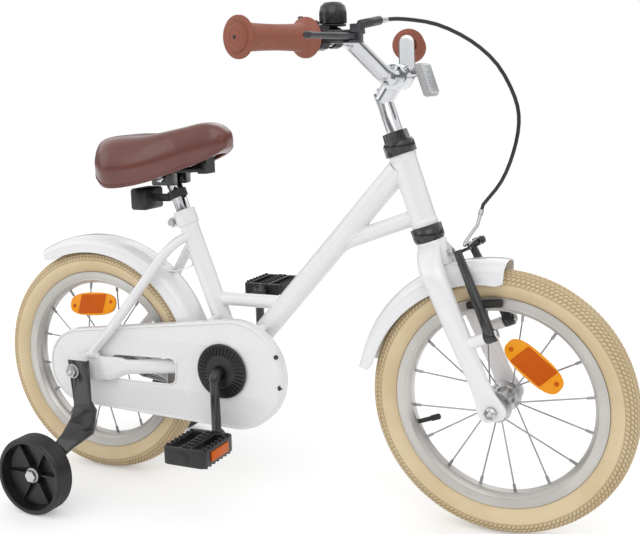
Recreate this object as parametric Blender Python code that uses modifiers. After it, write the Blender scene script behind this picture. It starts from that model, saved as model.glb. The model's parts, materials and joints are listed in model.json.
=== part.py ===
"""Kids bicycle with stabilisers, one object for each physical piece.

Sizes are metres. X points forward, Y to the rider's left and Z up. The origin
lies on the ground below the middle of the wheelbase. A side is -1 on the right
and 1 on the left, so side * offset is a place along Y.
"""

import math

import bmesh
import bpy
from mathutils import Matrix, Vector

RIGHT = -1
LEFT = 1
SIDE_NAMES = {RIGHT: "right", LEFT: "left"}

# Clearances
GAP = 0.0003
RUNNING = 0.0006

# Layout
WHEEL_BASE = 0.632
WHEEL_RADIUS = 0.174
HEAD_ANGLE = math.radians(71.8)
FORK_OFFSET = 0.0232
CRANK_FORWARD = 0.242
CRANK_HEIGHT = 0.189
SEAT_TUBE_ANGLE = math.radians(69.5)
SEAT_TUBE_LENGTH = 0.237

# Main tubes
TUBE_SIDES = 14
RING_STEPS = 12
SHELL_SIDES = 14
HEAD_TUBE_BOTTOM = 0.2455
HEAD_TUBE_LENGTH = 0.099
HEAD_TUBE_RADIUS = 0.0175
HEAD_TUBE_WALL = 0.0025
DOWN_TUBE_RADIUS = 0.016
DOWN_TUBE_WALL = 0.0016
DOWN_TUBE_DROP = 0.0121
BRACE_RADIUS = 0.011
BRACE_WALL = 0.0014
BRACE_RISE = 0.0154
BRACE_SLOPE = math.radians(20.0)
SEAT_TUBE_RADIUS = 0.0143
SEAT_TUBE_WALL = 0.0026
STRUT_RADIUS = 0.0098
STRUT_WALL = 0.0014
STRUT_HEIGHT = 0.283
SHELL_RADIUS = 0.0278
SHELL_WALL = 0.0024
SHELL_HALF_WIDTH = 0.034

# Seat clamp
COLLAR_RADIUS = 0.0165
COLLAR_LENGTH = 0.022
COLLAR_LIP = 0.0006
COLLAR_SLOT = 0.0026
SLOT_LENGTH = 0.034
EAR_REACH = 0.0275
EAR_THICKNESS = 0.0042
EAR_HEIGHT = 0.015
EAR_DROP = 0.003
CLAMP_BOLT_RADIUS = 0.0029
CLAMP_BOLT_HEAD = 0.0058

# Bottom bracket
CUP_FLANGE = 0.0024
CUP_INSERT = 0.009

# Headset
HEADSET_RADIUS = 0.0215
LOWER_HEADSET_HEIGHT = 0.0197
UPPER_HEADSET_HEIGHT = 0.0305
HEADSET_INSERT = 0.010
STEERER_RADIUS = 0.0127
STEERER_BORE = 0.0114
STEERER_TOP_BELOW_NUT = 0.005
STEERER_BORE_BOTTOM = 0.232

# Rear triangle
HUB_SPACE = 0.105
DROPOUT_THICKNESS = 0.004
CHAIN_STAY_HALF_HEIGHT = 0.011
CHAIN_STAY_HALF_WIDTH = 0.0066
CHAIN_STAY_INSET = 0.0143
CHAIN_STAY_FLARE = 0.2
CHAIN_STAY_END = 0.081
DROPOUT_FRONT = 0.052
DROPOUT_REAR = 0.020
DROPOUT_HALF_HEIGHT = 0.020
AXLE_SLOT_RADIUS = 0.0052
SEAT_STAY_RADIUS = 0.0074
SEAT_STAY_LINE = 0.0568

# Wheels
WHEEL_STEPS = 28
HUB_STEPS = 10
TYRE_HALF_WIDTH = 0.0215
RIM_RADIUS = 0.139
RIM_HALF_WIDTH = 0.0133
RIM_WALL = 0.0015
RIM_WELL_DEPTH = 0.0115
RIM_WELL_RADIUS = RIM_RADIUS - RIM_WELL_DEPTH
RIM_DEPTH = 0.019
RIM_INNER_RADIUS = RIM_RADIUS - RIM_DEPTH
AXLE_RADIUS = 0.0048
HUB_FLANGE_OFFSET = 0.026
HUB_FLANGE_THICKNESS = 0.003
SPOKE_COUNT = 16
SPOKE_RADIUS = 0.0011
SPOKE_START = math.radians(8.5)
SPOKE_LEAD = math.radians(16.0)
FRONT_HUB_RADIUS = 0.0115
FRONT_FLANGE_RADIUS = 0.0205
REAR_HUB_RADIUS = 0.0205
REAR_FLANGE_RADIUS = 0.0300
WHEEL_REFLECTOR_LENGTH = 0.086
WHEEL_REFLECTOR_WIDTH = 0.036
WHEEL_REFLECTOR_THICKNESS = 0.006
FRONT_REFLECTOR_PLACE = (0.072, math.radians(50.0))
REAR_REFLECTOR_PLACE = (0.0885, math.radians(94.0))

# Axles and nuts
NUT_RADIUS = 0.0082
CONE_RADIUS = 0.0075
FRONT_NUT_THICKNESS = 0.0065
AXLE_END_REACH = 0.0035

# Drive
CHAIN_LINE = 0.039
CHAIN_PITCH = 0.0127
CHAINRING_TEETH = 28
SPROCKET_TEETH = 16
TOOTH_HEIGHT = 0.0035
ROOT_DEPTH = 0.0038
SPROCKET_HALF_THICKNESS = 0.0012
PLATE_HALF_HEIGHT = 0.0042
CHAIN_INNER_HALF_WIDTH = 0.0016
CHAIN_PLATE_THICKNESS = 0.001
ROLLER_RADIUS = 0.0038
CRANK_LENGTH = 0.089
CRANK_AXLE_RADIUS = 0.0085
CRANK_ARM_RADIUS = 0.0068
CRANK_ARM_OFFSET = 0.0700
CRANK_BEND = 0.011
CRANK_EYE_RADIUS = 0.0115
CRANK_EYE_THICKNESS = 0.0125
SPROCKET_COLLAR = 0.0168
COVER_RADIUS = 0.040
COVER_DEPTH = 0.009
PEDAL_SPINDLE_RADIUS = 0.0042
PEDAL_START = 0.079
PEDAL_WIDTH = 0.079
PEDAL_LENGTH = 0.066
PEDAL_HEIGHT = 0.024
PEDAL_BAR = 0.008
PEDAL_BARREL = 0.0085

# Chain guard
GUARD_FACE = 0.047
GUARD_DEPTH = 0.017
GUARD_WALL = 0.002
GUARD_LIP = 0.0004
GUARD_FRONT_CENTRE = (0.018, -0.005)
GUARD_FRONT_RADIUS = 0.0785
GUARD_REAR_CENTRE = (-0.010, -0.002)
GUARD_REAR_RADIUS = 0.058
GUARD_CRANK_HOLE = 0.034
GUARD_AXLE_HOLE = 0.0135
GUARD_SLOT = ((0.0480, 0.0230), (0.1650, 0.0262), (0.1620, -0.0145), (0.0370, -0.0155))
GUARD_SLOT_ROUND = 0.006
GUARD_TAB_RADIUS = 0.005

# Mudguards
FENDER_WALL = 0.0014
FENDER_STEPS = 10
REAR_FENDER_RADIUS = 0.196
REAR_FENDER_HALF_WIDTH = 0.0262
REAR_FENDER_SKIRT = 0.0235
REAR_FENDER_ANGLES = (math.radians(20.0), math.radians(118.5))
FRONT_FENDER_RADIUS = 0.190
FRONT_FENDER_CENTRE = (-0.007, -0.002)
FRONT_FENDER_HALF_WIDTH = 0.027
FRONT_FENDER_ANGLES = (math.radians(84.0), math.radians(168.7))
FRONT_SKIRT_RADII = (0.1550, 0.1740)
FENDER_TAB_WIDTH = 0.014
FENDER_TAB_THICKNESS = 0.002

# Stabilisers
STABILISER_RADIUS = 0.056
STABILISER_WIDTH = 0.030
STABILISER_LINE = 0.187
STABILISER_SHIFT = 0.012
STABILISER_STEPS = 20
COASTER_ARM_INSET = 0.0085
COASTER_ARM_REACH = 0.126
COASTER_ARM_DROP = 0.047
COASTER_ARM_HEAD = 0.0135
COASTER_ARM_TAIL = 0.0060
COASTER_CLIP_WIDTH = 0.012
BRACKET_LINE = 0.078
BRACKET_SHEET = 0.0026
BRACKET_FLANGE = 0.0095
STABILISER_BOLT_RADIUS = 0.004
STABILISER_BOLT_HEAD = 0.0085
STABILISER_HUB_RADIUS = 0.0115

# Fork
FORK_CROWN_BOTTOM = 0.1905
FORK_CROWN_RADIUS = 0.0205
FORK_CROWN_TAPER = 0.87
FORK_SPACE = 0.090
FORK_TIP_THICKNESS = 0.005
FORK_TIP_DROP = 0.012
BLADE_TOP_SPREAD = 0.043
BLADE_TOP_HEIGHT = 0.165
POST_HEIGHT = 0.0885
POST_SPREAD = 0.0465
POST_BOSS_RADIUS = 0.008
POST_BOSS_END = 0.0315
POST_RADIUS = 0.004
POST_HEAD_RADIUS = 0.0065
POST_HEAD_THICKNESS = 0.004
POST_TILT = math.radians(5.7)
CROWN_BOLT_HEIGHT = 0.2035
CROWN_BOLT_RADIUS = 0.003
CROWN_BOLT_HEAD = 0.0065

# Brake
ARM_THICKNESS = 0.0134
ARM_LENGTH = 0.1135
ARM_LEAN = 0.0150
PAD_GAP = 0.0012
PAD_TRACK_DEPTH = 0.0072
PAD_TRACK_RADIUS = RIM_RADIUS - PAD_TRACK_DEPTH
PAD_LENGTH = 0.046
PAD_HEIGHT = 0.0095
PAD_THICKNESS = 0.0088
PAD_STUD_RADIUS = 0.0032
WIRE_RADIUS = 0.0008
NOODLE_RADIUS = 0.0024
NOODLE_TOP = (0.0425, -0.0050, 0.1480)
NOODLE_KNEE = (0.0330, -0.0170, 0.1325)
WIRE_FORWARD = 0.0128
WIRE_ABOVE_SHANK = 0.0017
ANCHOR_SHANK_RADIUS = 0.0025
ANCHOR_WASHER_RADIUS = 0.006
CABLE_RADIUS = 0.0025
CABLE_LEAD = 0.008

# Stem and handlebar
QUILL_RADIUS = 0.0111
QUILL_BOTTOM = 0.290
QUILL_TOP = 0.431
BAR_CENTRE = (0.0271, 0.4418)
BAR_RADIUS = 0.0111
BAR_WALL = 0.0016
BAR_FLAT = 0.040
BAR_BEND = (0.0195, 0.104, 0.4950)
BAR_END = (-0.0324, 0.274, 0.5106)
BAR_BEND_RADIUS = 0.032
STEM_CLAMP_RADIUS = 0.0172
STEM_CLAMP_HALF_WIDTH = 0.018
STEM_NECK_RADIUS = 0.0125
STEM_BOLT_RADIUS = 0.0055

# Grips
GRIP_LENGTH = 0.110
GRIP_RADIUS = 0.0162
GRIP_FLANGE_RADIUS = 0.0238
GRIP_CAP = 0.003

# Brake lever
MOUNT_PLACE = 0.052
MOUNT_HALF_WIDTH = 0.0075
MOUNT_RING_RADIUS = 0.0152
LEVER_PIVOT = (0.036, 0.0345)
LEVER_TIP = (0.126, 0.0500)
LEVER_THICKNESS = 0.0085
LEVER_PIN_RADIUS = 0.002
LEVER_HUB_RADIUS = 0.0062
BARREL_START = (0.020, 0.0375, 0.0135)
BARREL_END = (-0.0160, 0.0375, 0.0190)
BARREL_RADIUS = 0.0055

# Bell
BELL_PLACE = 0.0255
BELL_HALF_WIDTH = 0.006
BELL_RING_RADIUS = 0.0130
BELL_RADIUS = 0.0168
BELL_HEIGHT = 0.026
BELL_WALL = 0.0014
BELL_BOTTOM = 0.0168
BELL_LEVER_PIVOT = (0.0095, -0.0191)
BELL_LEVER_LENGTH = 0.022
BELL_PIN_RADIUS = 0.0018

# Front reflector
LAMP_CENTRE = (0.0640, 0.4245)
LAMP_WIDTH = 0.040
LAMP_HEIGHT = 0.044
LAMP_DEPTH = 0.010
LAMP_RING_OFFSET = 0.0232
LAMP_RING_HALF_WIDTH = 0.0038

# Saddle
POST_TOP = 0.0545
SEAT_POST_RADIUS = 0.0111
SEAT_POST_DEPTH = 0.100
KNUCKLE_RADIUS = 0.0095
KNUCKLE_HALF_WIDTH = 0.011
SADDLE_PIN_RADIUS = 0.004
SADDLE_PIN_HEAD = 0.0072
CLAMP_HALF_WIDTH = 0.0265
CLAMP_HALF_LENGTH = 0.018
CLAMP_TOP = 0.0165
CLAMP_BOTTOM = 0.012
RAIL_RADIUS = 0.0035
RAIL_SPREAD = 0.020
RAIL_HEIGHT = 0.0095
SADDLE_BASE_THICKNESS = 0.003
SADDLE_BASE_SHARE = 0.48
SADDLE_SEAM = 0.0022
HOUSING_CENTRE = (-0.2210, 0.4285)
HOUSING_SIZE = (0.028, 0.048, 0.032)
HOUSING_RING_PLACE = 0.0262
HOUSING_RING_RADIUS = 0.0142

# Each saddle station: place along X, half width, top, side bottom, underside.
SADDLE_STATIONS = (
    (-0.2830, 0.0240, 0.5060, 0.4880, 0.4890),
    (-0.2775, 0.0440, 0.5150, 0.4720, 0.4885),
    (-0.2620, 0.0630, 0.5215, 0.4580, 0.4880),
    (-0.2360, 0.0735, 0.5240, 0.4500, 0.4880),
    (-0.1920, 0.0590, 0.5250, 0.4555, 0.4882),
    (-0.1450, 0.0350, 0.5335, 0.4720, 0.4935),
    (-0.1130, 0.0268, 0.5395, 0.4830, 0.5005),
    (-0.0900, 0.0215, 0.5365, 0.4930, 0.5050),
    (-0.0760, 0.0130, 0.5280, 0.5020, 0.5080),
)


def collection(name):
    """A new collection linked into the scene."""
    made = bpy.data.collections.new(name)
    bpy.context.scene.collection.children.link(made)
    return made


def cleared_scene():
    """Removes every object, then gives the collections for parts and cutters."""
    for obj in list(bpy.data.objects):
        bpy.data.objects.remove(obj, do_unlink=True)
    return collection("kids_bike"), collection("cutters")


PARTS, CUTTERS = cleared_scene()


def finish(name, colour, roughness, metallic=0.0):
    """A Principled material."""
    made = bpy.data.materials.new(name)
    made.use_nodes = True
    shader = made.node_tree.nodes["Principled BSDF"]
    shader.inputs["Base Color"].default_value = (*colour, 1.0)
    shader.inputs["Roughness"].default_value = roughness
    shader.inputs["Metallic"].default_value = metallic
    made.diffuse_color = (*colour, 1.0)
    return made


WHITE_PAINT = finish("white_paint", (0.86, 0.86, 0.87), 0.25)
CREAM_RUBBER = finish("cream_rubber", (0.70, 0.52, 0.28), 0.7)
SILVER_RIM = finish("silver_rim", (0.72, 0.73, 0.75), 0.35, 0.7)
STEEL = finish("steel", (0.62, 0.62, 0.64), 0.3, 1.0)
CHROME = finish("chrome", (0.80, 0.81, 0.83), 0.08, 1.0)
BLACK_METAL = finish("black_metal", (0.02, 0.02, 0.022), 0.4, 0.3)
BLACK_PLASTIC = finish("black_plastic", (0.025, 0.025, 0.028), 0.5)
BLACK_RUBBER = finish("black_rubber", (0.02, 0.02, 0.02), 0.8)
GREY_PLASTIC = finish("grey_plastic", (0.10, 0.10, 0.11), 0.45)
BROWN_VINYL = finish("brown_vinyl", (0.17, 0.045, 0.025), 0.5)
BROWN_RUBBER = finish("brown_rubber", (0.28, 0.085, 0.045), 0.65)
ORANGE_LENS = finish("orange_lens", (0.95, 0.32, 0.01), 0.2)
CLEAR_LENS = finish("clear_lens", (0.80, 0.82, 0.84), 0.12)


def circumscribed(radius, sides):
    """The corner radius of a polygon whose sides touch a circle of this radius."""
    return radius / math.cos(math.pi / sides)


def bore_inside(radius, wall, sides=TUBE_SIDES):
    """The clear radius inside a pipe with this outer corner radius and wall."""
    return radius * math.cos(math.pi / sides) - wall


def frame_matrix(origin, x_axis, z_axis):
    """A placement from its origin, its X axis and its Z axis, which are square."""
    x_axis = Vector(x_axis).normalized()
    z_axis = Vector(z_axis).normalized()
    y_axis = z_axis.cross(x_axis)
    turned_axes = Matrix((x_axis, y_axis, z_axis)).transposed()
    return Matrix.Translation(origin) @ turned_axes.to_4x4()


def pointing(origin, direction):
    """A placement whose Z axis points in a direction."""
    turn = Vector(direction).to_track_quat("Z", "Y")
    return Matrix.Translation(origin) @ turn.to_matrix().to_4x4()


def along_y(origin, turn=0.0):
    """A placement whose Z axis points along Y, turned about it."""
    axis = Matrix.Rotation(math.radians(-90.0), 4, "X")
    return Matrix.Translation(origin) @ axis @ Matrix.Rotation(turn, 4, "Z")


def marker(name, place, parent=None):
    """An empty that carries the pieces turning or sliding together."""
    made = bpy.data.objects.new(name, None)
    made.empty_display_size = 0.02
    made.parent = parent
    made.matrix_basis = place
    PARTS.objects.link(made)
    return made


def part(name, data, material, place=None, parent=None):
    """A visible piece."""
    made = bpy.data.objects.new(name, data)
    data.materials.append(material)
    made.parent = parent
    made.matrix_basis = place or Matrix.Identity(4)
    PARTS.objects.link(made)
    return made


def helper(name, data, place=None, parent=None):
    """A hidden shape that cuts a piece or is joined to one."""
    made = bpy.data.objects.new(name, data)
    made.parent = parent
    made.matrix_basis = place or Matrix.Identity(4)
    made.hide_render = True
    made.display_type = "WIRE"
    CUTTERS.objects.link(made)
    return made


def boolean(target, other, operation):
    """Adds one exact Boolean."""
    modifier = target.modifiers.new(other.name, "BOOLEAN")
    modifier.operation = operation
    modifier.solver = "EXACT"
    modifier.object = other
    return modifier


def cut(target, *others):
    """Cuts helpers away from a piece."""
    for other in others:
        boolean(target, other, "DIFFERENCE")


def join(target, *others):
    """Joins helpers to a piece."""
    for other in others:
        boolean(target, other, "UNION")


def mesh_of(name, builder):
    """A mesh datablock from a bmesh, which is freed."""
    made = bpy.data.meshes.new(name)
    builder.to_mesh(made)
    builder.free()
    made.shade_smooth()
    made.set_sharp_from_angle(angle=math.radians(35.0))
    return made


def box(name, size, centre=(0.0, 0.0, 0.0)):
    """A box mesh."""
    builder = bmesh.new()
    scale = Matrix.Diagonal((*size, 1.0))
    bmesh.ops.create_cube(builder, size=1.0, matrix=Matrix.Translation(centre) @ scale)
    return mesh_of(name, builder)


def cylinder(name, radius, low, high, sides, top_radius=None, caps=True):
    """A cylinder or cone mesh along Z, from low to high."""
    builder = bmesh.new()
    bmesh.ops.create_cone(
        builder,
        cap_ends=caps,
        segments=sides,
        radius1=radius,
        radius2=radius if top_radius is None else top_radius,
        depth=high - low,
        matrix=Matrix.Translation((0.0, 0.0, (low + high) / 2.0)),
    )
    return mesh_of(name, builder)


def shell_of(target, thickness):
    """Gives an open surface its thickness, inwards."""
    modifier = target.modifiers.new("wall", "SOLIDIFY")
    modifier.thickness = thickness
    modifier.offset = -1.0
    modifier.use_even_offset = True
    return modifier


def pipe(name, start, end, radius, wall, material, sides=TUBE_SIDES, parent=None):
    """A straight tube with open ends."""
    start, end = Vector(start), Vector(end)
    data = cylinder(name, radius, 0.0, (end - start).length, sides, caps=False)
    made = part(name, data, material, pointing(start, end - start), parent)
    shell_of(made, wall)
    return made


def rod(name, start, end, radius, sides=TUBE_SIDES, parent=None, grown=True):
    """A hidden solid rod. A grown one has its sides, not its corners, on the radius."""
    start, end = Vector(start), Vector(end)
    corner = circumscribed(radius, sides) if grown else radius
    data = cylinder(name, corner, 0.0, (end - start).length, sides)
    return helper(name, data, pointing(start, end - start), parent)


def screwed(target, steps):
    """Turns a profile into a full ring about Z."""
    modifier = target.modifiers.new("turned", "SCREW")
    modifier.axis = "Z"
    modifier.angle = math.tau
    modifier.steps = steps
    modifier.render_steps = steps
    modifier.use_merge_vertices = True
    modifier.merge_threshold = 0.00002
    modifier.use_smooth_shade = True
    return modifier


def profile(name, points, ring=True):
    """A mesh of edges through (radius, height) points, closed when it is a ring."""
    builder = bmesh.new()
    corners = [builder.verts.new((radius, 0.0, height)) for radius, height in points]
    for first, second in zip(corners, corners[1:]):
        builder.edges.new((first, second))
    if ring:
        builder.edges.new((corners[-1], corners[0]))
    return mesh_of(name, builder)


def turned(name, points, steps, material, place=None, parent=None, ring=True):
    """A turned piece. Its profile runs down the outer side and up the bore."""
    made = part(name, profile(name, points, ring), material, place, parent)
    screwed(made, steps)
    return made


def mirrored(points):
    """A profile's upper half followed by its mirror image below."""
    return list(points) + [(radius, -height) for radius, height in reversed(points)]


def curve_mesh(name, curve):
    """The mesh of a curve with its caps welded; the curve itself is removed."""
    source = bpy.data.objects.new(name, curve)
    CUTTERS.objects.link(source)
    bpy.context.view_layer.update()
    evaluated = source.evaluated_get(bpy.context.evaluated_depsgraph_get())
    made = bpy.data.meshes.new_from_object(evaluated)
    bpy.data.objects.remove(source, do_unlink=True)
    bpy.data.curves.remove(curve)
    builder = bmesh.new()
    builder.from_mesh(made)
    bmesh.ops.remove_doubles(builder, verts=builder.verts, dist=0.00001)
    builder.to_mesh(made)
    builder.free()
    made.shade_smooth()
    made.set_sharp_from_angle(angle=math.radians(35.0))
    return made


def tube(name, points, radius, roundness, radii=None, caps=True):
    """A curve swept along points, with 4 + 2 * roundness sides."""
    made = bpy.data.curves.new(name, "CURVE")
    made.dimensions = "3D"
    made.bevel_depth = radius
    made.bevel_resolution = roundness
    made.use_fill_caps = caps
    spline = made.splines.new("POLY")
    spline.points.add(len(points) - 1)
    for index, point in enumerate(points):
        spline.points[index].co = (*point, 1.0)
        spline.points[index].radius = 1.0 if radii is None else radii[index]
    return made


def flat_outline(name, outlines, thickness):
    """A filled outline with holes, in the XY plane and as thick along Z."""
    made = bpy.data.curves.new(name, "CURVE")
    made.dimensions = "2D"
    made.fill_mode = "BOTH"
    made.extrude = thickness / 2.0
    for outline in outlines:
        spline = made.splines.new("POLY")
        spline.points.add(len(outline) - 1)
        for point, (x, y) in zip(spline.points, outline):
            point.co = (x, y, 0.0, 1.0)
        spline.use_cyclic_u = True
    return made


def circle(radius, count, centre=(0.0, 0.0), turn=0.0):
    """Points round a circle."""
    steps = [turn + math.tau * index / count for index in range(count)]
    return [
        (centre[0] + radius * math.cos(step), centre[1] + radius * math.sin(step))
        for step in steps
    ]


def arc(centre, radius, start, end, count):
    """Points along an arc, both ends included."""
    steps = [start + (end - start) * index / (count - 1) for index in range(count)]
    return [
        (centre[0] + radius * math.cos(step), centre[1] + radius * math.sin(step))
        for step in steps
    ]


def belt(first, first_radius, second, second_radius, first_count, second_count):
    """The outline of a belt round two circles, anticlockwise from the first's upper side."""
    apart = Vector(second) - Vector(first)
    heading = math.atan2(apart.y, apart.x)
    spread = math.acos((first_radius - second_radius) / apart.length)
    around_first = arc(
        first, first_radius, heading + spread, heading + math.tau - spread, first_count
    )
    around_second = arc(second, second_radius, heading - spread, heading + spread, second_count)
    return around_first + around_second


def swung(start, end, share):
    """A vector swung part of the way towards another of the same length."""
    angle = start.angle(end)
    near, far = math.sin((1.0 - share) * angle), math.sin(share * angle)
    return (start * near + end * far) / math.sin(angle)


def rounded(points, radius, steps):
    """A path with its inner corners replaced by arcs."""
    path = [Vector(point) for point in points]
    result = [path[0]]
    for before, corner, after in zip(path, path[1:], path[2:]):
        back = (before - corner).normalized()
        ahead = (after - corner).normalized()
        half = back.angle(ahead) / 2.0
        reach = radius / math.tan(half)
        centre = corner + (back + ahead).normalized() * (radius / math.sin(half))
        start = corner + back * reach - centre
        end = corner + ahead * reach - centre
        for index in range(steps + 1):
            result.append(centre + swung(start, end, index / steps))
    result.append(path[-1])
    return result


def smooth_path(points, per_span):
    """A smooth curve read through points, as Catmull-Rom spans."""
    path = [Vector(point) for point in points]
    padded = [2.0 * path[0] - path[1], *path, 2.0 * path[-1] - path[-2]]
    result = []
    for a, b, c, d in zip(padded, padded[1:], padded[2:], padded[3:]):
        for index in range(per_span):
            t = index / per_span
            result.append(
                0.5
                * (
                    2.0 * b
                    + (c - a) * t
                    + (2.0 * a - 5.0 * b + 4.0 * c - d) * t**2
                    + (3.0 * b - a - 3.0 * c + d) * t**3
                )
            )
    result.append(path[-1])
    return result


def loft(name, rings, capped=True):
    """A surface through rings of as many points each, closed at its ends."""
    builder = bmesh.new()
    rows = [[builder.verts.new(point) for point in ring] for ring in rings]
    count = len(rows[0])
    for first, second in zip(rows, rows[1:]):
        for index in range(count if capped else count - 1):
            after = (index + 1) % count
            builder.faces.new((first[index], first[after], second[after], second[index]))
    if capped:
        builder.faces.new(rows[0])
        builder.faces.new(rows[-1])
        bmesh.ops.recalc_face_normals(builder, faces=builder.faces)
    return mesh_of(name, builder)


def oval(centre, across, up, half_across, half_up, power=2.0, count=12):
    """A ring of points round a superellipse in the plane of two directions."""
    across, up = Vector(across), Vector(up)
    ring = []
    for index in range(count):
        step = math.tau * (index + 0.5) / count
        x, y = math.cos(step), math.sin(step)
        x = math.copysign(abs(x) ** (2.0 / power), x) * half_across
        y = math.copysign(abs(y) ** (2.0 / power), y) * half_up
        ring.append(Vector(centre) + across * x + up * y)
    return ring


# Shared places
FRONT_AXLE = Vector((WHEEL_BASE / 2.0, 0.0, WHEEL_RADIUS))
REAR_AXLE = Vector((-WHEEL_BASE / 2.0, 0.0, WHEEL_RADIUS))
CRANK_AXIS = Vector((REAR_AXLE.x + CRANK_FORWARD, 0.0, CRANK_HEIGHT))
STEER_UP = Vector((-math.cos(HEAD_ANGLE), 0.0, math.sin(HEAD_ANGLE)))
STEER_FORWARD = Vector((math.sin(HEAD_ANGLE), 0.0, math.cos(HEAD_ANGLE)))
STEERING = frame_matrix(FRONT_AXLE - STEER_FORWARD * FORK_OFFSET, STEER_FORWARD, STEER_UP)
HEAD_TUBE_TOP = HEAD_TUBE_BOTTOM + HEAD_TUBE_LENGTH
SEAT_UP = Vector((-math.cos(SEAT_TUBE_ANGLE), 0.0, math.sin(SEAT_TUBE_ANGLE)))
SEAT_FORWARD = Vector((math.sin(SEAT_TUBE_ANGLE), 0.0, math.cos(SEAT_TUBE_ANGLE)))
SEAT_TOP = frame_matrix(CRANK_AXIS + SEAT_UP * SEAT_TUBE_LENGTH, SEAT_FORWARD, SEAT_UP)
DROPOUT_INNER = HUB_SPACE / 2.0
DROPOUT_OUTER = DROPOUT_INNER + DROPOUT_THICKNESS
CHAINRING_RADIUS = CHAIN_PITCH / (2.0 * math.sin(math.pi / CHAINRING_TEETH))
SPROCKET_RADIUS = CHAIN_PITCH / (2.0 * math.sin(math.pi / SPROCKET_TEETH))


def steered(x, y, z):
    """World coordinates of a place given in the steering frame."""
    return STEERING @ Vector((x, y, z))


DOWN_TUBE_HEAD = steered(0.0, 0.0, HEAD_TUBE_TOP - DOWN_TUBE_DROP)
BRACE_HEAD = steered(0.0, 0.0, HEAD_TUBE_BOTTOM + BRACE_RISE)


def crossing(start, direction, other_start, other_end):
    """Where a line meets another in the plane of the frame."""
    along = other_end - other_start
    across = direction.x * along.z - direction.z * along.x
    apart = other_start - start
    reach = (apart.x * along.z - apart.z * along.x) / across
    return start + direction * reach


def neighbour(name, start, end, radius, sides=TUBE_SIDES):
    """A rod that cuts a tube's end to fit against another tube."""
    return rod(name, start, end, radius + GAP, sides)


def frame_tubes():
    """Head tube, down tube, brace and seat tube with strut and crank shell."""
    head_low, head_high = steered(0, 0, HEAD_TUBE_BOTTOM), steered(0, 0, HEAD_TUBE_TOP)
    pipe("head_tube", head_low, head_high, HEAD_TUBE_RADIUS, HEAD_TUBE_WALL, WHITE_PAINT)
    reach = STEER_UP * 0.05
    head_cut = neighbour("head_cut", head_low - reach, head_high + reach, HEAD_TUBE_RADIUS)
    side = Vector((0.0, SHELL_HALF_WIDTH * 1.5, 0.0))
    shell_low, shell_high = CRANK_AXIS - side, CRANK_AXIS + side
    shell_cut = neighbour("shell_cut", shell_low, shell_high, SHELL_RADIUS, SHELL_SIDES)
    seat_high = SEAT_TOP.translation
    seat_cut = neighbour("seat_cut", CRANK_AXIS, seat_high + SEAT_UP * 0.02, SEAT_TUBE_RADIUS)
    down_cut = neighbour("down_cut", CRANK_AXIS, DOWN_TUBE_HEAD, DOWN_TUBE_RADIUS)

    down = pipe(
        "down_tube", CRANK_AXIS, DOWN_TUBE_HEAD, DOWN_TUBE_RADIUS, DOWN_TUBE_WALL, WHITE_PAINT
    )
    cut(down, head_cut, shell_cut, seat_cut)

    slope = Vector((-math.cos(BRACE_SLOPE), 0.0, -math.sin(BRACE_SLOPE)))
    brace_end = crossing(BRACE_HEAD, slope, CRANK_AXIS, DOWN_TUBE_HEAD)
    brace = pipe("brace_tube", BRACE_HEAD, brace_end, BRACE_RADIUS, BRACE_WALL, WHITE_PAINT)
    cut(brace, head_cut, down_cut)

    seat = pipe(
        "seat_tube", CRANK_AXIS, seat_high, SEAT_TUBE_RADIUS, SEAT_TUBE_WALL, WHITE_PAINT
    )
    cut(seat, rod("shell_bore", CRANK_AXIS - side, CRANK_AXIS + side, SHELL_RADIUS - 0.001, SHELL_SIDES))
    join(seat, crank_shell(), strut(seat_cut, down_cut))
    fit_collar(seat)
    return seat_cut, shell_cut


def crank_shell():
    """The crosswise shell that the crank turns in."""
    data = cylinder(
        "shell", SHELL_RADIUS, -SHELL_HALF_WIDTH, SHELL_HALF_WIDTH, SHELL_SIDES, caps=False
    )
    made = helper("shell", data, along_y(CRANK_AXIS))
    shell_of(made, SHELL_WALL)
    return made


def strut(seat_cut, down_cut):
    """The level tube from seat tube to down tube, sunk half into the seat tube's wall."""
    level = Vector((CRANK_AXIS.x, 0.0, STRUT_HEIGHT))
    ahead = Vector((1.0, 0.0, 0.0))
    start = crossing(level, ahead, CRANK_AXIS, SEAT_TOP.translation)
    end = crossing(level, ahead, CRANK_AXIS, DOWN_TUBE_HEAD)
    data = cylinder("strut", STRUT_RADIUS, 0.0, (end - start).length, 12, caps=False)
    made = helper("strut", data, pointing(start, end - start))
    shell_of(made, STRUT_WALL)
    inside = rod(
        "strut_seat",
        CRANK_AXIS,
        SEAT_TOP.translation,
        SEAT_TUBE_RADIUS - SEAT_TUBE_WALL / 2.0,
    )
    cut(made, inside, down_cut)
    return made


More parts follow.
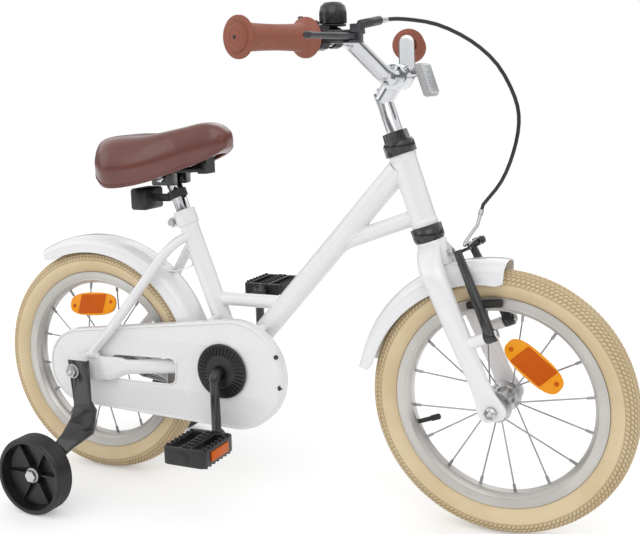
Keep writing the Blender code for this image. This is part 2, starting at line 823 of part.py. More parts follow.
def fit_collar(seat):
    """The seat tube's clamp collar with its ears, slot and bolt."""
    carrier = marker("seat_axis", SEAT_TOP)
    ring_mesh = cylinder(
        "collar", COLLAR_RADIUS, -COLLAR_LENGTH, COLLAR_LIP, TUBE_SIDES, caps=False
    )
    ring = helper("collar", ring_mesh, parent=carrier)
    inside = SEAT_TUBE_RADIUS - SEAT_TUBE_WALL / 2.0
    shell_of(ring, COLLAR_RADIUS - inside)
    ear_width = COLLAR_SLOT + 2.0 * EAR_THICKNESS
    ear_size = (EAR_REACH - inside, ear_width, EAR_HEIGHT)
    ear_centre = (-(EAR_REACH + inside) / 2.0, 0.0, -EAR_DROP - EAR_HEIGHT / 2.0)
    ears = helper("ears", box("ears", ear_size, ear_centre), parent=carrier)
    join(seat, ring, ears)
    slot_size = (EAR_REACH + 0.01, COLLAR_SLOT, SLOT_LENGTH + 0.01)
    slot_centre = (-slot_size[0] / 2.0, 0.0, 0.01 - slot_size[2] / 2.0)
    slot = helper("collar_slot", box("collar_slot", slot_size, slot_centre), parent=carrier)
    bolt_x = -(EAR_REACH + COLLAR_RADIUS) / 2.0
    bolt_z = ear_centre[2]
    span = ear_width / 2.0 + 0.01
    hole = rod(
        "clamp_hole",
        (bolt_x, -span, bolt_z),
        (bolt_x, span, bolt_z),
        CLAMP_BOLT_RADIUS + GAP,
        10,
        carrier,
    )
    cut(seat, slot, hole)
    bolt_through(
        "seat_clamp_bolt",
        along_y((bolt_x, 0.0, bolt_z)),
        CLAMP_BOLT_RADIUS,
        CLAMP_BOLT_HEAD,
        ear_width / 2.0,
        0.005,
        carrier,
    )


def bolt_through(name, place, radius, head_radius, half_grip, head_length, parent=None):
    """A bolt along Z with a hexagon at each end of what it clamps."""
    face = half_grip + GAP
    made = part(
        name,
        cylinder(name, radius, -face - head_length / 2, face + head_length / 2, 10),
        STEEL,
        place,
        parent,
    )
    for sign, end in ((-1, "head"), (1, "nut")):
        low, high = sorted((sign * face, sign * (face + head_length)))
        hexagon = cylinder(f"{name}_{end}", head_radius, low, high, 6)
        join(made, helper(f"{name}_{end}", hexagon, place, parent))
    return made


def bottom_bracket():
    """The two cups that carry the crank."""
    seat_radius = bore_inside(SHELL_RADIUS, SHELL_WALL, SHELL_SIDES) - GAP
    bore = circumscribed(CRANK_AXLE_RADIUS + RUNNING, RING_STEPS)
    face = SHELL_HALF_WIDTH + GAP
    points = [
        (SHELL_RADIUS - 0.001, face + CUP_FLANGE),
        (SHELL_RADIUS - 0.001, face),
        (seat_radius, face),
        (seat_radius, face - CUP_INSERT),
        (bore, face - CUP_INSERT),
        (bore, face + CUP_FLANGE),
    ]
    for side in (RIGHT, LEFT):
        turn = Matrix.Rotation(0.0 if side == LEFT else math.pi, 4, "X")
        name = f"bottom_bracket_cup_{SIDE_NAMES[side]}"
        turned(name, points, RING_STEPS, STEEL, along_y(CRANK_AXIS) @ turn)


def headset():
    """The bearings above and below the head tube."""
    carrier = marker("head_axis", STEERING)
    insert = bore_inside(HEAD_TUBE_RADIUS, HEAD_TUBE_WALL) - GAP
    bore = circumscribed(STEERER_RADIUS + RUNNING, RING_STEPS)
    low_top = HEAD_TUBE_BOTTOM - GAP
    low = low_top - LOWER_HEADSET_HEIGHT
    edge = 0.002
    lower = [
        (insert, low_top + HEADSET_INSERT),
        (insert, low_top),
        (HEADSET_RADIUS, low_top),
        (HEADSET_RADIUS, low + 2 * edge),
        (HEADSET_RADIUS - edge, low),
        (bore, low),
        (bore, low_top + HEADSET_INSERT),
    ]
    turned("headset_lower", lower, RING_STEPS, BLACK_METAL, parent=carrier)
    high = HEAD_TUBE_TOP + GAP
    top = high + UPPER_HEADSET_HEIGHT
    mouth = circumscribed(QUILL_RADIUS + GAP, RING_STEPS)
    shoulder = top - STEERER_TOP_BELOW_NUT + GAP
    upper = [
        (STEERER_RADIUS + 0.0042, top),
        (STEERER_RADIUS + 0.0050, top - 0.0115),
        (HEADSET_RADIUS - 0.002, top - 0.0125),
        (HEADSET_RADIUS, top - 0.0165),
        (HEADSET_RADIUS, high),
        (insert, high),
        (insert, high - HEADSET_INSERT),
        (bore, high - HEADSET_INSERT),
        (bore, shoulder),
        (mouth, shoulder),
        (mouth, top),
    ]
    turned("headset_upper", upper, RING_STEPS, BLACK_METAL, parent=carrier)


def chain_stay_centre(x):
    """The centre line of the right stay at a distance ahead of the rear axle."""
    ahead = x - REAR_AXLE.x
    spread = CHAIN_STAY_INSET + CHAIN_STAY_FLARE * (CRANK_AXIS.x - x)
    height = REAR_AXLE.z + (CRANK_AXIS.z - REAR_AXLE.z) * ahead / CRANK_FORWARD
    return spread, height


def chain_stay(side, shell_cut):
    """One stay from the crank shell to its flattened dropout plate."""
    name = f"chain_stay_{SIDE_NAMES[side]}"
    across, up = (0.0, 1.0, 0.0), (0.0, 0.0, 1.0)
    rings = []
    start, end = CRANK_AXIS.x - 0.012, REAR_AXLE.x + CHAIN_STAY_END
    for index in range(4):
        x = start + (end - start) * index / 3
        spread, height = chain_stay_centre(x)
        rings.append(
            oval(
                (x, side * spread, height),
                across,
                up,
                CHAIN_STAY_HALF_WIDTH,
                CHAIN_STAY_HALF_HEIGHT,
                2.4,
                10,
            )
        )
    plate_centre = DROPOUT_INNER + DROPOUT_THICKNESS / 2.0
    flat = REAR_AXLE.x + DROPOUT_FRONT
    middle = (flat + end) / 2.0
    spread, height = chain_stay_centre(middle)
    rings.append(
        oval((middle, side * (spread + 0.0015), height), across, up, 0.0046, 0.0155, 3.0, 10)
    )
    thick, tall = DROPOUT_THICKNESS / 2.0, DROPOUT_HALF_HEIGHT
    rear = REAR_AXLE.x - DROPOUT_REAR
    for x, half_height in ((flat, tall), (rear + 0.006, tall * 0.95), (rear, tall * 0.55)):
        centre = (x, side * plate_centre, REAR_AXLE.z + 0.002)
        rings.append(oval(centre, across, up, thick, half_height, 9.0, 10))
    stay = part(name, loft(name, rings), WHITE_PAINT)
    slot_centre = (REAR_AXLE.x - DROPOUT_REAR / 2 - 0.01, side * plate_centre, REAR_AXLE.z)
    slot_size = (DROPOUT_REAR + 0.02, DROPOUT_THICKNESS * 3, 2 * AXLE_SLOT_RADIUS)
    slot = helper(f"{name}_slot", box(f"{name}_slot", slot_size, slot_centre))
    reach = Vector((0.0, DROPOUT_OUTER + 0.01, 0.0))
    hole = rod(
        f"{name}_hole", REAR_AXLE - reach, REAR_AXLE + reach, AXLE_SLOT_RADIUS, 16
    )
    cut(stay, shell_cut, hole, slot)


def seat_stay(side, seat_cut):
    """One stay from the seat tube down to the top edge of its dropout."""
    name = f"seat_stay_{SIDE_NAMES[side]}"
    foot = DROPOUT_HALF_HEIGHT + REAR_AXLE.z + 0.002 + GAP
    top = SEAT_TOP @ Vector((0.0, side * 0.0072, -0.038))
    path = smooth_path(
        (
            top,
            (top.x - 0.013, side * 0.0190, top.z - 0.0075),
            (top.x - 0.028, side * 0.0330, top.z - 0.0240),
            (REAR_AXLE.x + 0.106, side * 0.0460, REAR_AXLE.z + 0.126),
            (REAR_AXLE.x + 0.066, side * SEAT_STAY_LINE, REAR_AXLE.z + 0.073),
            (REAR_AXLE.x + 0.029, side * SEAT_STAY_LINE, REAR_AXLE.z + 0.034),
            (REAR_AXLE.x + 0.022, side * SEAT_STAY_LINE, foot),
        ),
        1,
    )
    radii = [0.88] + [1.0] * (len(path) - 1)
    data = curve_mesh(name, tube(name, path, SEAT_STAY_RADIUS, 3, radii))
    stay = part(name, data, WHITE_PAINT)
    floor = helper(
        f"{name}_foot",
        box(f"{name}_foot", (0.08, 0.04, 0.03), (path[-1].x, path[-1].y, foot - 0.015)),
    )
    cut(stay, seat_cut, floor)


def rear_axle():
    """The axle with its cones, its wheel nuts, spacers and stabiliser nuts."""
    inner = DROPOUT_INNER - GAP
    outer = DROPOUT_OUTER + GAP
    web_inner = BRACKET_LINE - BRACKET_SHEET - GAP
    web_outer = BRACKET_LINE + GAP
    end = web_outer + FRONT_NUT_THICKNESS + AXLE_END_REACH
    cone_start = {RIGHT: CHAIN_LINE + 0.0055, LEFT: CHAIN_LINE + 0.0020}
    collars = []
    for side in (RIGHT, LEFT):
        for low, high, radius, sides in (
            (cone_start[side], inner, CONE_RADIUS, 12),
            (outer, web_inner, NUT_RADIUS, 6),
            (web_outer, web_outer + FRONT_NUT_THICKNESS, NUT_RADIUS, 6),
        ):
            collars.append((*sorted((side * low, side * high)), radius, sides))
    stepped_axle("rear_axle", end, collars, along_y(REAR_AXLE))


def stepped_axle(name, end, collars, place, parent=None):
    """A shaft along Z with round or hexagonal collars, each (low, high, radius, sides)."""
    steps = [(-end, AXLE_RADIUS, 12)]
    for low, high, radius, sides in sorted(collars):
        if low > steps[-1][0]:
            if len(steps) > 1:
                steps.append((steps[-1][0], AXLE_RADIUS, 12))
            steps.append((low, AXLE_RADIUS, 12))
        steps += [(low, radius, sides), (high, radius, sides)]
    steps += [(steps[-1][0], AXLE_RADIUS, 12), (end, AXLE_RADIUS, 12)]
    rings = []
    for height, radius, sides in steps:
        ring = []
        for index in range(12):
            flat = sides == 6 and index % 2
            reach = radius * math.cos(math.pi / 6) if flat else radius
            angle = math.tau * index / 12
            ring.append(Vector((reach * math.cos(angle), reach * math.sin(angle), height)))
        rings.append(ring)
    return part(name, loft(name, rings), STEEL, place, parent)


def tyre_and_rim(prefix, carrier):
    """A solid rubber tyre on a hollow rim, both about the carrier's Z axis."""

    half_step = Matrix.Rotation(math.pi / WHEEL_STEPS, 4, "Z")
    height = WHEEL_RADIUS - RIM_RADIUS
    inside = RIM_HALF_WIDTH - RIM_WALL
    bead = inside - 2 * GAP
    toe = RIM_RADIUS - 0.0030
    outer = [
        (toe, bead),
        (RIM_RADIUS + GAP, bead),
        (RIM_RADIUS + height * 0.60, TYRE_HALF_WIDTH),
        (WHEEL_RADIUS - 0.0046, TYRE_HALF_WIDTH * 0.74),
        (WHEEL_RADIUS, TYRE_HALF_WIDTH * 0.28),
    ]
    section = flattened(mirrored(outer))
    turned(f"{prefix}_tyre", section, WHEEL_STEPS, CREAM_RUBBER, half_step, carrier)
    outer = [
        (RIM_RADIUS, RIM_HALF_WIDTH),
        (RIM_RADIUS, inside),
        (RIM_WELL_RADIUS, inside - 0.0004),
    ]
    inner = [
        (RIM_WELL_RADIUS - RIM_WALL, -RIM_HALF_WIDTH),
        (RIM_INNER_RADIUS, -RIM_HALF_WIDTH * 0.5),
    ]
    section = mirrored(outer) + mirrored(inner)
    turned(f"{prefix}_rim", flattened(section), WHEEL_STEPS, SILVER_RIM, half_step, carrier)


def flattened(points):
    """A wheel's profile grown so that its sides, not its corners, keep their radii."""
    return [(circumscribed(radius, WHEEL_STEPS), height) for radius, height in points]


def spokes(name, carrier, flange_radius):
    """Sixteen spokes in one hidden mesh, leaning to and fro from both flanges."""
    builder = bmesh.new()
    reach = RIM_INNER_RADIUS - RUNNING
    root = flange_radius - 0.0030
    for index in range(SPOKE_COUNT):
        side = 1 if index % 2 else -1
        lean = SPOKE_LEAD if (index // 2) % 2 else -SPOKE_LEAD
        rim_angle = -(SPOKE_START + math.tau * index / SPOKE_COUNT)
        hub_angle = rim_angle + lean
        start = Vector(
            (root * math.cos(hub_angle), root * math.sin(hub_angle), side * HUB_FLANGE_OFFSET)
        )
        end = Vector((reach * math.cos(rim_angle), reach * math.sin(rim_angle), side * 0.001))
        place = pointing((start + end) / 2.0, end - start)
        bmesh.ops.create_cone(
            builder,
            cap_ends=True,
            segments=3,
            radius1=SPOKE_RADIUS,
            radius2=SPOKE_RADIUS,
            depth=(end - start).length,
            matrix=place,
        )
    return helper(name, mesh_of(name, builder), parent=carrier)


def hub(prefix, carrier, section, flange_radius):
    """A hub shell with its spokes."""
    shell = turned(f"{prefix}_hub", section, HUB_STEPS, STEEL, parent=carrier)
    join(shell, spokes(f"{prefix}_spokes", carrier, flange_radius))


def hub_profile(barrel, flange, ends, bore):
    """The closed section of a hub whose two ends are (radius, reach)."""
    near = HUB_FLANGE_OFFSET - HUB_FLANGE_THICKNESS / 2.0
    far = HUB_FLANGE_OFFSET + HUB_FLANGE_THICKNESS / 2.0
    (left_radius, left), (right_radius, right) = ends
    return [
        (left_radius, left),
        (left_radius + 0.001, far),
        (flange, far),
        (flange, near),
        (barrel, near - 0.001),
        (barrel, -near + 0.001),
        (flange, -near),
        (flange, -far),
        (right_radius + 0.001, -far),
        (right_radius, -right),
        (bore, -right),
        (bore, left),
    ]


def wheel_reflector(prefix, carrier, place, flange_radius):
    """A reflector lying on the right-hand spokes, square to its radius."""
    radius, angle = place
    run = RIM_INNER_RADIUS - flange_radius
    slope = HUB_FLANGE_OFFSET / run
    offset = slope * (RIM_INNER_RADIUS - radius) + WHEEL_REFLECTOR_THICKNESS / 2 + 0.0014
    outward = Vector((math.cos(-angle), math.sin(-angle), 0.0))
    tilted = (outward + Vector((0.0, 0.0, slope))).normalized()
    square = Vector((-outward.y, outward.x, 0.0))
    name = f"{prefix}_wheel_reflector"
    place = frame_matrix(outward * radius - Vector((0, 0, offset)), square, tilted.cross(square))
    long, wide = WHEEL_REFLECTOR_LENGTH / 2.0, WHEEL_REFLECTOR_WIDTH / 2.0
    outline = [
        (-long, -0.4 * wide),
        (-0.75 * long, -wide),
        (0.75 * long, -wide),
        (long, -0.4 * wide),
        (long, 0.4 * wide),
        (0.75 * long, wide),
        (-0.75 * long, wide),
        (-long, 0.4 * wide),
    ]
    data = curve_mesh(name, flat_outline(name, [outline], WHEEL_REFLECTOR_THICKNESS))
    part(name, data, ORANGE_LENS, place, carrier)


def front_wheel(steering):
    """Tyre, rim, hub, reflector and the fixed axle."""
    centre = marker("front_wheel_axis", STEERING.inverted() @ along_y(FRONT_AXLE), steering)
    tyre_and_rim("front", centre)
    bore = circumscribed(AXLE_RADIUS + RUNNING, HUB_STEPS)
    end = FORK_SPACE / 2.0 - 0.0065
    section = hub_profile(FRONT_HUB_RADIUS, FRONT_FLANGE_RADIUS, ((0.009, end),) * 2, bore)
    hub("front", centre, section, FRONT_FLANGE_RADIUS)
    wheel_reflector("front", centre, FRONT_REFLECTOR_PLACE, FRONT_FLANGE_RADIUS)
    front_axle(centre, end)


def front_axle(centre, hub_end):
    """The axle with cones inside the fork tips and nuts outside."""
    inner = FORK_SPACE / 2.0 - GAP
    outer = FORK_SPACE / 2.0 + FORK_TIP_THICKNESS + GAP
    end = outer + FRONT_NUT_THICKNESS + 0.001
    collars = []
    for side in (RIGHT, LEFT):
        for low, high, radius, sides in (
            (hub_end + RUNNING, inner, CONE_RADIUS, 12),
            (outer, outer + FRONT_NUT_THICKNESS, NUT_RADIUS, 6),
        ):
            collars.append((*sorted((side * low, side * high)), radius, sides))
    stepped_axle("front_axle", end, collars, None, centre)


def rear_wheel():
    """Tyre, rim, coaster hub and reflector."""
    centre = marker("rear_wheel_axis", along_y(REAR_AXLE))
    tyre_and_rim("rear", centre)
    bore = circumscribed(AXLE_RADIUS + RUNNING, HUB_STEPS)
    ends = ((0.0180, CHAIN_LINE + 0.0005), (0.0150, CHAIN_LINE - 0.0065))
    section = hub_profile(REAR_HUB_RADIUS, REAR_FLANGE_RADIUS, ends, bore)
    hub("rear", centre, section, REAR_FLANGE_RADIUS)
    wheel_reflector("rear", centre, REAR_REFLECTOR_PLACE, REAR_FLANGE_RADIUS)


def toothed(teeth, pitch_radius):
    """The outline of a sprocket."""
    points = []
    for index in range(teeth):
        for share, radius in (
            (-0.26, pitch_radius - ROOT_DEPTH),
            (0.00, pitch_radius + TOOTH_HEIGHT),
            (0.26, pitch_radius - ROOT_DEPTH),
        ):
            angle = math.tau * (index + share) / teeth
            points.append((radius * math.cos(angle), radius * math.sin(angle)))
    return points


def sprockets(crank_axis):
    """The chainring on the crank and the sprocket on the hub."""
    collar_in = CHAIN_LINE - SPROCKET_HALF_THICKNESS
    bore = circumscribed(CRANK_AXLE_RADIUS + GAP, RING_STEPS)
    ring = curve_mesh(
        "chainring",
        flat_outline(
            "chainring",
            [toothed(CHAINRING_TEETH, CHAINRING_RADIUS), circle(bore, RING_STEPS)],
            2 * SPROCKET_HALF_THICKNESS,
        ),
    )
    place = Matrix.Translation((0.0, 0.0, -CHAIN_LINE))
    part("chainring", ring, STEEL, place, crank_axis)

    centre = marker("rear_sprocket_axis", along_y(REAR_AXLE))
    wheel = curve_mesh(
        "rear_sprocket",
        flat_outline(
            "rear_sprocket",
            [toothed(SPROCKET_TEETH, SPROCKET_RADIUS)],
            2 * SPROCKET_HALF_THICKNESS,
        ),
    )
    sprocket = part("rear_sprocket", wheel, STEEL, place, centre)
    inner = collar_in - 0.0035
    outer = CHAIN_LINE + 0.0050
    collar = cylinder("driver", SPROCKET_COLLAR, -outer, -inner, RING_STEPS)
    join(sprocket, helper("driver", collar, parent=centre))
    cut(
        sprocket,
        rod("driver_bore", (0, 0, -0.06), (0, 0, -0.02), AXLE_RADIUS + RUNNING, 12, centre),
    )


def chain():
    """Two link plates round both sprockets, joined by the rollers of the straight runs."""
    front = (CRANK_AXIS.x, CRANK_AXIS.z)
    rear = (REAR_AXLE.x, REAR_AXLE.z)

    def loop(offset, first_count=11, second_count=11):
        return belt(
            front,
            CHAINRING_RADIUS + offset,
            rear,
            SPROCKET_RADIUS + offset,
            first_count,
            second_count,
        )

    loops = [loop(PLATE_HALF_HEIGHT), loop(-PLATE_HALF_HEIGHT)]
    centre_line = CHAIN_INNER_HALF_WIDTH + CHAIN_PLATE_THICKNESS / 2.0
    upright = Matrix.Rotation(math.pi / 2, 4, "X")
    plates = []
    for label, offset in (("outer", -centre_line), ("inner", centre_line)):
        name = "chain" if label == "outer" else "chain_inner_plate"
        data = curve_mesh(name, flat_outline(name, loops, CHAIN_PLATE_THICKNESS))
        place = Matrix.Translation((0.0, -CHAIN_LINE + offset, 0.0)) @ upright
        plates.append((name, data, place))
    made = part(plates[0][0], plates[0][1], BLACK_METAL, plates[0][2])
    join(made, chain_rollers(front, rear), helper(*plates[1]))


def chain_rollers(front, rear):
    """Rollers at every third pitch of the straight runs, clear of the teeth."""
    builder = bmesh.new()
    apart = Vector(rear) - Vector(front)
    heading = math.atan2(apart.y, apart.x)
    spread = math.acos((CHAINRING_RADIUS - SPROCKET_RADIUS) / apart.length)
    half = CHAIN_INNER_HALF_WIDTH + CHAIN_PLATE_THICKNESS / 2.0
    for sign in (1, -1):
        angle = heading + sign * spread
        normal = Vector((math.cos(angle), math.sin(angle)))
        start = Vector(front) + normal * CHAINRING_RADIUS
        end = Vector(rear) + normal * SPROCKET_RADIUS
        run = end - start
        clear_front = teeth_clearance(CHAINRING_RADIUS)
        clear_rear = teeth_clearance(SPROCKET_RADIUS)
        count = int((run.length - clear_front - clear_rear) / (3 * CHAIN_PITCH))
        for index in range(count + 1):
            place = start + run.normalized() * (clear_front + index * 3 * CHAIN_PITCH)
            axis = along_y((place.x, -CHAIN_LINE, place.y))
            bmesh.ops.create_cone(
                builder,
                cap_ends=True,
                segments=4,
                radius1=ROLLER_RADIUS,
                radius2=ROLLER_RADIUS,
                depth=2 * half,
                matrix=axis,
            )
    return helper("rollers", mesh_of("rollers", builder))


def teeth_clearance(pitch_radius):
    """How far from where the chain leaves a sprocket its rollers clear the teeth."""
    free = pitch_radius + TOOTH_HEIGHT + ROLLER_RADIUS + 2 * RUNNING
    return math.sqrt(free**2 - pitch_radius**2)


def crank():
    """The one-piece crank with its chainring, cover and pedals."""
    axis = marker("crank_axis", along_y(CRANK_AXIS))
    eye = CRANK_LENGTH
    bend = CRANK_BEND
    path = rounded(
        (
            (0.0, eye, -CRANK_ARM_OFFSET),
            (0.0, 0.0, -CRANK_ARM_OFFSET),
            (0.0, 0.0, CRANK_ARM_OFFSET),
            (0.0, -eye, CRANK_ARM_OFFSET),
        ),
        bend,
        3,
    )
    arm = CRANK_ARM_RADIUS / CRANK_AXLE_RADIUS
    radii = [arm, arm] + [1.0] * (len(path) - 4) + [arm, arm]
    made = part(
        "crank",
        curve_mesh("crank", tube("crank", path, CRANK_AXLE_RADIUS, 3, radii)),
        BLACK_METAL,
        parent=axis,
    )
    for side in (RIGHT, LEFT):
        low = CRANK_ARM_OFFSET - CRANK_EYE_THICKNESS / 2.0
        high = CRANK_ARM_OFFSET + CRANK_EYE_THICKNESS / 2.0
        tip = PEDAL_START + PEDAL_WIDTH - 0.006
        place = Matrix.Translation((0.0, -side * eye, 0.0))
        for kind, radius, near, far in (
            ("eye", CRANK_EYE_RADIUS, low, high),
            ("spindle", PEDAL_SPINDLE_RADIUS, high - 0.001, tip),
        ):
            near, far = sorted((side * near, side * far))
            name = f"{kind}_{SIDE_NAMES[side]}"
            join(made, helper(name, cylinder(name, radius, near, far, 12), place, axis))
        pedal(side, axis)
    sprockets(axis)
    crank_cover(axis)


def crank_cover(axis):
    """The ribbed round cover outside the chain guard."""
    inner = GUARD_FACE + 0.0009
    outer = inner + COVER_DEPTH
    bore = circumscribed(CRANK_AXLE_RADIUS + GAP, SHELL_SIDES)
    sleeve = CHAIN_LINE + SPROCKET_HALF_THICKNESS + GAP
    radius = COVER_RADIUS
    points = [
        (0.015, -sleeve),
        (0.015, -inner - 0.0035),
        (radius * 0.92, -inner),
        (radius, -inner - 0.0015),
        (radius * 0.80, -outer + 0.0030),
        (0.020, -outer),
        (bore, -outer),
        (bore, -sleeve),
    ]
    turned("crank_cover", points, SHELL_SIDES, BLACK_PLASTIC, parent=axis)


def pedal(side, axis):
    """A pedal body that turns on the crank's spindle."""
    name = f"pedal_{SIDE_NAMES[side]}"
    centre = PEDAL_START + PEDAL_WIDTH / 2.0
    place = Matrix.Translation((0.0, -side * CRANK_LENGTH, side * centre))
    carrier = marker(f"{name}_axis", place, axis)
    long, wide = PEDAL_LENGTH / 2.0, PEDAL_WIDTH / 2.0
    inside = wide - PEDAL_BAR
    outlines = [chamfered(-long, long, -wide, wide, PEDAL_BAR / 2.0)]
    for sign in (-1, 1):
        near, far = sorted((sign * PEDAL_BARREL, sign * (long - PEDAL_BAR)))
        outlines.append([(near, -inside), (far, -inside), (far, inside), (near, inside)])
    flat = curve_mesh(name, flat_outline(name, outlines, PEDAL_HEIGHT))
    flat.transform(Matrix.Rotation(math.pi / 2, 4, "X"))
    body = part(name, flat, BLACK_PLASTIC, parent=carrier)
    for sign in (-1, 1):
        lens = f"{name}_lens_{'front' if sign > 0 else 'rear'}"
        size = (PEDAL_BAR / 2.0, PEDAL_HEIGHT * 0.55, PEDAL_WIDTH * 0.55)
        data = box(lens, size, (sign * long, 0.0, 0.0))
        join(body, helper(lens, data, parent=carrier))
    reach = PEDAL_WIDTH / 2.0 + 0.01
    bore = rod(
        f"{name}_bore",
        (0.0, 0.0, -reach),
        (0.0, 0.0, reach),
        PEDAL_SPINDLE_RADIUS + RUNNING,
        12,
        carrier,
    )
    cut(body, bore)


def chamfered(left, right, low, high, corner):
    """A rectangle's outline with its corners cut off."""
    return [
        (left + corner, low),
        (right - corner, low),
        (right, low + corner),
        (right, high - corner),
        (right - corner, high),
        (left + corner, high),
        (left, high - corner),
        (left, low + corner),
    ]


def guard_outline(inset=0.0):
    """The chain guard's outline in side view."""
    front = (CRANK_AXIS.x + GUARD_FRONT_CENTRE[0], CRANK_AXIS.z + GUARD_FRONT_CENTRE[1])
    rear = (REAR_AXLE.x + GUARD_REAR_CENTRE[0], REAR_AXLE.z + GUARD_REAR_CENTRE[1])
    return belt(front, GUARD_FRONT_RADIUS - inset, rear, GUARD_REAR_RADIUS - inset, 15, 9)


def rounded_outline(points, radius, steps):
    """A closed outline with its corners replaced by arcs."""
    corners = [Vector((x, y, 0.0)) for x, y in points]
    path = []
    for index, corner in enumerate(corners):
        before = corners[index - 1]
        after = corners[(index + 1) % len(corners)]
        trio = rounded((before, corner, after), radius, steps)
        path += [(point.x, point.y) for point in trio[1:-1]]
    return path


def chain_guard():
    """A shallow case over the outer side of the chain, open towards the wheel."""
    upright = Matrix.Rotation(math.pi / 2, 4, "X")
    slot = [(REAR_AXLE.x + x, REAR_AXLE.z + z) for x, z in GUARD_SLOT]
    holes = [
        circle(GUARD_CRANK_HOLE, 16, (CRANK_AXIS.x, CRANK_AXIS.z)),
        circle(GUARD_AXLE_HOLE, 10, (REAR_AXLE.x, REAR_AXLE.z)),
        rounded_outline(slot, GUARD_SLOT_ROUND, 2),
    ]
    face = curve_mesh(
        "chain_guard",
        flat_outline("chain_guard", [guard_outline(GUARD_WALL / 2.0), *holes], GUARD_WALL),
    )
    place = Matrix.Translation((0.0, -GUARD_FACE + GUARD_WALL / 2.0, 0.0)) @ upright
    guard = part("chain_guard", face, WHITE_PAINT, place)
    wall = flat_outline("guard_wall", [guard_outline(), guard_outline(GUARD_WALL)], GUARD_DEPTH)
    middle = -GUARD_FACE + GUARD_DEPTH / 2.0 - GUARD_LIP
    wall_place = Matrix.Translation((0.0, middle, 0.0)) @ upright
    join(guard, helper("guard_wall", curve_mesh("guard_wall", wall), wall_place))
    edge = -GUARD_FACE + GUARD_DEPTH - GUARD_LIP
    for label, start, end, radius in (
        ("down", CRANK_AXIS, DOWN_TUBE_HEAD, DOWN_TUBE_RADIUS),
        ("seat", CRANK_AXIS, SEAT_TOP.translation, SEAT_TUBE_RADIUS),
    ):
        centre = leaving(start, end, guard_outline(GUARD_TAB_RADIUS))
        low = Vector((centre.x, edge - 0.002, centre.z))
        high = Vector((centre.x, -radius - GAP, centre.z))
        join(guard, rod(f"guard_tab_{label}", low, high, GUARD_TAB_RADIUS, 8, grown=False))


def leaving(start, end, outline):
    """Where a line from inside an outline leaves it, in the plane of the frame."""
    direction = (end - start).normalized()
    corners = [Vector((x, 0.0, z)) for x, z in outline]
    for first, second in zip(corners, corners[1:] + corners[:1]):
        along, apart = second - first, first - start
        across = direction.x * along.z - direction.z * along.x
        reach = (apart.x * along.z - apart.z * along.x) / across
        share = (apart.x * direction.z - apart.z * direction.x) / across
        if reach > 0.0 and 0.0 <= share <= 1.0:
            return start + direction * reach
    return end


def fender_surface(name, centre, angles, crown, half_width, skirt):
    """An open mudguard surface. Crown and skirt give their radii at an angle."""
    rows = []
    for index in range(FENDER_STEPS + 1):
        angle = angles[0] + (angles[1] - angles[0]) * index / FENDER_STEPS
        outer, lower = crown(angle), skirt(angle)
        shoulder = outer - (outer - lower) * 0.30
        section = (
            (lower, -half_width),
            (shoulder, -half_width),
            (outer, -half_width * 0.45),
            (outer, half_width * 0.45),
            (shoulder, half_width),
            (lower, half_width),
        )
        rows.append(
            [
                centre + Vector((radius * math.cos(angle), y, radius * math.sin(angle)))
                for radius, y in section
            ]
        )
    return loft(name, rows, capped=False)


def rear_fender():
    """The rear mudguard with its bracket to the seat tube."""
    data = fender_surface(
        "rear_fender",
        REAR_AXLE,
        REAR_FENDER_ANGLES,
        lambda angle: REAR_FENDER_RADIUS,
        REAR_FENDER_HALF_WIDTH,
        lambda angle: REAR_FENDER_RADIUS - REAR_FENDER_SKIRT,
    )
    made = part("rear_fender", data, WHITE_PAINT)
    shell_of(made, FENDER_WALL)
    angle = math.radians(50.0)
    foot = REAR_AXLE + Vector((math.cos(angle), 0.0, math.sin(angle))) * (REAR_FENDER_RADIUS - 0.001)
    seat_point = crossing(
        Vector((0.0, 0.0, foot.z + 0.024)), Vector((1, 0, 0)), CRANK_AXIS, SEAT_TOP.translation
    )
    away = Vector((-SEAT_UP.z, 0.0, SEAT_UP.x))
    head = seat_point + away * (SEAT_TUBE_RADIUS + GAP + FENDER_TAB_THICKNESS / 2)
    strip = strip_mesh(
        "fender_bracket",
        (
            foot - Vector((0.012, 0.0, -0.010)),
            foot + Vector((0.006, 0.0, -0.0035)),
            head - SEAT_UP * 0.012,
            head + SEAT_UP * 0.012,
        ),
        FENDER_TAB_WIDTH,
        FENDER_TAB_THICKNESS,
    )
    join(made, helper("fender_bracket", strip))


def strip_mesh(name, points, width, thickness):
    """A flat strip bent along points in the plane of the frame, centred on it."""
    rings = []
    for index, point in enumerate(points):
        before = points[max(index - 1, 0)]
        after = points[min(index + 1, len(points) - 1)]
        forward = (after - before).normalized()
        normal = Vector((-forward.z, 0.0, forward.x))
        side = Vector((0.0, width / 2.0, 0.0))
        up = normal * (thickness / 2.0)
        rings.append([point - side - up, point + side - up, point + side + up, point - side + up])
    return loft(name, rings)


def crown_radius(height):
    """The fork crown's radius at a height in the steering frame."""
    crown_top = HEAD_TUBE_BOTTOM - GAP - LOWER_HEADSET_HEIGHT - RUNNING
    share = (height - FORK_CROWN_BOTTOM) / (crown_top - FORK_CROWN_BOTTOM)
    return FORK_CROWN_RADIUS * (FORK_CROWN_TAPER + (1.0 - FORK_CROWN_TAPER) * share)


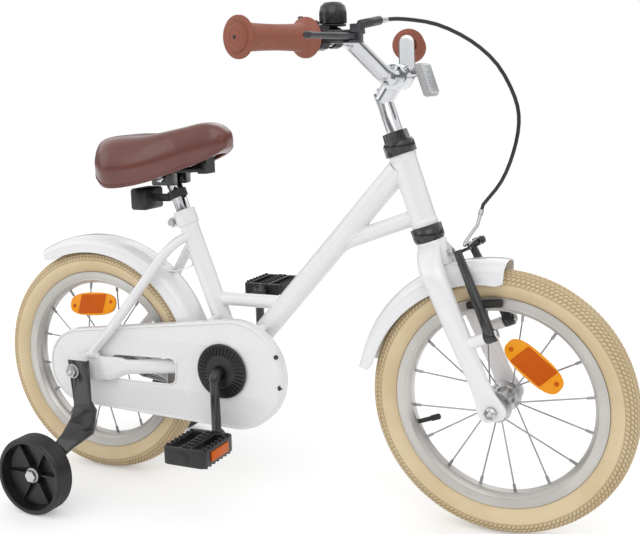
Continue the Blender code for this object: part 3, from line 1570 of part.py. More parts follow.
def front_fender(steering):
    """The front mudguard with the tab and bolt that hold it to the crown."""
    centre = FRONT_AXLE + Vector((FRONT_FENDER_CENTRE[0], 0.0, FRONT_FENDER_CENTRE[1]))
    first, last = FRONT_FENDER_ANGLES

    def skirt(angle):
        share = (angle - first) / (last - first)
        near, far = FRONT_SKIRT_RADII
        radius = near + (far - near) * share**0.8
        offset = Vector(FRONT_FENDER_CENTRE)
        direction = Vector((math.cos(angle), math.sin(angle)))
        return radius - offset.dot(direction)

    world = fender_surface(
        "front_fender",
        centre,
        FRONT_FENDER_ANGLES,
        lambda angle: FRONT_FENDER_RADIUS,
        FRONT_FENDER_HALF_WIDTH,
        skirt,
    )
    made = part("front_fender", world, WHITE_PAINT, STEERING.inverted(), steering)
    shell_of(made, FENDER_WALL)
    away = 2 * GAP + FENDER_TAB_THICKNESS / 2.0
    low, high = FORK_CROWN_BOTTOM - 0.008, CROWN_BOLT_HEIGHT + 0.008
    strip = strip_mesh(
        "fender_tab",
        (
            Vector((-crown_radius(low) - away, 0.0, low)),
            Vector((-crown_radius(high) - away, 0.0, high)),
        ),
        FENDER_TAB_WIDTH,
        FENDER_TAB_THICKNESS,
    )
    back = -crown_radius(CROWN_BOLT_HEIGHT) - away
    front_face = crown_radius(CROWN_BOLT_HEIGHT + CROWN_BOLT_HEAD) + GAP
    shaft = rod(
        "crown_bolt",
        (back - 0.004, 0, CROWN_BOLT_HEIGHT),
        (front_face + 0.004, 0, CROWN_BOLT_HEIGHT),
        CROWN_BOLT_RADIUS,
        10,
        steering,
        grown=False,
    )
    head = rod(
        "crown_bolt_head",
        (front_face, 0, CROWN_BOLT_HEIGHT),
        (front_face + 0.0045, 0, CROWN_BOLT_HEIGHT),
        CROWN_BOLT_HEAD,
        6,
        steering,
        grown=False,
    )
    join(made, helper("fender_tab", strip, parent=steering), shaft, head)


BLADE_STATIONS = (
    (0.2230, 0.0000, 0.0070, 0.0150, 0.0120, 2.5),
    (0.2080, 0.0000, 0.0230, 0.0168, 0.0140, 2.5),
    (0.1880, 0.0030, 0.0385, 0.0170, 0.0115, 2.4),
    (0.1650, 0.0068, 0.0430, 0.0158, 0.0105, 2.3),
    (0.1250, 0.0108, 0.0455, 0.0150, 0.0095, 2.2),
    (0.0700, 0.0163, 0.0470, 0.0140, 0.0075, 2.2),
    (0.0300, 0.0202, 0.0477, 0.0135, 0.0042, 2.6),
    (0.0125, 0.0219, 0.0475, 0.0160, 0.0025, 6.0),
    (0.0000, 0.0232, 0.0475, 0.0185, 0.0025, 6.0),
    (-0.0120, 0.0240, 0.0475, 0.0120, 0.0025, 6.0),
)


def blade(side):
    """One fork blade, round at the crown and flat at the tip."""
    rings = [
        oval((x, side * y, z), (1, 0, 0), (0, 1, 0), fore, across, power, 8)
        for z, x, y, fore, across, power in BLADE_STATIONS
    ]
    return loft(f"blade_{SIDE_NAMES[side]}", rings)


def fork(steering):
    """The steerer, crown, blades and brake posts as one welded piece."""
    crown_top = HEAD_TUBE_BOTTOM - GAP - LOWER_HEADSET_HEIGHT - RUNNING
    steerer_top = HEAD_TUBE_TOP + GAP + UPPER_HEADSET_HEIGHT - STEERER_TOP_BELOW_NUT
    made = part(
        "fork",
        cylinder("fork", STEERER_RADIUS, FORK_CROWN_BOTTOM + 0.01, steerer_top, TUBE_SIDES),
        WHITE_PAINT,
        parent=steering,
    )
    crown = cylinder(
        "crown",
        crown_radius(FORK_CROWN_BOTTOM),
        FORK_CROWN_BOTTOM,
        crown_top,
        TUBE_SIDES,
        FORK_CROWN_RADIUS,
    )
    join(made, helper("crown", crown, parent=steering))
    for side in (RIGHT, LEFT):
        join(made, helper(f"blade_{SIDE_NAMES[side]}", blade(side), parent=steering))
        for shape in brake_post(side, steering):
            join(made, shape)
        axle_hole = rod(
            f"tip_hole_{SIDE_NAMES[side]}",
            (FORK_OFFSET, side * 0.03, 0.0),
            (FORK_OFFSET, side * 0.07, 0.0),
            AXLE_RADIUS + GAP,
            14,
            steering,
        )
        cut(made, axle_hole)
    bore = rod(
        "steerer_bore",
        (0, 0, STEERER_BORE_BOTTOM),
        (0, 0, steerer_top + 0.01),
        STEERER_BORE,
        TUBE_SIDES,
        steering,
    )
    bolt_hole = rod(
        "crown_hole",
        (-0.04, 0, CROWN_BOLT_HEIGHT),
        (0.04, 0, CROWN_BOLT_HEIGHT),
        CROWN_BOLT_RADIUS + GAP,
        10,
        steering,
    )
    cut(made, bore, bolt_hole)


POST_FORWARD = Vector((math.cos(POST_TILT), 0.0, math.sin(POST_TILT)))
POST_UP = Vector((-math.sin(POST_TILT), 0.0, math.cos(POST_TILT)))
ARM_MIDDLE = POST_BOSS_END + GAP + ARM_THICKNESS / 2.0


def post_root(side):
    """The blade's centre behind a brake post, in the steering frame."""
    share = (BLADE_TOP_HEIGHT - POST_HEIGHT) / BLADE_TOP_HEIGHT
    x = 0.0068 + share * (FORK_OFFSET - 0.0068)
    return Vector((x, side * POST_SPREAD, POST_HEIGHT))


def brake_post(side, steering):
    """Boss, pin and head of one brake post."""
    root = post_root(side)
    arm_end = POST_BOSS_END + ARM_THICKNESS + 2 * GAP
    return [
        rod(
            f"post_{kind}_{SIDE_NAMES[side]}",
            root + POST_FORWARD * near,
            root + POST_FORWARD * far,
            radius,
            sides,
            steering,
            grown=False,
        )
        for kind, radius, near, far, sides in (
            ("boss", POST_BOSS_RADIUS, 0.002, POST_BOSS_END, 8),
            ("pin", POST_RADIUS, POST_BOSS_END - 0.001, arm_end + 0.001, 8),
            ("head", POST_HEAD_RADIUS, arm_end, arm_end + POST_HEAD_THICKNESS, 6),
        )
    ]


def brake_arm(side, steering):
    """A brake arm on its post, with the pad that it carries."""
    name = f"brake_arm_{SIDE_NAMES[side]}"
    pivot = post_root(side) + POST_FORWARD * ARM_MIDDLE
    carrier = marker(f"{name}_pivot", frame_matrix(pivot, POST_FORWARD, POST_UP), steering)
    half = ARM_THICKNESS / 2.0
    lean = -side * ARM_LEAN

    def station(share, half_fore, half_across):
        height = ARM_LENGTH * share
        place = (0.0, lean * share, height)
        return oval(place, (1, 0, 0), (0, 1, 0), half_fore, half_across, 3.0, 8)

    rings = [
        station(-0.06, half * 0.8, 0.0045),
        station(0.02, half * 0.97, 0.0070),
        station(0.30, half * 0.93, 0.0062),
        station(1.00, half * 0.75, 0.0046),
    ]
    made = part(name, loft(name, rings), BLACK_METAL, parent=carrier)
    eye = rod(f"{name}_eye", (-half, 0, 0), (half, 0, 0), 0.0085, 10, carrier, grown=False)
    join(made, eye)
    top = ARM_LENGTH - 0.0015
    y = lean
    if side == LEFT:
        for kind, radius, near, far in (
            ("shoulder", 0.0058, half * 0.5, WIRE_FORWARD - WIRE_RADIUS - GAP),
            ("shank", ANCHOR_SHANK_RADIUS, WIRE_FORWARD - 0.004, WIRE_FORWARD + 0.004),
            ("washer", ANCHOR_WASHER_RADIUS, WIRE_FORWARD + WIRE_RADIUS + GAP, 0.0158),
            ("bolt", 0.0048, 0.0150, 0.0192),
        ):
            label = f"anchor_{kind}"
            join(made, rod(label, (near, y, top), (far, y, top), radius, 8, carrier, grown=False))
    else:
        shelf = wire_height() - NOODLE_RADIUS - 0.0012
        size = (0.0150, 0.0062, 0.0040)
        centre = (0.0030 + size[0] / 2.0, y, shelf - size[2] / 2.0)
        lip = (0.0020, 0.0052, 0.0056)
        lip_centre = (size[0] + 0.0027 - lip[0] / 2.0, y, shelf + lip[2] / 2.0 - 0.002)
        join(
            made,
            helper("cradle", box("cradle", size, centre), parent=carrier),
            helper("cradle_lip", box("cradle_lip", lip, lip_centre), parent=carrier),
        )
    reach = half + 0.01
    bore = rod(f"{name}_bore", (-reach, 0, 0), (reach, 0, 0), POST_RADIUS + RUNNING, 10, carrier)
    cut(made, bore)
    brake_pad(side, carrier, pivot, lean)


def wire_height():
    """The brake wire's height above the post, above the anchor bolt's shank."""
    return ARM_LENGTH - 0.0015 + ANCHOR_SHANK_RADIUS + WIRE_ABOVE_SHANK


def brake_pad(side, carrier, pivot, lean):
    """A pad beside the rim with its stud towards the arm."""
    name = f"brake_pad_{SIDE_NAMES[side]}"
    axle = Vector((FORK_OFFSET, 0.0, 0.0))
    apart = pivot - axle
    apart.y = 0.0
    along = apart.dot(POST_UP)
    ahead = apart.dot(POST_FORWARD)
    height = math.sqrt(PAD_TRACK_RADIUS**2 - ahead**2) - along
    radial = Vector((ahead, 0.0, along + height)).normalized()
    inner = RIM_HALF_WIDTH + PAD_GAP
    centre_y = side * (inner + PAD_THICKNESS / 2.0) - pivot.y
    place = frame_matrix((0.0, centre_y, height), (radial.z, 0.0, -radial.x), radial)
    pad = part(
        name,
        box(name, (PAD_LENGTH, PAD_THICKNESS, PAD_HEIGHT)),
        BLACK_RUBBER,
        place,
        carrier,
    )
    edge = pad.modifiers.new("edges", "BEVEL")
    edge.width = 0.0015
    edge.segments = 1
    share = height / ARM_LENGTH
    arm_face = lean * share - side * (0.0062 + GAP + 0.0003)
    stud = rod(
        f"{name}_stud",
        (0.0, centre_y, height),
        (0.0, arm_face, height),
        PAD_STUD_RADIUS,
        8,
        carrier,
        grown=False,
    )
    join(pad, stud)


def post_frame(side=RIGHT):
    """The frame of a brake arm's pivot, in the steering frame."""
    pivot = post_root(side) + POST_FORWARD * ARM_MIDDLE
    return frame_matrix(Vector((pivot.x, 0.0, pivot.z)), POST_FORWARD, POST_UP)


def brake_noodle(steering):
    """The bent guide pipe with the bare wire that runs on to the left arm."""
    y = POST_SPREAD - ARM_LEAN
    height = wire_height()
    points = rounded(
        (NOODLE_TOP, NOODLE_KNEE, (WIRE_FORWARD, -0.0435, height), (WIRE_FORWARD, -0.0130, height)),
        0.0045,
        3,
    )
    data = curve_mesh("brake_noodle", tube("brake_noodle", points, NOODLE_RADIUS, 2))
    carrier = marker("brake_plane", post_frame(), steering)
    made = part("brake_noodle", data, STEEL, parent=carrier)
    wire = rod(
        "inner_wire",
        (WIRE_FORWARD, -0.0140, height),
        (WIRE_FORWARD, y + 0.009, height),
        WIRE_RADIUS,
        6,
        carrier,
        grown=False,
    )
    join(made, wire)


CABLE_ROUTE = (
    (0.2180, -0.0680, 0.6640),
    (0.2500, -0.0380, 0.6570),
    (0.2850, -0.0120, 0.6360),
    (0.3150, 0.0000, 0.6055),
    (0.3350, 0.0050, 0.5650),
    (0.3400, 0.0050, 0.5330),
    (0.3330, 0.0040, 0.4960),
    (0.3180, 0.0030, 0.4600),
)


def brake_cable(steering, bar_frame):
    """The outer cable from the lever's barrel to the noodle."""
    bar = STEERING @ bar_frame
    barrel_end = bar @ Vector(BARREL_END)
    ahead = (barrel_end - bar @ Vector(BARREL_START)).normalized()
    plane = STEERING @ post_frame()
    noodle_top = plane @ Vector(NOODLE_TOP)
    above = (noodle_top - plane @ Vector(NOODLE_KNEE)).normalized()
    route = (
        barrel_end + ahead * CABLE_LEAD,
        *CABLE_ROUTE,
        noodle_top + above * CABLE_LEAD,
    )
    path = [
        barrel_end + ahead * GAP,
        *smooth_path(route, 3),
        noodle_top + above * GAP,
    ]
    data = curve_mesh("brake_cable", tube("brake_cable", path, CABLE_RADIUS, 2))
    part("brake_cable", data, BLACK_PLASTIC, STEERING.inverted(), steering)


def bar_frame(side):
    """The frame of one bar end: X outwards along it, Y forwards, Z up."""
    bend = Vector((BAR_BEND[0], side * BAR_BEND[1], BAR_BEND[2]))
    end = Vector((BAR_END[0], side * BAR_END[1], BAR_END[2]))
    outward = (end - bend).normalized()
    ahead = STEERING.inverted().to_3x3() @ Vector((1.0, 0.0, 0.0))
    ahead = (ahead - outward * ahead.dot(outward)).normalized()
    up = outward.cross(ahead) if side == RIGHT else ahead.cross(outward)
    axes = Matrix((outward, ahead, up)).transposed()
    return Matrix.Translation(bend) @ axes.to_4x4(), (end - bend).length


def handlebar(cockpit):
    """The bent bar, hollow and open at both ends."""
    x, z = BAR_CENTRE
    half = [
        (BAR_END[0], BAR_END[1], BAR_END[2]),
        BAR_BEND,
        (x, BAR_FLAT, z),
    ]
    points = [(a, -b, c) for a, b, c in half] + list(reversed(half))
    path = rounded(points, BAR_BEND_RADIUS, 3)
    data = curve_mesh("handlebar", tube("handlebar", path, BAR_RADIUS, 3, caps=False))
    made = part("handlebar", data, CHROME, parent=cockpit)
    shell_of(made, BAR_WALL)


def stem(cockpit):
    """The quill, its neck and the clamp round the bar."""
    x, z = BAR_CENTRE
    made = part(
        "stem",
        cylinder("stem", QUILL_RADIUS, QUILL_BOTTOM, QUILL_TOP, RING_STEPS),
        CHROME,
        parent=cockpit,
    )
    half = STEM_CLAMP_HALF_WIDTH
    neck_foot = (0.0, 0.0, QUILL_TOP - 0.012)
    clamp = rod("stem_clamp", (x, -half, z), (x, half, z), STEM_CLAMP_RADIUS, 12, cockpit, False)
    neck = rod("stem_neck", neck_foot, (x, 0, z), STEM_NECK_RADIUS, 10, cockpit, False)
    bolt = rod("quill_bolt", (0, 0, 0.40), (0, 0, QUILL_TOP + 0.006), STEM_BOLT_RADIUS, 6, cockpit, False)
    lug = helper(
        "clamp_lug",
        box("clamp_lug", (0.014, 2 * half * 0.6, 0.012), (x + STEM_CLAMP_RADIUS, 0.0, z)),
        parent=cockpit,
    )
    join(made, clamp, neck, bolt, lug)
    bore = rod(
        "bar_bore", (x, -half - 0.01, z), (x, half + 0.01, z), BAR_RADIUS + GAP, 12, cockpit
    )
    split = helper(
        "clamp_split",
        box("clamp_split", (0.03, 2 * half + 0.02, 0.002), (x + BAR_RADIUS + 0.014, 0.0, z)),
        parent=cockpit,
    )
    cut(made, bore, split)


def grip(side, carrier, length):
    """A sleeve with a round flange at each end."""
    bore = circumscribed(BAR_RADIUS + GAP, RING_STEPS)
    end = length + GAP + GRIP_CAP
    start = end - GRIP_LENGTH
    flange, barrel = GRIP_FLANGE_RADIUS, GRIP_RADIUS
    points = [
        (0.0, end + 0.0040),
        (0.0160, end + 0.0030),
        (0.0170, end),
        (flange, end),
        (flange, end - 0.0040),
        (barrel + 0.0010, end - 0.0070),
        (barrel, end - 0.0150),
        (barrel + 0.0010, start + 0.0075),
        (flange, start + 0.0045),
        (flange, start),
        (bore, start),
        (bore, end - GRIP_CAP),
        (0.0, end - GRIP_CAP),
    ]
    name = f"grip_{SIDE_NAMES[side]}"
    along = Matrix.Rotation(math.pi / 2, 4, "Y")
    turned(name, points, RING_STEPS, BROWN_RUBBER, along, carrier, ring=False)


def bar_ring(name, place, half_width, radius, material, carrier):
    """A clamp ring round the bar, about the bar end's X axis."""
    bore = circumscribed(BAR_RADIUS + GAP, RING_STEPS)
    points = [
        (radius, half_width),
        (radius, -half_width),
        (bore, -half_width),
        (bore, half_width),
    ]
    along = Matrix.Translation((place, 0.0, 0.0)) @ Matrix.Rotation(math.pi / 2, 4, "Y")
    return turned(name, points, RING_STEPS, material, along, carrier)


def brake_lever(carrier):
    """The lever mount with its barrel, and the lever on its pin."""
    ring = bar_ring(
        "brake_lever_mount", MOUNT_PLACE, MOUNT_HALF_WIDTH, MOUNT_RING_RADIUS, GREY_PLASTIC, carrier
    )
    px, py = LEVER_PIVOT
    block_half = LEVER_THICKNESS / 2.0 + GAP + 0.0030
    hub_clear = LEVER_HUB_RADIUS + 0.0012
    outline = [
        (MOUNT_PLACE + MOUNT_HALF_WIDTH, BAR_RADIUS + 0.0015),
        (MOUNT_PLACE + MOUNT_HALF_WIDTH, BAR_RADIUS + 0.0060),
        (px + hub_clear, py + 0.002),
        (px + 0.003, py + hub_clear),
        (px - 0.012, py + hub_clear),
        (px - 0.020, py + 0.004),
        (px - 0.020, py - 0.006),
        (MOUNT_PLACE - MOUNT_HALF_WIDTH - 0.004, BAR_RADIUS + 0.0040),
        (MOUNT_PLACE - MOUNT_HALF_WIDTH, BAR_RADIUS + 0.0015),
    ]
    block = curve_mesh("mount_block", flat_outline("mount_block", [outline], 2 * block_half))
    join(ring, helper("mount_block", block, parent=carrier))
    barrel = rod("barrel", BARREL_START, BARREL_END, BARREL_RADIUS, 12, carrier, grown=False)
    root = helper(
        "barrel_root",
        box("barrel_root", (0.016, 0.010, 0.012), (px - 0.0125, py + 0.0015, 0.0085)),
        parent=carrier,
    )
    join(ring, barrel, root)
    slot_size = (0.060, 2 * hub_clear + 0.008, LEVER_THICKNESS + 2 * GAP)
    slot_centre = (px - hub_clear + slot_size[0] / 2.0, py - hub_clear + slot_size[1] / 2.0, 0.0)
    cut(ring, helper("lever_slot", box("lever_slot", slot_size, slot_centre), parent=carrier))
    pin_reach = block_half - 0.0005
    pin = rod("lever_pin", (px, py, -pin_reach), (px, py, pin_reach), LEVER_PIN_RADIUS, 10, carrier, False)
    join(ring, pin)

    pivot = marker("brake_lever_pivot", Matrix.Translation((px, py, 0.0)), carrier)
    tip = Vector((LEVER_TIP[0] - px, LEVER_TIP[1] - py, 0.0))
    half = LEVER_THICKNESS / 2.0
    rings = []
    for share, sag, half_across, half_up in (
        (0.00, 0.0000, 0.0052, half * 0.95),
        (0.20, 0.0035, 0.0052, half * 0.95),
        (0.45, 0.0028, 0.0046, half * 0.92),
        (0.90, 0.0005, 0.0040, half * 0.92),
        (0.98, 0.0015, 0.0052, half * 1.05),
        (1.05, 0.0022, 0.0035, half * 0.75),
    ):
        centre = tip * share + Vector((0.0, sag, 0.0))
        rings.append(oval(centre, (0, 1, 0), (0, 0, 1), half_across, half_up, 2.6, 8))
    lever = part("brake_lever", loft("brake_lever", rings), GREY_PLASTIC, parent=pivot)
    eye = rod("lever_eye", (0, 0, -half), (0, 0, half), LEVER_HUB_RADIUS, 10, pivot, False)
    join(lever, eye)
    cut(lever, rod("lever_bore", (0, 0, -0.02), (0, 0, 0.02), LEVER_PIN_RADIUS + RUNNING, 10, pivot))


def bell(carrier):
    """Base with clamp and post, dome, and the thumb lever."""
    base = bar_ring("bell_base", BELL_PLACE, BELL_HALF_WIDTH, BELL_RING_RADIUS, BLACK_PLASTIC, carrier)
    dome_top = BELL_BOTTOM + BELL_HEIGHT
    disc = BELL_BOTTOM - 0.0010
    centre = Matrix.Translation((BELL_PLACE, 0.0, 0.0))
    for kind, radius, low, high, sides in (
        ("disc", BELL_RADIUS - 0.001, disc - 0.0025, disc, RING_STEPS),
        ("neck", 0.0055, BAR_RADIUS + 0.0013, disc - 0.001, 8),
        ("post", 0.0030, disc - 0.001, dome_top - BELL_WALL - 3 * GAP, 8),
    ):
        name = f"bell_{kind}"
        join(base, helper(name, cylinder(name, radius, low, high, sides), centre, carrier))
    lx, ly = BELL_LEVER_PIVOT
    lug_place = Matrix.Translation((BELL_PLACE + lx, ly, 0.0))
    lug = box(
        "bell_lug",
        (0.0085, 0.0130, 0.0017),
        (BELL_PLACE + lx * 0.85, ly + 0.0040, disc - 0.00125),
    )
    pin = cylinder("bell_pin", BELL_PIN_RADIUS, disc - 0.0018, disc + 0.0060, 8)
    join(
        base,
        helper("bell_lug", lug, parent=carrier),
        helper("bell_pin", pin, lug_place, carrier),
    )
    wall = BELL_WALL
    radius = BELL_RADIUS
    outer = [
        (0.0, dome_top),
        (radius * 0.62, dome_top - 0.0012),
        (radius * 0.90, dome_top - 0.0055),
        (radius, dome_top - 0.0135),
        (radius, BELL_BOTTOM),
    ]
    inner = [
        (radius - wall, BELL_BOTTOM),
        (radius - wall, dome_top - 0.0140),
        (radius * 0.90 - wall, dome_top - 0.0070),
        (radius * 0.56, dome_top - wall - 0.0014),
        (0.0, dome_top - wall),
    ]
    turned("bell_dome", outer + inner, RING_STEPS, BLACK_PLASTIC, centre, carrier, ring=False)
    pivot = marker("bell_lever_pivot", lug_place, carrier)
    low, high = disc + GAP, disc + 0.0045
    lever = part("bell_lever", cylinder("bell_lever", 0.0040, low, high, 10), BLACK_PLASTIC, parent=pivot)
    outward = Vector((1.0, -0.25, 0.0)).normalized()
    end = outward * BELL_LEVER_LENGTH
    blade_rings = []
    for share, wide, bottom, top in (
        (0.0, 0.0030, low + 0.0004, high - 0.0004),
        (0.6, 0.0026, low + 0.0010, high + 0.0010),
        (1.0, 0.0050, low + 0.0030, high + 0.0060),
    ):
        across = Vector((-outward.y, outward.x, 0.0)) * wide
        point = end * share
        blade_rings.append(
            [
                point - across + Vector((0, 0, bottom)),
                point + across + Vector((0, 0, bottom)),
                point + across + Vector((0, 0, top)),
                point - across + Vector((0, 0, top)),
            ]
        )
    join(lever, helper("bell_blade", loft("bell_blade", blade_rings), parent=pivot))
    bore_low, bore_high = (0, 0, disc - 0.01), (0, 0, disc + 0.02)
    cut(lever, rod("bell_lever_bore", bore_low, bore_high, BELL_PIN_RADIUS + GAP, 8, pivot))


def front_reflector(cockpit):
    """The clear reflector with its arm and its clamp ring on the bar."""
    x, z = BAR_CENTRE
    bore = circumscribed(BAR_RADIUS + GAP, RING_STEPS)
    half = LAMP_RING_HALF_WIDTH
    points = [(0.0145, half), (0.0145, -half), (bore, -half), (bore, half)]
    place = Matrix.Translation((x, LAMP_RING_OFFSET, z)) @ Matrix.Rotation(-math.pi / 2, 4, "X")
    made = turned("front_reflector", points, RING_STEPS, CLEAR_LENS, place, cockpit)
    lx, lz = LAMP_CENTRE
    plate_x = lx - LAMP_DEPTH / 2.0
    reach = plate_x - (x + 0.013) + 0.002
    arm_centre = (x + 0.013 + reach / 2.0, LAMP_RING_OFFSET, z - 0.004)
    arm = box("lamp_arm", (reach, 2 * half - 0.0010, 0.0035), arm_centre)
    foot_centre = (plate_x - 0.001, LAMP_RING_OFFSET / 2.0, z - 0.006)
    foot = box("lamp_foot", (0.0035, LAMP_RING_OFFSET + 0.012, 0.012), foot_centre)
    lens = box("lamp_lens", (LAMP_DEPTH, LAMP_WIDTH, LAMP_HEIGHT), (lx, 0.0, lz))
    block = helper("lamp_lens", lens, parent=cockpit)
    edge = block.modifiers.new("edges", "BEVEL")
    edge.width = 0.003
    edge.segments = 1
    join(made, helper("lamp_arm", arm, parent=cockpit), helper("lamp_foot", foot, parent=cockpit), block)


def stabiliser(side):
    """One stabiliser: its channel bracket with the axle bolt, and its wheel."""
    label = SIDE_NAMES[side]
    hub_centre = Vector((REAR_AXLE.x + STABILISER_SHIFT, side * STABILISER_LINE, STABILISER_RADIUS))
    stabiliser_bracket(side, label, hub_centre)
    stabiliser_wheel(side, label, hub_centre)


def stabiliser_bracket(side, label, hub_centre):
    """The pressed bracket from the rear axle down to the stabiliser wheel."""
    name = f"stabiliser_bracket_{label}"
    face = STABILISER_LINE - STABILISER_WIDTH / 2.0 - RUNNING
    line = BRACKET_LINE - BRACKET_SHEET / 2.0
    sheet = BRACKET_SHEET / 2.0
    hub_x, hub_z = hub_centre.x, hub_centre.z
    level, outward = (1.0, 0.0, 0.0), (0.0, 1.0, 0.0)
    stations = (
        ((-0.3098, line, 0.1900), level, outward, 0.0160, sheet),
        ((-0.3030, line, 0.1300), level, outward, 0.0165, sheet + 0.0006),
        ((-0.2900, line + 0.010, 0.1200), level, outward, 0.0190, 0.0045),
        ((-0.2730, 0.1180, 0.1060), (0.95, 0.0, -0.31), (0.16, 0.5, 0.85), 0.0220, 0.0035),
        ((-0.2735, 0.1500, 0.0950), (0.75, 0.0, -0.66), (0.5, 0.65, 0.57), 0.0135, 0.0035),
        ((-0.2830, face - 0.0040, 0.0800), (0.79, 0.0, -0.61), outward, 0.0110, 0.0030),
        ((hub_x + 0.004, face - 0.0022, hub_z + 0.004), (0.8, 0.0, -0.6), outward, 0.0110, 0.0020),
    )
    rings = []
    for centre, across, up, half_across, half_up in stations:
        ring = oval(centre, across, up, half_across, half_up, 7.0, 8)
        rings.append([Vector((point.x, side * point.y, point.z)) for point in ring])
    made = part(name, loft(name, rings), BLACK_METAL)
    centre = (-0.2942, side * (BRACKET_LINE - 0.0004 - BRACKET_FLANGE / 2.0), 0.1575)
    data = box(f"{name}_flange", (BRACKET_SHEET, BRACKET_FLANGE, 0.064), centre)
    join(made, helper(f"{name}_flange", data))
    inner_end = hub_centre.y - side * (STABILISER_WIDTH / 2.0 + RUNNING + 0.003)
    seat_face = side * (STABILISER_LINE + STABILISER_WIDTH / 2.0 - 0.0085)
    for kind, radius, start, end, sides in (
        ("plate", 0.0125, inner_end - side * 0.001, side * (face + GAP), 12),
        ("pin", STABILISER_BOLT_RADIUS, inner_end, seat_face + side * 0.003, 10),
        ("head", STABILISER_BOLT_HEAD, seat_face + side * RUNNING, seat_face + side * 0.0045, 6),
    ):
        low = Vector((hub_centre.x, start, hub_centre.z))
        high = Vector((hub_centre.x, end, hub_centre.z))
        join(made, rod(f"{name}_{kind}", low, high, radius, sides, grown=False))
    reach = Vector((0.0, side * 0.02, 0.0))
    centre = Vector((REAR_AXLE.x, side * line, REAR_AXLE.z))
    cut(made, rod(f"{name}_hole", centre - reach, centre + reach, AXLE_RADIUS + GAP, 12))


def stabiliser_wheel(side, label, centre):
    """A solid wheel, dished on its outer face, turning on the bracket's bolt."""
    steps = STABILISER_STEPS
    name = f"stabiliser_wheel_{label}"
    half = STABILISER_WIDTH / 2.0
    bore = circumscribed(STABILISER_BOLT_RADIUS + RUNNING, steps)
    radius = STABILISER_RADIUS
    section = [
        (radius - 0.003, half),
        (radius, half - 0.0045),
        (radius, -half + 0.0045),
        (radius - 0.003, -half),
        (bore, -half),
        (bore, half - 0.0085),
        (STABILISER_HUB_RADIUS, half - 0.0085),
        (STABILISER_HUB_RADIUS + 0.002, half - 0.0200),
        (radius - 0.0105, half - 0.0170),
        (radius - 0.0080, half),
    ]
    section = [(circumscribed(r, steps) if r > 0.02 else r, y) for r, y in section]
    half_step = Matrix.Rotation(math.pi / steps, 4, "Z")
    flip = Matrix.Identity(4) if side == LEFT else Matrix.Rotation(math.pi, 4, "X")
    carrier = marker(f"{name}_axis", along_y(centre))
    turned(name, section, steps, BLACK_PLASTIC, flip @ half_step, carrier)


def coaster_brake_arm():
    """The strip from the rear axle to its clip under the left chain stay."""
    line = DROPOUT_INNER - COASTER_ARM_INSET
    start = (REAR_AXLE.x, REAR_AXLE.z)
    end = (REAR_AXLE.x + COASTER_ARM_REACH, REAR_AXLE.z - COASTER_ARM_DROP)
    outline = belt(start, COASTER_ARM_HEAD, end, COASTER_ARM_TAIL, 10, 5)
    holes = [circle(circumscribed(CONE_RADIUS + GAP, 12), 12, start)]
    upright = Matrix.Rotation(math.pi / 2, 4, "X")
    place = Matrix.Translation((0.0, line, 0.0)) @ upright
    data = curve_mesh("coaster_brake_arm", flat_outline("coaster_brake_arm", [outline, *holes], 0.0025))
    arm = part("coaster_brake_arm", data, STEEL, place)
    spread = chain_stay_centre(end[0])[0]
    height = chain_stay_centre(end[0] - COASTER_CLIP_WIDTH / 2.0)[1]
    top = height - CHAIN_STAY_HALF_HEIGHT - GAP
    low = end[1] - 0.003
    clip = box(
        "brake_arm_clip",
        (COASTER_CLIP_WIDTH, line + 0.00125 - (spread - 0.004), top - low),
        (end[0], (line + 0.00125 + spread - 0.004) / 2.0, (top + low) / 2.0),
    )
    join(arm, helper("brake_arm_clip", clip))


def saddle_section(half_width, top, bottom, under):
    """One ring of the cushion: over the crown and back along the hollow underside."""
    height = top - bottom
    outer = []
    for share_y, share_z in (
        (0.98, 0.00),
        (1.03, 0.45),
        (0.72, 0.92),
        (0.00, 1.00),
        (-0.72, 0.92),
        (-1.03, 0.45),
        (-0.98, 0.00),
    ):
        outer.append((share_y * half_width, bottom + share_z * height))
    wall = min(0.009, half_width * 0.3)
    inside = half_width - wall
    inner = [
        (-inside, bottom + 0.001),
        (-inside * 0.92, under),
        (0.0, under),
        (inside * 0.92, under),
        (inside, bottom + 0.001),
    ]
    return outer + inner


def saddle(seat_post_axis):
    """Cushion, base with rails, and clamp, all tilting about the post's pin."""
    world_pivot = SEAT_TOP @ Vector((0.0, 0.0, POST_TOP))
    pivot = marker("saddle_pivot", SEAT_TOP.inverted() @ Matrix.Translation(world_pivot), seat_post_axis)
    to_local = Matrix.Translation(-world_pivot)
    rings = []
    for x, half_width, top, bottom, under in SADDLE_STATIONS:
        section = saddle_section(half_width, top, bottom, under)
        rings.append([Vector((x, y, z)) for y, z in section])
    cushion = part("saddle_cushion", loft("saddle_cushion", rings), BROWN_VINYL, to_local, pivot)
    soft = cushion.modifiers.new("soft", "SUBSURF")
    soft.levels = 1
    soft.render_levels = 1

    saddle_base(world_pivot, to_local, pivot)
    saddle_clamp(pivot)


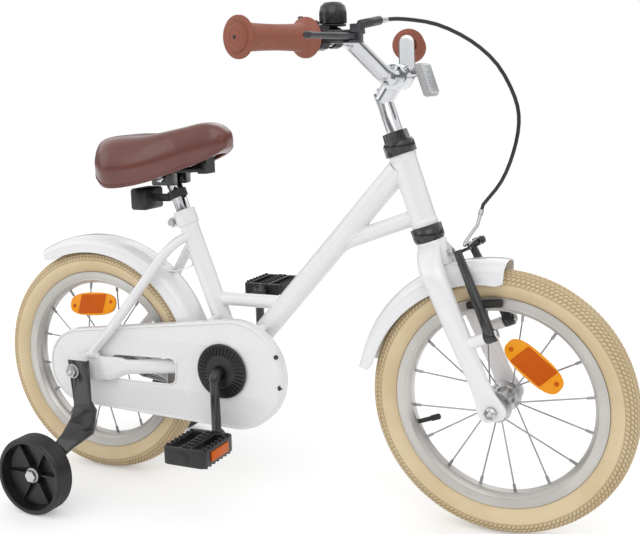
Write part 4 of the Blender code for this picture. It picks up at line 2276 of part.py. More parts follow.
def saddle_base(world_pivot, to_local, pivot):
    """The plastic plate under the cushion with its sockets and steel rails."""
    rings = []
    for x, half_width, top, bottom, under in SADDLE_STATIONS[2:-2]:
        high = under - SADDLE_SEAM
        low = high - SADDLE_BASE_THICKNESS
        half = (half_width - min(0.009, half_width * 0.3)) * SADDLE_BASE_SHARE
        corners = ((-half, low), (half, low), (half, high), (-half, high))
        rings.append([Vector((x, y, z)) for y, z in corners])
    made = part("saddle_base", loft("saddle_base", rings), BLACK_PLASTIC, to_local, pivot)
    rail_z = world_pivot.z + RAIL_HEIGHT
    front, rear = SADDLE_STATIONS[-3][0], SADDLE_STATIONS[3][0]
    sockets = (
        ("front", front - 0.002, SADDLE_STATIONS[-3][4], 0.0150),
        ("rear", rear + 0.006, SADDLE_STATIONS[3][4], 0.0160),
    )
    for label, x, under, half in sockets:
        high = under - SADDLE_SEAM - SADDLE_BASE_THICKNESS / 2.0
        low = rail_z - RAIL_RADIUS - 0.0015
        spread = RAIL_SPREAD + RAIL_RADIUS + 0.002
        if label == "front":
            spread = RAIL_SPREAD * 0.5 + RAIL_RADIUS * 0.6
        data = box(f"socket_{label}", (half, 2 * spread, high - low), (x, 0.0, (high + low) / 2.0))
        join(made, helper(f"socket_{label}", data, to_local, pivot))
    for side in (RIGHT, LEFT):
        path = [
            (rear, side * RAIL_SPREAD, rail_z),
            (world_pivot.x + 0.026, side * RAIL_SPREAD, rail_z),
            (front, side * RAIL_SPREAD * 0.5, rail_z + 0.001),
        ]
        data = curve_mesh("rail", tube("rail", path, RAIL_RADIUS, 2))
        join(made, helper(f"rail_{SIDE_NAMES[side]}", data, to_local, pivot))


def saddle_clamp(pivot):
    """The block that grips the rails and turns on the seat post's pin."""
    height = CLAMP_TOP + CLAMP_BOTTOM
    centre = (0.0, 0.0, (CLAMP_TOP - CLAMP_BOTTOM) / 2.0)
    size = (2 * CLAMP_HALF_LENGTH, 2 * CLAMP_HALF_WIDTH, height)
    made = part("saddle_clamp", box("saddle_clamp", size, centre), BLACK_METAL, parent=pivot)
    edge = made.modifiers.new("edges", "BEVEL")
    edge.width = 0.002
    edge.segments = 1
    slot_half = max(KNUCKLE_HALF_WIDTH, SEAT_POST_RADIUS) + 2 * GAP
    slot_top = KNUCKLE_RADIUS + 2 * GAP
    slot_low = -CLAMP_BOTTOM - 0.01
    slot = box(
        "knuckle_slot",
        (0.06, 2 * slot_half, slot_top - slot_low),
        (0.0, 0.0, (slot_top + slot_low) / 2.0),
    )
    cut(made, helper("knuckle_slot", slot, parent=pivot))
    cut(made, rod("pin_hole", (0, -0.05, 0), (0, 0.05, 0), SADDLE_PIN_RADIUS + RUNNING, 10, pivot))
    for side in (RIGHT, LEFT):
        y = side * RAIL_SPREAD
        groove = rod(
            f"rail_hole_{SIDE_NAMES[side]}", (-0.05, y, RAIL_HEIGHT), (0.05, y, RAIL_HEIGHT),
            RAIL_RADIUS + GAP, 8, pivot,
        )
        cut(made, groove)


def seat_post():
    """The post with its knuckle and pin, the reflector on it and the saddle."""
    axis = marker("seat_post_axis", SEAT_TOP)
    made = part(
        "seat_post",
        cylinder("seat_post", SEAT_POST_RADIUS, -SEAT_POST_DEPTH, POST_TOP, RING_STEPS),
        CHROME,
        parent=axis,
    )
    shave = box("post_shave", (0.06, 0.06, 0.04), (0.0, 0.0, POST_TOP + 0.02))
    cut(made, helper("post_shave", shave, parent=axis))
    for kind, radius, half, sides in (
        ("knuckle", KNUCKLE_RADIUS, KNUCKLE_HALF_WIDTH, 12),
        ("pin", SADDLE_PIN_RADIUS, CLAMP_HALF_WIDTH + 0.003, 10),
    ):
        join(made, rod(f"post_{kind}", (0, -half, POST_TOP), (0, half, POST_TOP), radius, sides, axis, False))
    for side in (RIGHT, LEFT):
        near = side * (CLAMP_HALF_WIDTH + 2 * GAP)
        far = side * (CLAMP_HALF_WIDTH + 0.0048)
        start, end = (0, near, POST_TOP), (0, far, POST_TOP)
        name = f"pin_head_{SIDE_NAMES[side]}"
        join(made, rod(name, start, end, SADDLE_PIN_HEAD, 6, axis, False))
    rear_reflector(axis)
    saddle(axis)


def rear_reflector(axis):
    """The black housing behind the post on its clamp ring."""
    bore = circumscribed(SEAT_POST_RADIUS + GAP, RING_STEPS)
    points = [
        (HOUSING_RING_RADIUS, 0.006),
        (HOUSING_RING_RADIUS, -0.006),
        (bore, -0.006),
        (bore, 0.006),
    ]
    place = Matrix.Translation((0.0, 0.0, HOUSING_RING_PLACE))
    made = turned("rear_reflector", points, RING_STEPS, BLACK_PLASTIC, place, axis)
    to_local = SEAT_TOP.inverted()
    centre = Vector((HOUSING_CENTRE[0], 0.0, HOUSING_CENTRE[1]))
    block = helper("housing", box("housing", HOUSING_SIZE, centre), to_local, axis)
    edge = block.modifiers.new("edges", "BEVEL")
    edge.width = 0.003
    edge.segments = 1
    ring_centre = SEAT_TOP @ Vector((0.0, 0.0, HOUSING_RING_PLACE))
    back = ring_centre - SEAT_FORWARD * (HOUSING_RING_RADIUS - 0.001)
    front = centre + Vector((HOUSING_SIZE[0] / 2.0 - 0.001, 0.0, 0.0))
    low, high = min(back.z, front.z) - 0.004, max(back.z, front.z) + 0.004
    arm = box(
        "housing_arm",
        (back.x - front.x, 0.010, high - low),
        ((back.x + front.x) / 2.0, 0.0, (high + low) / 2.0),
    )
    join(made, block, helper("housing_arm", arm, to_local, axis))


def front_end():
    """Everything that turns with the fork."""
    steering = marker("steering_axis", STEERING)
    fork(steering)
    front_wheel(steering)
    front_fender(steering)
    brake_noodle(steering)
    for side in (RIGHT, LEFT):
        brake_arm(side, steering)
    cockpit = marker("cockpit_axis", Matrix.Identity(4), steering)
    stem(cockpit)
    handlebar(cockpit)
    front_reflector(cockpit)
    for side in (RIGHT, LEFT):
        place, length = bar_frame(side)
        if side == LEFT:
            place = place @ Matrix.Diagonal((1.0, 1.0, -1.0, 1.0))
        carrier = marker(f"bar_end_{SIDE_NAMES[side]}", place, cockpit)
        grip(side, carrier, length)
        if side == RIGHT:
            brake_lever(carrier)
            bell(carrier)
            brake_cable(steering, place)


def main():
    """Builds the bicycle."""
    seat_cut, shell_cut = frame_tubes()
    bottom_bracket()
    headset()
    for side in (RIGHT, LEFT):
        chain_stay(side, shell_cut)
        seat_stay(side, seat_cut)
        stabiliser(side)
    rear_axle()
    rear_wheel()
    rear_fender()
    crank()
    chain()
    chain_guard()
    coaster_brake_arm()
    front_end()
    seat_post()


main()
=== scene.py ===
"""Looks of a kids bicycle with stabilisers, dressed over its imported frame.

Sizes are metres. X points forward, Y to the rider's left and Z up. Each
sub-assembly is a class that holds its sizes and builds its own pieces.
"""

import sys

import json
import logging
import math
from dataclasses import dataclass
from enum import Enum
from functools import cache
from typing import Callable, Iterable, Sequence

import bmesh
import bpy
from mathutils import Matrix, Vector


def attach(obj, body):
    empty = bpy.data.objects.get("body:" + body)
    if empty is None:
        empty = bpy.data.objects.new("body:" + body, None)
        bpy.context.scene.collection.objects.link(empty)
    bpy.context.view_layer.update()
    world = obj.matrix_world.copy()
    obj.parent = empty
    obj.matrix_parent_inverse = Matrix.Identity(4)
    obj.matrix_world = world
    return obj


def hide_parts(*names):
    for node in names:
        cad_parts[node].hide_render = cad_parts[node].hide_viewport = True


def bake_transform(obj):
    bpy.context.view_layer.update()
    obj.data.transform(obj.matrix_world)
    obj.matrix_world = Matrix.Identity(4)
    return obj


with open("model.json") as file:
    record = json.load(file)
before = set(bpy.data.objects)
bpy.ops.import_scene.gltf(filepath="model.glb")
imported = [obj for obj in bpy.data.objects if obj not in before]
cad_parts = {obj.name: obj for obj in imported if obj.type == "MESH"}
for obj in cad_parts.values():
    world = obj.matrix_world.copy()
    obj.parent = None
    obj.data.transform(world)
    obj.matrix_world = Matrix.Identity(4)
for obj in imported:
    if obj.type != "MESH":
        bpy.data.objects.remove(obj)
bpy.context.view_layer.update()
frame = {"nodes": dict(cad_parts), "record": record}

LOG = logging.getLogger("kids_bike")

Pair = tuple[float, float]
Triple = tuple[float, float, float]
Colour = Triple
Mesh = bpy.types.Mesh
Socket = bpy.types.NodeSocket

FLOAT, WHOLE = "NodeSocketFloat", "NodeSocketInt"
COLOUR, VECTOR = "NodeSocketColor", "NodeSocketVector"

WHEEL_RADIUS = 0.174
WHEEL_BASE = 0.632
CRANK_AHEAD = 0.242
CRANK_HEIGHT = 0.189
FORK_OFFSET = 0.0232
HEAD_ANGLE = math.radians(71.8)
SEAT_TUBE_ANGLE = math.radians(69.5)
SEAT_TUBE_LENGTH = 0.237
HEAD_TUBE_BOTTOM = 0.2455
HEAD_TUBE_TOP = 0.3445
BAR_RADIUS = 0.0111
CHAIN_LINE = 0.039
CHAIN_PITCH = 0.0127
GUARD_FACE = 0.047
POST_ROOT = (0.0144, 0.0885)
POST_TILT = math.radians(5.7)
DUST_COLOUR = (0.55, 0.51, 0.45, 1.0)
WHITE = (1.0, 1.0, 1.0, 1.0)


class Side(Enum):
    """The two sides of the bicycle, by their sign along Y."""

    RIGHT = -1
    LEFT = 1

    @property
    def label(self) -> str:
        """The side's name in piece names."""
        return self.name.lower()

    @property
    def outward(self) -> Matrix:
        """A turn that points an axis along Y away from the bicycle."""
        return Matrix.Rotation(0.0 if self is Side.LEFT else math.pi, 4, "X")


class Surface(Enum):
    """What the fine relief of a finish looks like."""

    ORANGE_PEEL = "orange peel"
    BRUSHED = "brushed"
    PEBBLED = "pebbled"
    PRISMS = "prisms"


def axes_at(origin: Sequence[float], x_axis: Sequence[float], z_axis: Sequence[float]) -> Matrix:
    """A placement from its origin and two square axes.

    Args:
        origin: Where the placement's origin lies.
        x_axis: The direction of its X axis.
        z_axis: The direction of its Z axis.

    Returns:
        The placement as a 4 x 4 matrix.
    """
    x_dir, z_dir = Vector(x_axis).normalized(), Vector(z_axis).normalized()
    turn = Matrix((x_dir, z_dir.cross(x_dir), z_dir)).transposed()
    return Matrix.Translation(Vector(origin)) @ turn.to_4x4()


def pointing(origin: Sequence[float], direction: Sequence[float]) -> Matrix:
    """A placement at an origin whose Z axis points in a direction."""
    turn = Vector(direction).to_track_quat("Z", "Y").to_matrix().to_4x4()
    return Matrix.Translation(Vector(origin)) @ turn


def along_y(origin: Sequence[float]) -> Matrix:
    """A placement whose Z axis points along Y."""
    return Matrix.Translation(Vector(origin)) @ Matrix.Rotation(-math.pi / 2, 4, "X")


FRONT_AXLE = Vector((WHEEL_BASE / 2, 0.0, WHEEL_RADIUS))
REAR_AXLE = Vector((-WHEEL_BASE / 2, 0.0, WHEEL_RADIUS))
CRANK_AXIS = Vector((REAR_AXLE.x + CRANK_AHEAD, 0.0, CRANK_HEIGHT))
STEER_UP = Vector((-math.cos(HEAD_ANGLE), 0.0, math.sin(HEAD_ANGLE)))
STEER_FORWARD = Vector((math.sin(HEAD_ANGLE), 0.0, math.cos(HEAD_ANGLE)))
STEERING = axes_at(FRONT_AXLE - STEER_FORWARD * FORK_OFFSET, STEER_FORWARD, STEER_UP)
SEAT_UP = Vector((-math.cos(SEAT_TUBE_ANGLE), 0.0, math.sin(SEAT_TUBE_ANGLE)))
SEAT_FORWARD = Vector((math.sin(SEAT_TUBE_ANGLE), 0.0, math.cos(SEAT_TUBE_ANGLE)))
SEAT_TOP = axes_at(CRANK_AXIS + SEAT_UP * SEAT_TUBE_LENGTH, SEAT_FORWARD, SEAT_UP)
DOWN_TUBE_HEAD = STEERING @ Vector((0.0, 0.0, HEAD_TUBE_TOP - 0.0121))


def softened(points: Sequence[Pair], reach: float, closed: bool = True, steps: int = 3) -> list[Pair]:
    """A flat outline whose corners are rounded.

    Args:
        points: The outline's corners.
        reach: How far from a corner its rounding starts.
        closed: Whether the last corner joins the first.
        steps: How many sides a rounding has.

    Returns:
        The rounded outline.
    """
    result: list[Pair] = []
    last = len(points) - 1
    for index, point in enumerate(points):
        if not closed and index in (0, last):
            result.append(tuple(point))
            continue
        corner = Vector(point)
        back = Vector(points[index - 1]) - corner
        ahead = Vector(points[(index + 1) % (last + 1)]) - corner
        used = min(reach, back.length * 0.45, ahead.length * 0.45)
        start = corner + back.normalized() * used
        end = corner + ahead.normalized() * used
        for step in range(steps + 1):
            share = step / steps
            place = start * (1 - share) ** 2 + corner * (2 * share * (1 - share)) + end * share**2
            result.append((place.x, place.y))
    return result


def mirrored(points: Sequence[Pair]) -> list[Pair]:
    """A turned profile's upper half followed by its mirror image below."""
    return list(points) + [(radius, -height) for radius, height in reversed(points)]


def spline_rows(rows: Sequence[Sequence[float]], per_span: int) -> list[tuple[float, ...]]:
    """Rows of numbers with smooth rows read in between.

    Args:
        rows: The given rows, all as long.
        per_span: How many rows each span between two given rows gets.

    Returns:
        The rows in order, the given ones among them.
    """
    padded = [rows[0], *rows, rows[-1]]
    result: list[tuple[float, ...]] = []
    for a, b, c, d in zip(padded, padded[1:], padded[2:], padded[3:]):
        for index in range(per_span):
            t = index / per_span
            result.append(tuple(
                0.5 * (2 * q + (r - p) * t + (2 * p - 5 * q + 4 * r - s) * t**2
                       + (3 * q - p - 3 * r + s) * t**3)
                for p, q, r, s in zip(a, b, c, d)
            ))
    result.append(tuple(rows[-1]))
    return result


def smooth_path(points: Iterable[Sequence[float]], per_span: int = 8) -> list[Vector]:
    """A smooth path through points.

    Args:
        points: What the path goes through.
        per_span: How many steps lie between two points.

    Returns:
        The path's points.
    """
    rows = [tuple(point) for point in points]
    first = tuple(2 * a - b for a, b in zip(rows[0], rows[1]))
    last = tuple(2 * a - b for a, b in zip(rows[-1], rows[-2]))
    dense = spline_rows([first, *rows, last], per_span)
    return [Vector(row) for row in dense[per_span : len(dense) - per_span]]


def swung(start: Vector, end: Vector, share: float) -> Vector:
    """A vector swung part of the way towards another of the same length.

    Args:
        start: The vector at a share of nought.
        end: The vector at a share of one.
        share: How far it is swung.

    Returns:
        The swung vector.
    """
    angle = start.angle(end)
    near, far = math.sin((1.0 - share) * angle), math.sin(share * angle)
    return (start * near + end * far) / math.sin(angle)


def rounded(points: Iterable[Sequence[float]], radius: float, steps: int = 10) -> list[Vector]:
    """A path with its inner corners replaced by arcs.

    Args:
        points: The path's corners.
        radius: The arcs' radius.
        steps: How many straight pieces an arc has.

    Returns:
        The path's points.
    """
    path = [Vector(point) for point in points]
    result = [path[0]]
    for before, corner, after in zip(path, path[1:], path[2:]):
        back, ahead = (before - corner).normalized(), (after - corner).normalized()
        half = back.angle(ahead) / 2.0
        centre = corner + (back + ahead).normalized() * (radius / math.sin(half))
        start = corner + back * (radius / math.tan(half)) - centre
        end = corner + ahead * (radius / math.tan(half)) - centre
        result += [centre + swung(start, end, index / steps) for index in range(steps + 1)]
    result.append(path[-1])
    return result


def circle(radius: float, count: int, centre: Pair = (0.0, 0.0)) -> list[Pair]:
    """Points round a circle."""
    steps = [math.tau * index / count for index in range(count)]
    return [(centre[0] + radius * math.cos(s), centre[1] + radius * math.sin(s)) for s in steps]


def arc(centre: Sequence[float], radius: float, start: float, end: float, count: int) -> list[Pair]:
    """Points along an arc, both ends included."""
    steps = [start + (end - start) * index / (count - 1) for index in range(count)]
    return [(centre[0] + radius * math.cos(s), centre[1] + radius * math.sin(s)) for s in steps]


def belt(first: Pair, first_radius: float, second: Pair, second_radius: float, count: int) -> list[Pair]:
    """The outline of a belt round two circles.

    Args:
        first: The first circle's centre.
        first_radius: The first circle's radius.
        second: The second circle's centre.
        second_radius: The second circle's radius.
        count: How many points each circle's arc has.

    Returns:
        The outline, anticlockwise.
    """
    apart = Vector(second) - Vector(first)
    heading = math.atan2(apart.y, apart.x)
    spread = math.acos((first_radius - second_radius) / apart.length)
    near = arc(first, first_radius, heading + spread, heading + math.tau - spread, count)
    return near + arc(second, second_radius, heading - spread, heading + spread, count)


def oval(
    centre: Sequence[float],
    across: Sequence[float],
    up: Sequence[float],
    half: Pair,
    power: float = 2.0,
    count: int = 28,
) -> list[Vector]:
    """A ring of points round a superellipse.

    Args:
        centre: The ring's centre.
        across: Its first direction.
        up: Its second direction.
        half: Half its size along the two directions.
        power: How square it is, from 2 for an ellipse.
        count: How many points it has.

    Returns:
        The ring's points.
    """
    ring = []
    for index in range(count):
        step = math.tau * (index + 0.5) / count
        x, y = math.cos(step), math.sin(step)
        x = math.copysign(abs(x) ** (2.0 / power), x) * half[0]
        y = math.copysign(abs(y) ** (2.0 / power), y) * half[1]
        ring.append(Vector(centre) + Vector(across) * x + Vector(up) * y)
    return ring
def linked(name: str, data: bpy.types.ID) -> bpy.types.Object:
    """A new object in the scene.

    Args:
        name: The object's name.
        data: Its mesh, curve, lamp or camera.

    Returns:
        The object.
    """
    made = bpy.data.objects.new(name, data)
    bpy.context.scene.collection.objects.link(made)
    return made
class Form:
    """A mesh put together from closed shells, all facing outwards."""

    def __init__(self) -> None:
        """Starts with no shell."""
        self.mesh = bmesh.new()

    def _closed(self, verts: list, faces: list, place: Matrix | None) -> None:
        """Turns a new shell outwards and puts it in its place.

        Args:
            verts: The shell's vertices.
            faces: The shell's faces.
            place: Where the shell goes.
        """
        bmesh.ops.recalc_face_normals(self.mesh, faces=faces)
        if place is not None:
            bmesh.ops.transform(self.mesh, matrix=place, verts=verts)

    def loft(
        self, rings: Sequence[Sequence[Vector]], place: Matrix | None = None, ends: bool = True
    ) -> "Form":
        """Adds a shell through rings of as many points each.

        Args:
            rings: The rings in order.
            place: Where the shell goes.
            ends: Whether the first and last ring are capped; if not, they are joined.

        Returns:
            This form.
        """
        rows = [[self.mesh.verts.new(point) for point in ring] for ring in rings]
        count = len(rows[0])
        faces = []
        pairs = list(zip(rows, rows[1:]))
        if not ends:
            pairs.append((rows[-1], rows[0]))
        for first, second in pairs:
            for index in range(count):
                after = (index + 1) % count
                corners = (first[index], first[after], second[after], second[index])
                faces.append(self.mesh.faces.new(corners))
        if ends:
            faces += [self.mesh.faces.new(rows[0]), self.mesh.faces.new(rows[-1])]
        self._closed([vert for row in rows for vert in row], faces, place)
        return self

    def lathe(
        self, points: Sequence[Pair], steps: int = 48, place: Matrix | None = None, ring: bool = True
    ) -> "Form":
        """Adds a turned shell.

        Args:
            points: Its profile as (radius, height).
            steps: How many sides it has.
            place: Where its axis, the Z axis, goes.
            ring: Whether the profile closes on itself; if not, it starts and ends on the axis.

        Returns:
            This form.
        """
        verts, faces = [], []
        inner = points if ring else points[1:-1]
        rows = []
        for index in range(steps):
            angle = math.tau * index / steps
            row = [self.mesh.verts.new((r * math.cos(angle), r * math.sin(angle), h)) for r, h in inner]
            rows.append(row)
            verts += row
        poles = [] if ring else [self.mesh.verts.new((0.0, 0.0, points[i][1])) for i in (0, -1)]
        verts += poles
        span = len(inner) if ring else len(inner) - 1
        for first, second in zip(rows, rows[1:] + rows[:1]):
            for index in range(span):
                after = (index + 1) % len(inner)
                corners = (first[index], first[after], second[after], second[index])
                faces.append(self.mesh.faces.new(corners))
            if poles:
                faces.append(self.mesh.faces.new((poles[0], first[0], second[0])))
                faces.append(self.mesh.faces.new((poles[1], second[-1], first[-1])))
        self._closed(verts, faces, place)
        return self

    def sweep(
        self,
        path: Sequence[Vector],
        radius: float,
        sides: int = 24,
        place: Matrix | None = None,
        radii: Sequence[float] | None = None,
        loop: bool = False,
    ) -> "Form":
        """Adds a round bar along a path.

        Args:
            path: The points it follows.
            radius: Its radius.
            sides: How many sides it has.
            place: Where it goes.
            radii: A factor on the radius for each point.
            loop: Whether the path closes on itself.
        Returns:
            This form.
        """
        points = [Vector(point) for point in path]
        count = len(points)
        rings = []
        normal = Vector()
        for index, point in enumerate(points):
            before = points[index - 1] if loop or index else point
            after = points[(index + 1) % count] if loop or index < count - 1 else point
            heading = (after - before).normalized()
            if not index:
                helper = Vector((0, 1, 0)) if abs(heading.y) < 0.9 else Vector((0, 0, 1))
                normal = heading.cross(helper)
            normal = (normal - heading * normal.dot(heading)).normalized()
            other = heading.cross(normal)
            reach = radius * (1.0 if radii is None else radii[index])
            ring = []
            for step in range(sides):
                angle = math.tau * step / sides
                ring.append(point + (normal * math.cos(angle) + other * math.sin(angle)) * reach)
            rings.append(ring)
        return self.loft(rings, place, not loop)

    def rod(self, start: Sequence[float], end: Sequence[float], radius: float, sides: int = 24,
            place: Matrix | None = None, edge: float = 0.0005) -> "Form":
        """Adds a straight bar with softened ends.

        Args:
            start: The centre of one end.
            end: The centre of the other end.
            radius: Its radius, to the corners where it has few sides.
            sides: How many sides it has.
            place: Where it goes.
            edge: How far its end edges are rounded.

        Returns:
            This form.
        """
        low, high = Vector(start), Vector(end)
        length = (high - low).length
        cut = min(edge, radius * 0.4, length * 0.4)
        points = [(0.0, 0.0), (radius - cut, 0.0), (radius - cut * 0.3, cut * 0.3), (radius, cut)]
        points += [(r, length - h) for r, h in reversed(points)]
        spot = pointing(low, high - low)
        return self.lathe(points, sides, spot if place is None else place @ spot, False)

    def box(self, size: Sequence[float], centre: Sequence[float], edge: float = 0.0006,
            place: Matrix | None = None) -> "Form":
        """Adds a block with rounded edges.

        Args:
            size: Its three sizes.
            centre: Its centre.
            edge: How far its edges are rounded.
            place: Where it goes.
        Returns:
            This form.
        """
        made = bmesh.new()
        bmesh.ops.create_cube(made, size=1.0, matrix=Matrix.Diagonal((*size, 1.0)))
        reach = min(edge, min(size) * 0.4)
        bmesh.ops.bevel(made, geom=made.edges[:], offset=reach, segments=3, profile=0.5, affect="EDGES")
        spot = Matrix.Translation(Vector(centre))
        made.transform(spot if place is None else place @ spot)
        return self._take(made)

    def plate(self, outlines: Sequence[Sequence[Pair]], thickness: float, edge: float = 0.0006,
              place: Matrix | None = None) -> "Form":
        """Adds a flat plate with holes and rounded edges.

        Args:
            outlines: Its outline and its holes.
            thickness: How thick it is along Z, about its middle.
            edge: How far its edges are rounded.
            place: Where it goes.

        Returns:
            This form.
        """
        curve = bpy.data.curves.new("plate", "CURVE")
        curve.dimensions, curve.fill_mode = "2D", "BOTH"
        curve.extrude = thickness / 2.0 - edge
        curve.bevel_depth, curve.bevel_resolution, curve.offset = edge, 2, -edge
        for outline in outlines:
            spline = curve.splines.new("POLY")
            spline.points.add(len(outline) - 1)
            for point, (x, y) in zip(spline.points, outline):
                point.co = (x, y, 0.0, 1.0)
            spline.use_cyclic_u = True
        source = linked("plate", curve)
        bpy.context.view_layer.update()
        data = bpy.data.meshes.new_from_object(source.evaluated_get(bpy.context.evaluated_depsgraph_get()))
        made = bmesh.new()
        made.from_mesh(data)
        bpy.data.objects.remove(source)
        bpy.data.curves.remove(curve)
        bpy.data.meshes.remove(data)
        bmesh.ops.remove_doubles(made, verts=made.verts, dist=0.00001)
        if place is not None:
            made.transform(place)
        return self._take(made)

    def _take(self, made: bmesh.types.BMesh) -> "Form":
        """Adds another bmesh with its faces turned outwards, and frees it.

        Args:
            made: The other bmesh.

        Returns:
            This form.
        """
        bmesh.ops.recalc_face_normals(made, faces=made.faces)
        data = bpy.data.meshes.new("shell")
        made.to_mesh(data)
        made.free()
        self.mesh.from_mesh(data)
        bpy.data.meshes.remove(data)
        return self

    def data(self, name: str, sharp: float = 40.0) -> Mesh:
        """The form as a smooth-shaded mesh.

        Args:
            name: The mesh's name.
            sharp: The angle in degrees past which an edge stays sharp.

        Returns:
            The mesh.
        """
        made = bpy.data.meshes.new(name)
        self.mesh.to_mesh(made)
        self.mesh.free()
        made.shade_smooth()
        made.set_sharp_from_angle(angle=math.radians(sharp))
        return made


class Wiring:
    """A hand for adding and joining nodes in one tree."""

    def __init__(self, tree: bpy.types.NodeTree) -> None:
        """Keeps the tree."""
        self.tree = tree

    @classmethod
    def group(
        cls, name: str, kind: str, inputs: dict[str, str], outputs: dict[str, str]
    ) -> tuple["Wiring", dict[str, Socket], bpy.types.Node]:
        """A new node group with its named sockets.

        Args:
            name: The group's name.
            kind: The type of its tree.
            inputs: Each input's socket type by name.
            outputs: Each output's socket type by name.

        Returns:
            Its wiring, its input sockets by name and its output node.
        """
        tree = bpy.data.node_groups.new(name, kind)
        for way, kinds in (("INPUT", inputs), ("OUTPUT", outputs)):
            for label, socket in kinds.items():
                tree.interface.new_socket(label, in_out=way, socket_type=socket)
        wiring = cls(tree)
        source, target = wiring.add("NodeGroupInput"), wiring.add("NodeGroupOutput")
        return wiring, {label: source.outputs[label] for label in inputs}, target

    def add(self, kind: str, *, inputs: dict | None = None, **settings: object) -> bpy.types.Node:
        """Adds a node.

        Args:
            kind: Its type.
            inputs: What each of its inputs is joined to or set to, by name or number.
            **settings: Its own settings.

        Returns:
            The node.
        """
        node = self.tree.nodes.new(kind)
        for key, value in settings.items():
            setattr(node, key, value)
        for key, value in (inputs or {}).items():
            self.feed(node, key, value)
        return node

    def feed(self, node: bpy.types.Node, key: str | int, value: object) -> None:
        """Joins an output to an input, or sets the input's value.

        Args:
            node: The node whose input it is.
            key: The input's name or number.
            value: The output or the value.
        """
        socket = node.inputs[key]
        if isinstance(value, Socket):
            self.tree.links.new(value, socket)
        else:
            socket.default_value = value

    def math(self, operation: str, first: object, second: object = 0.0, third: object = 0.0) -> Socket:
        """The result of a Math node on up to three values."""
        inputs = {0: first, 1: second, 2: third}
        return self.add("ShaderNodeMath", operation=operation, inputs=inputs).outputs[0]

    def times(self, first: object, second: object) -> Socket:
        """The product of two values."""
        return self.math("MULTIPLY", first, second)

    def vector(self, operation: str, first: object, key: str | int, second: object) -> Socket:
        """The result of a Vector Math node on a vector and a second input."""
        inputs = {0: first, key: second}
        return self.add("ShaderNodeVectorMath", operation=operation, inputs=inputs).outputs[0]

    def combine(self, x: object, y: object, z: object) -> Socket:
        """A vector from three values."""
        return self.add("ShaderNodeCombineXYZ", inputs={0: x, 1: y, 2: z}).outputs[0]

    def polar(self, radius: object, angle: object, height: object) -> Socket:
        """A point from its radius, its angle about Z and its height."""
        x, y = (self.times(radius, self.math(way, angle)) for way in ("COSINE", "SINE"))
        return self.combine(x, y, height)

    def ramped(self, value: object, low: float, high: float, start: object, end: object) -> Socket:
        """A value read smoothly from one range into another."""
        inputs = {"Value": value, "From Min": low, "From Max": high, "To Min": start, "To Max": end}
        return self.add("ShaderNodeMapRange", interpolation_type="SMOOTHSTEP", inputs=inputs).outputs[0]

    def mixed(self, factor: object, first: object, second: object) -> Socket:
        """Two colours mixed by a factor."""
        return self.add("ShaderNodeMix", data_type="RGBA", inputs={0: factor, 6: first, 7: second}).outputs[2]

    def spot(self) -> Socket:
        """The point on the piece, in Object coordinates."""
        return self.add("ShaderNodeTexCoord").outputs["Object"]

    def noise(self, where: Socket, scale: object, detail: float) -> Socket:
        """The value of a noise at a point."""
        inputs = {"Vector": where, "Scale": scale, "Detail": detail}
        return self.add("ShaderNodeTexNoise", inputs=inputs).outputs[0]

    def cylinder(self, radius: object, depth: float, sides: int = 8) -> Socket:
        """An upright bar about the origin."""
        inputs = {"Vertices": sides, "Radius": radius, "Depth": depth}
        return self.add("GeometryNodeMeshCylinder", inputs=inputs).outputs["Mesh"]

    def moved(self, shape: Socket, where: object, turn: object = (0.0, 0.0, 0.0)) -> Socket:
        """A shape turned and moved."""
        inputs = {"Geometry": shape, "Translation": where, "Rotation": turn}
        return self.add("GeometryNodeTransform", inputs=inputs).outputs[0]


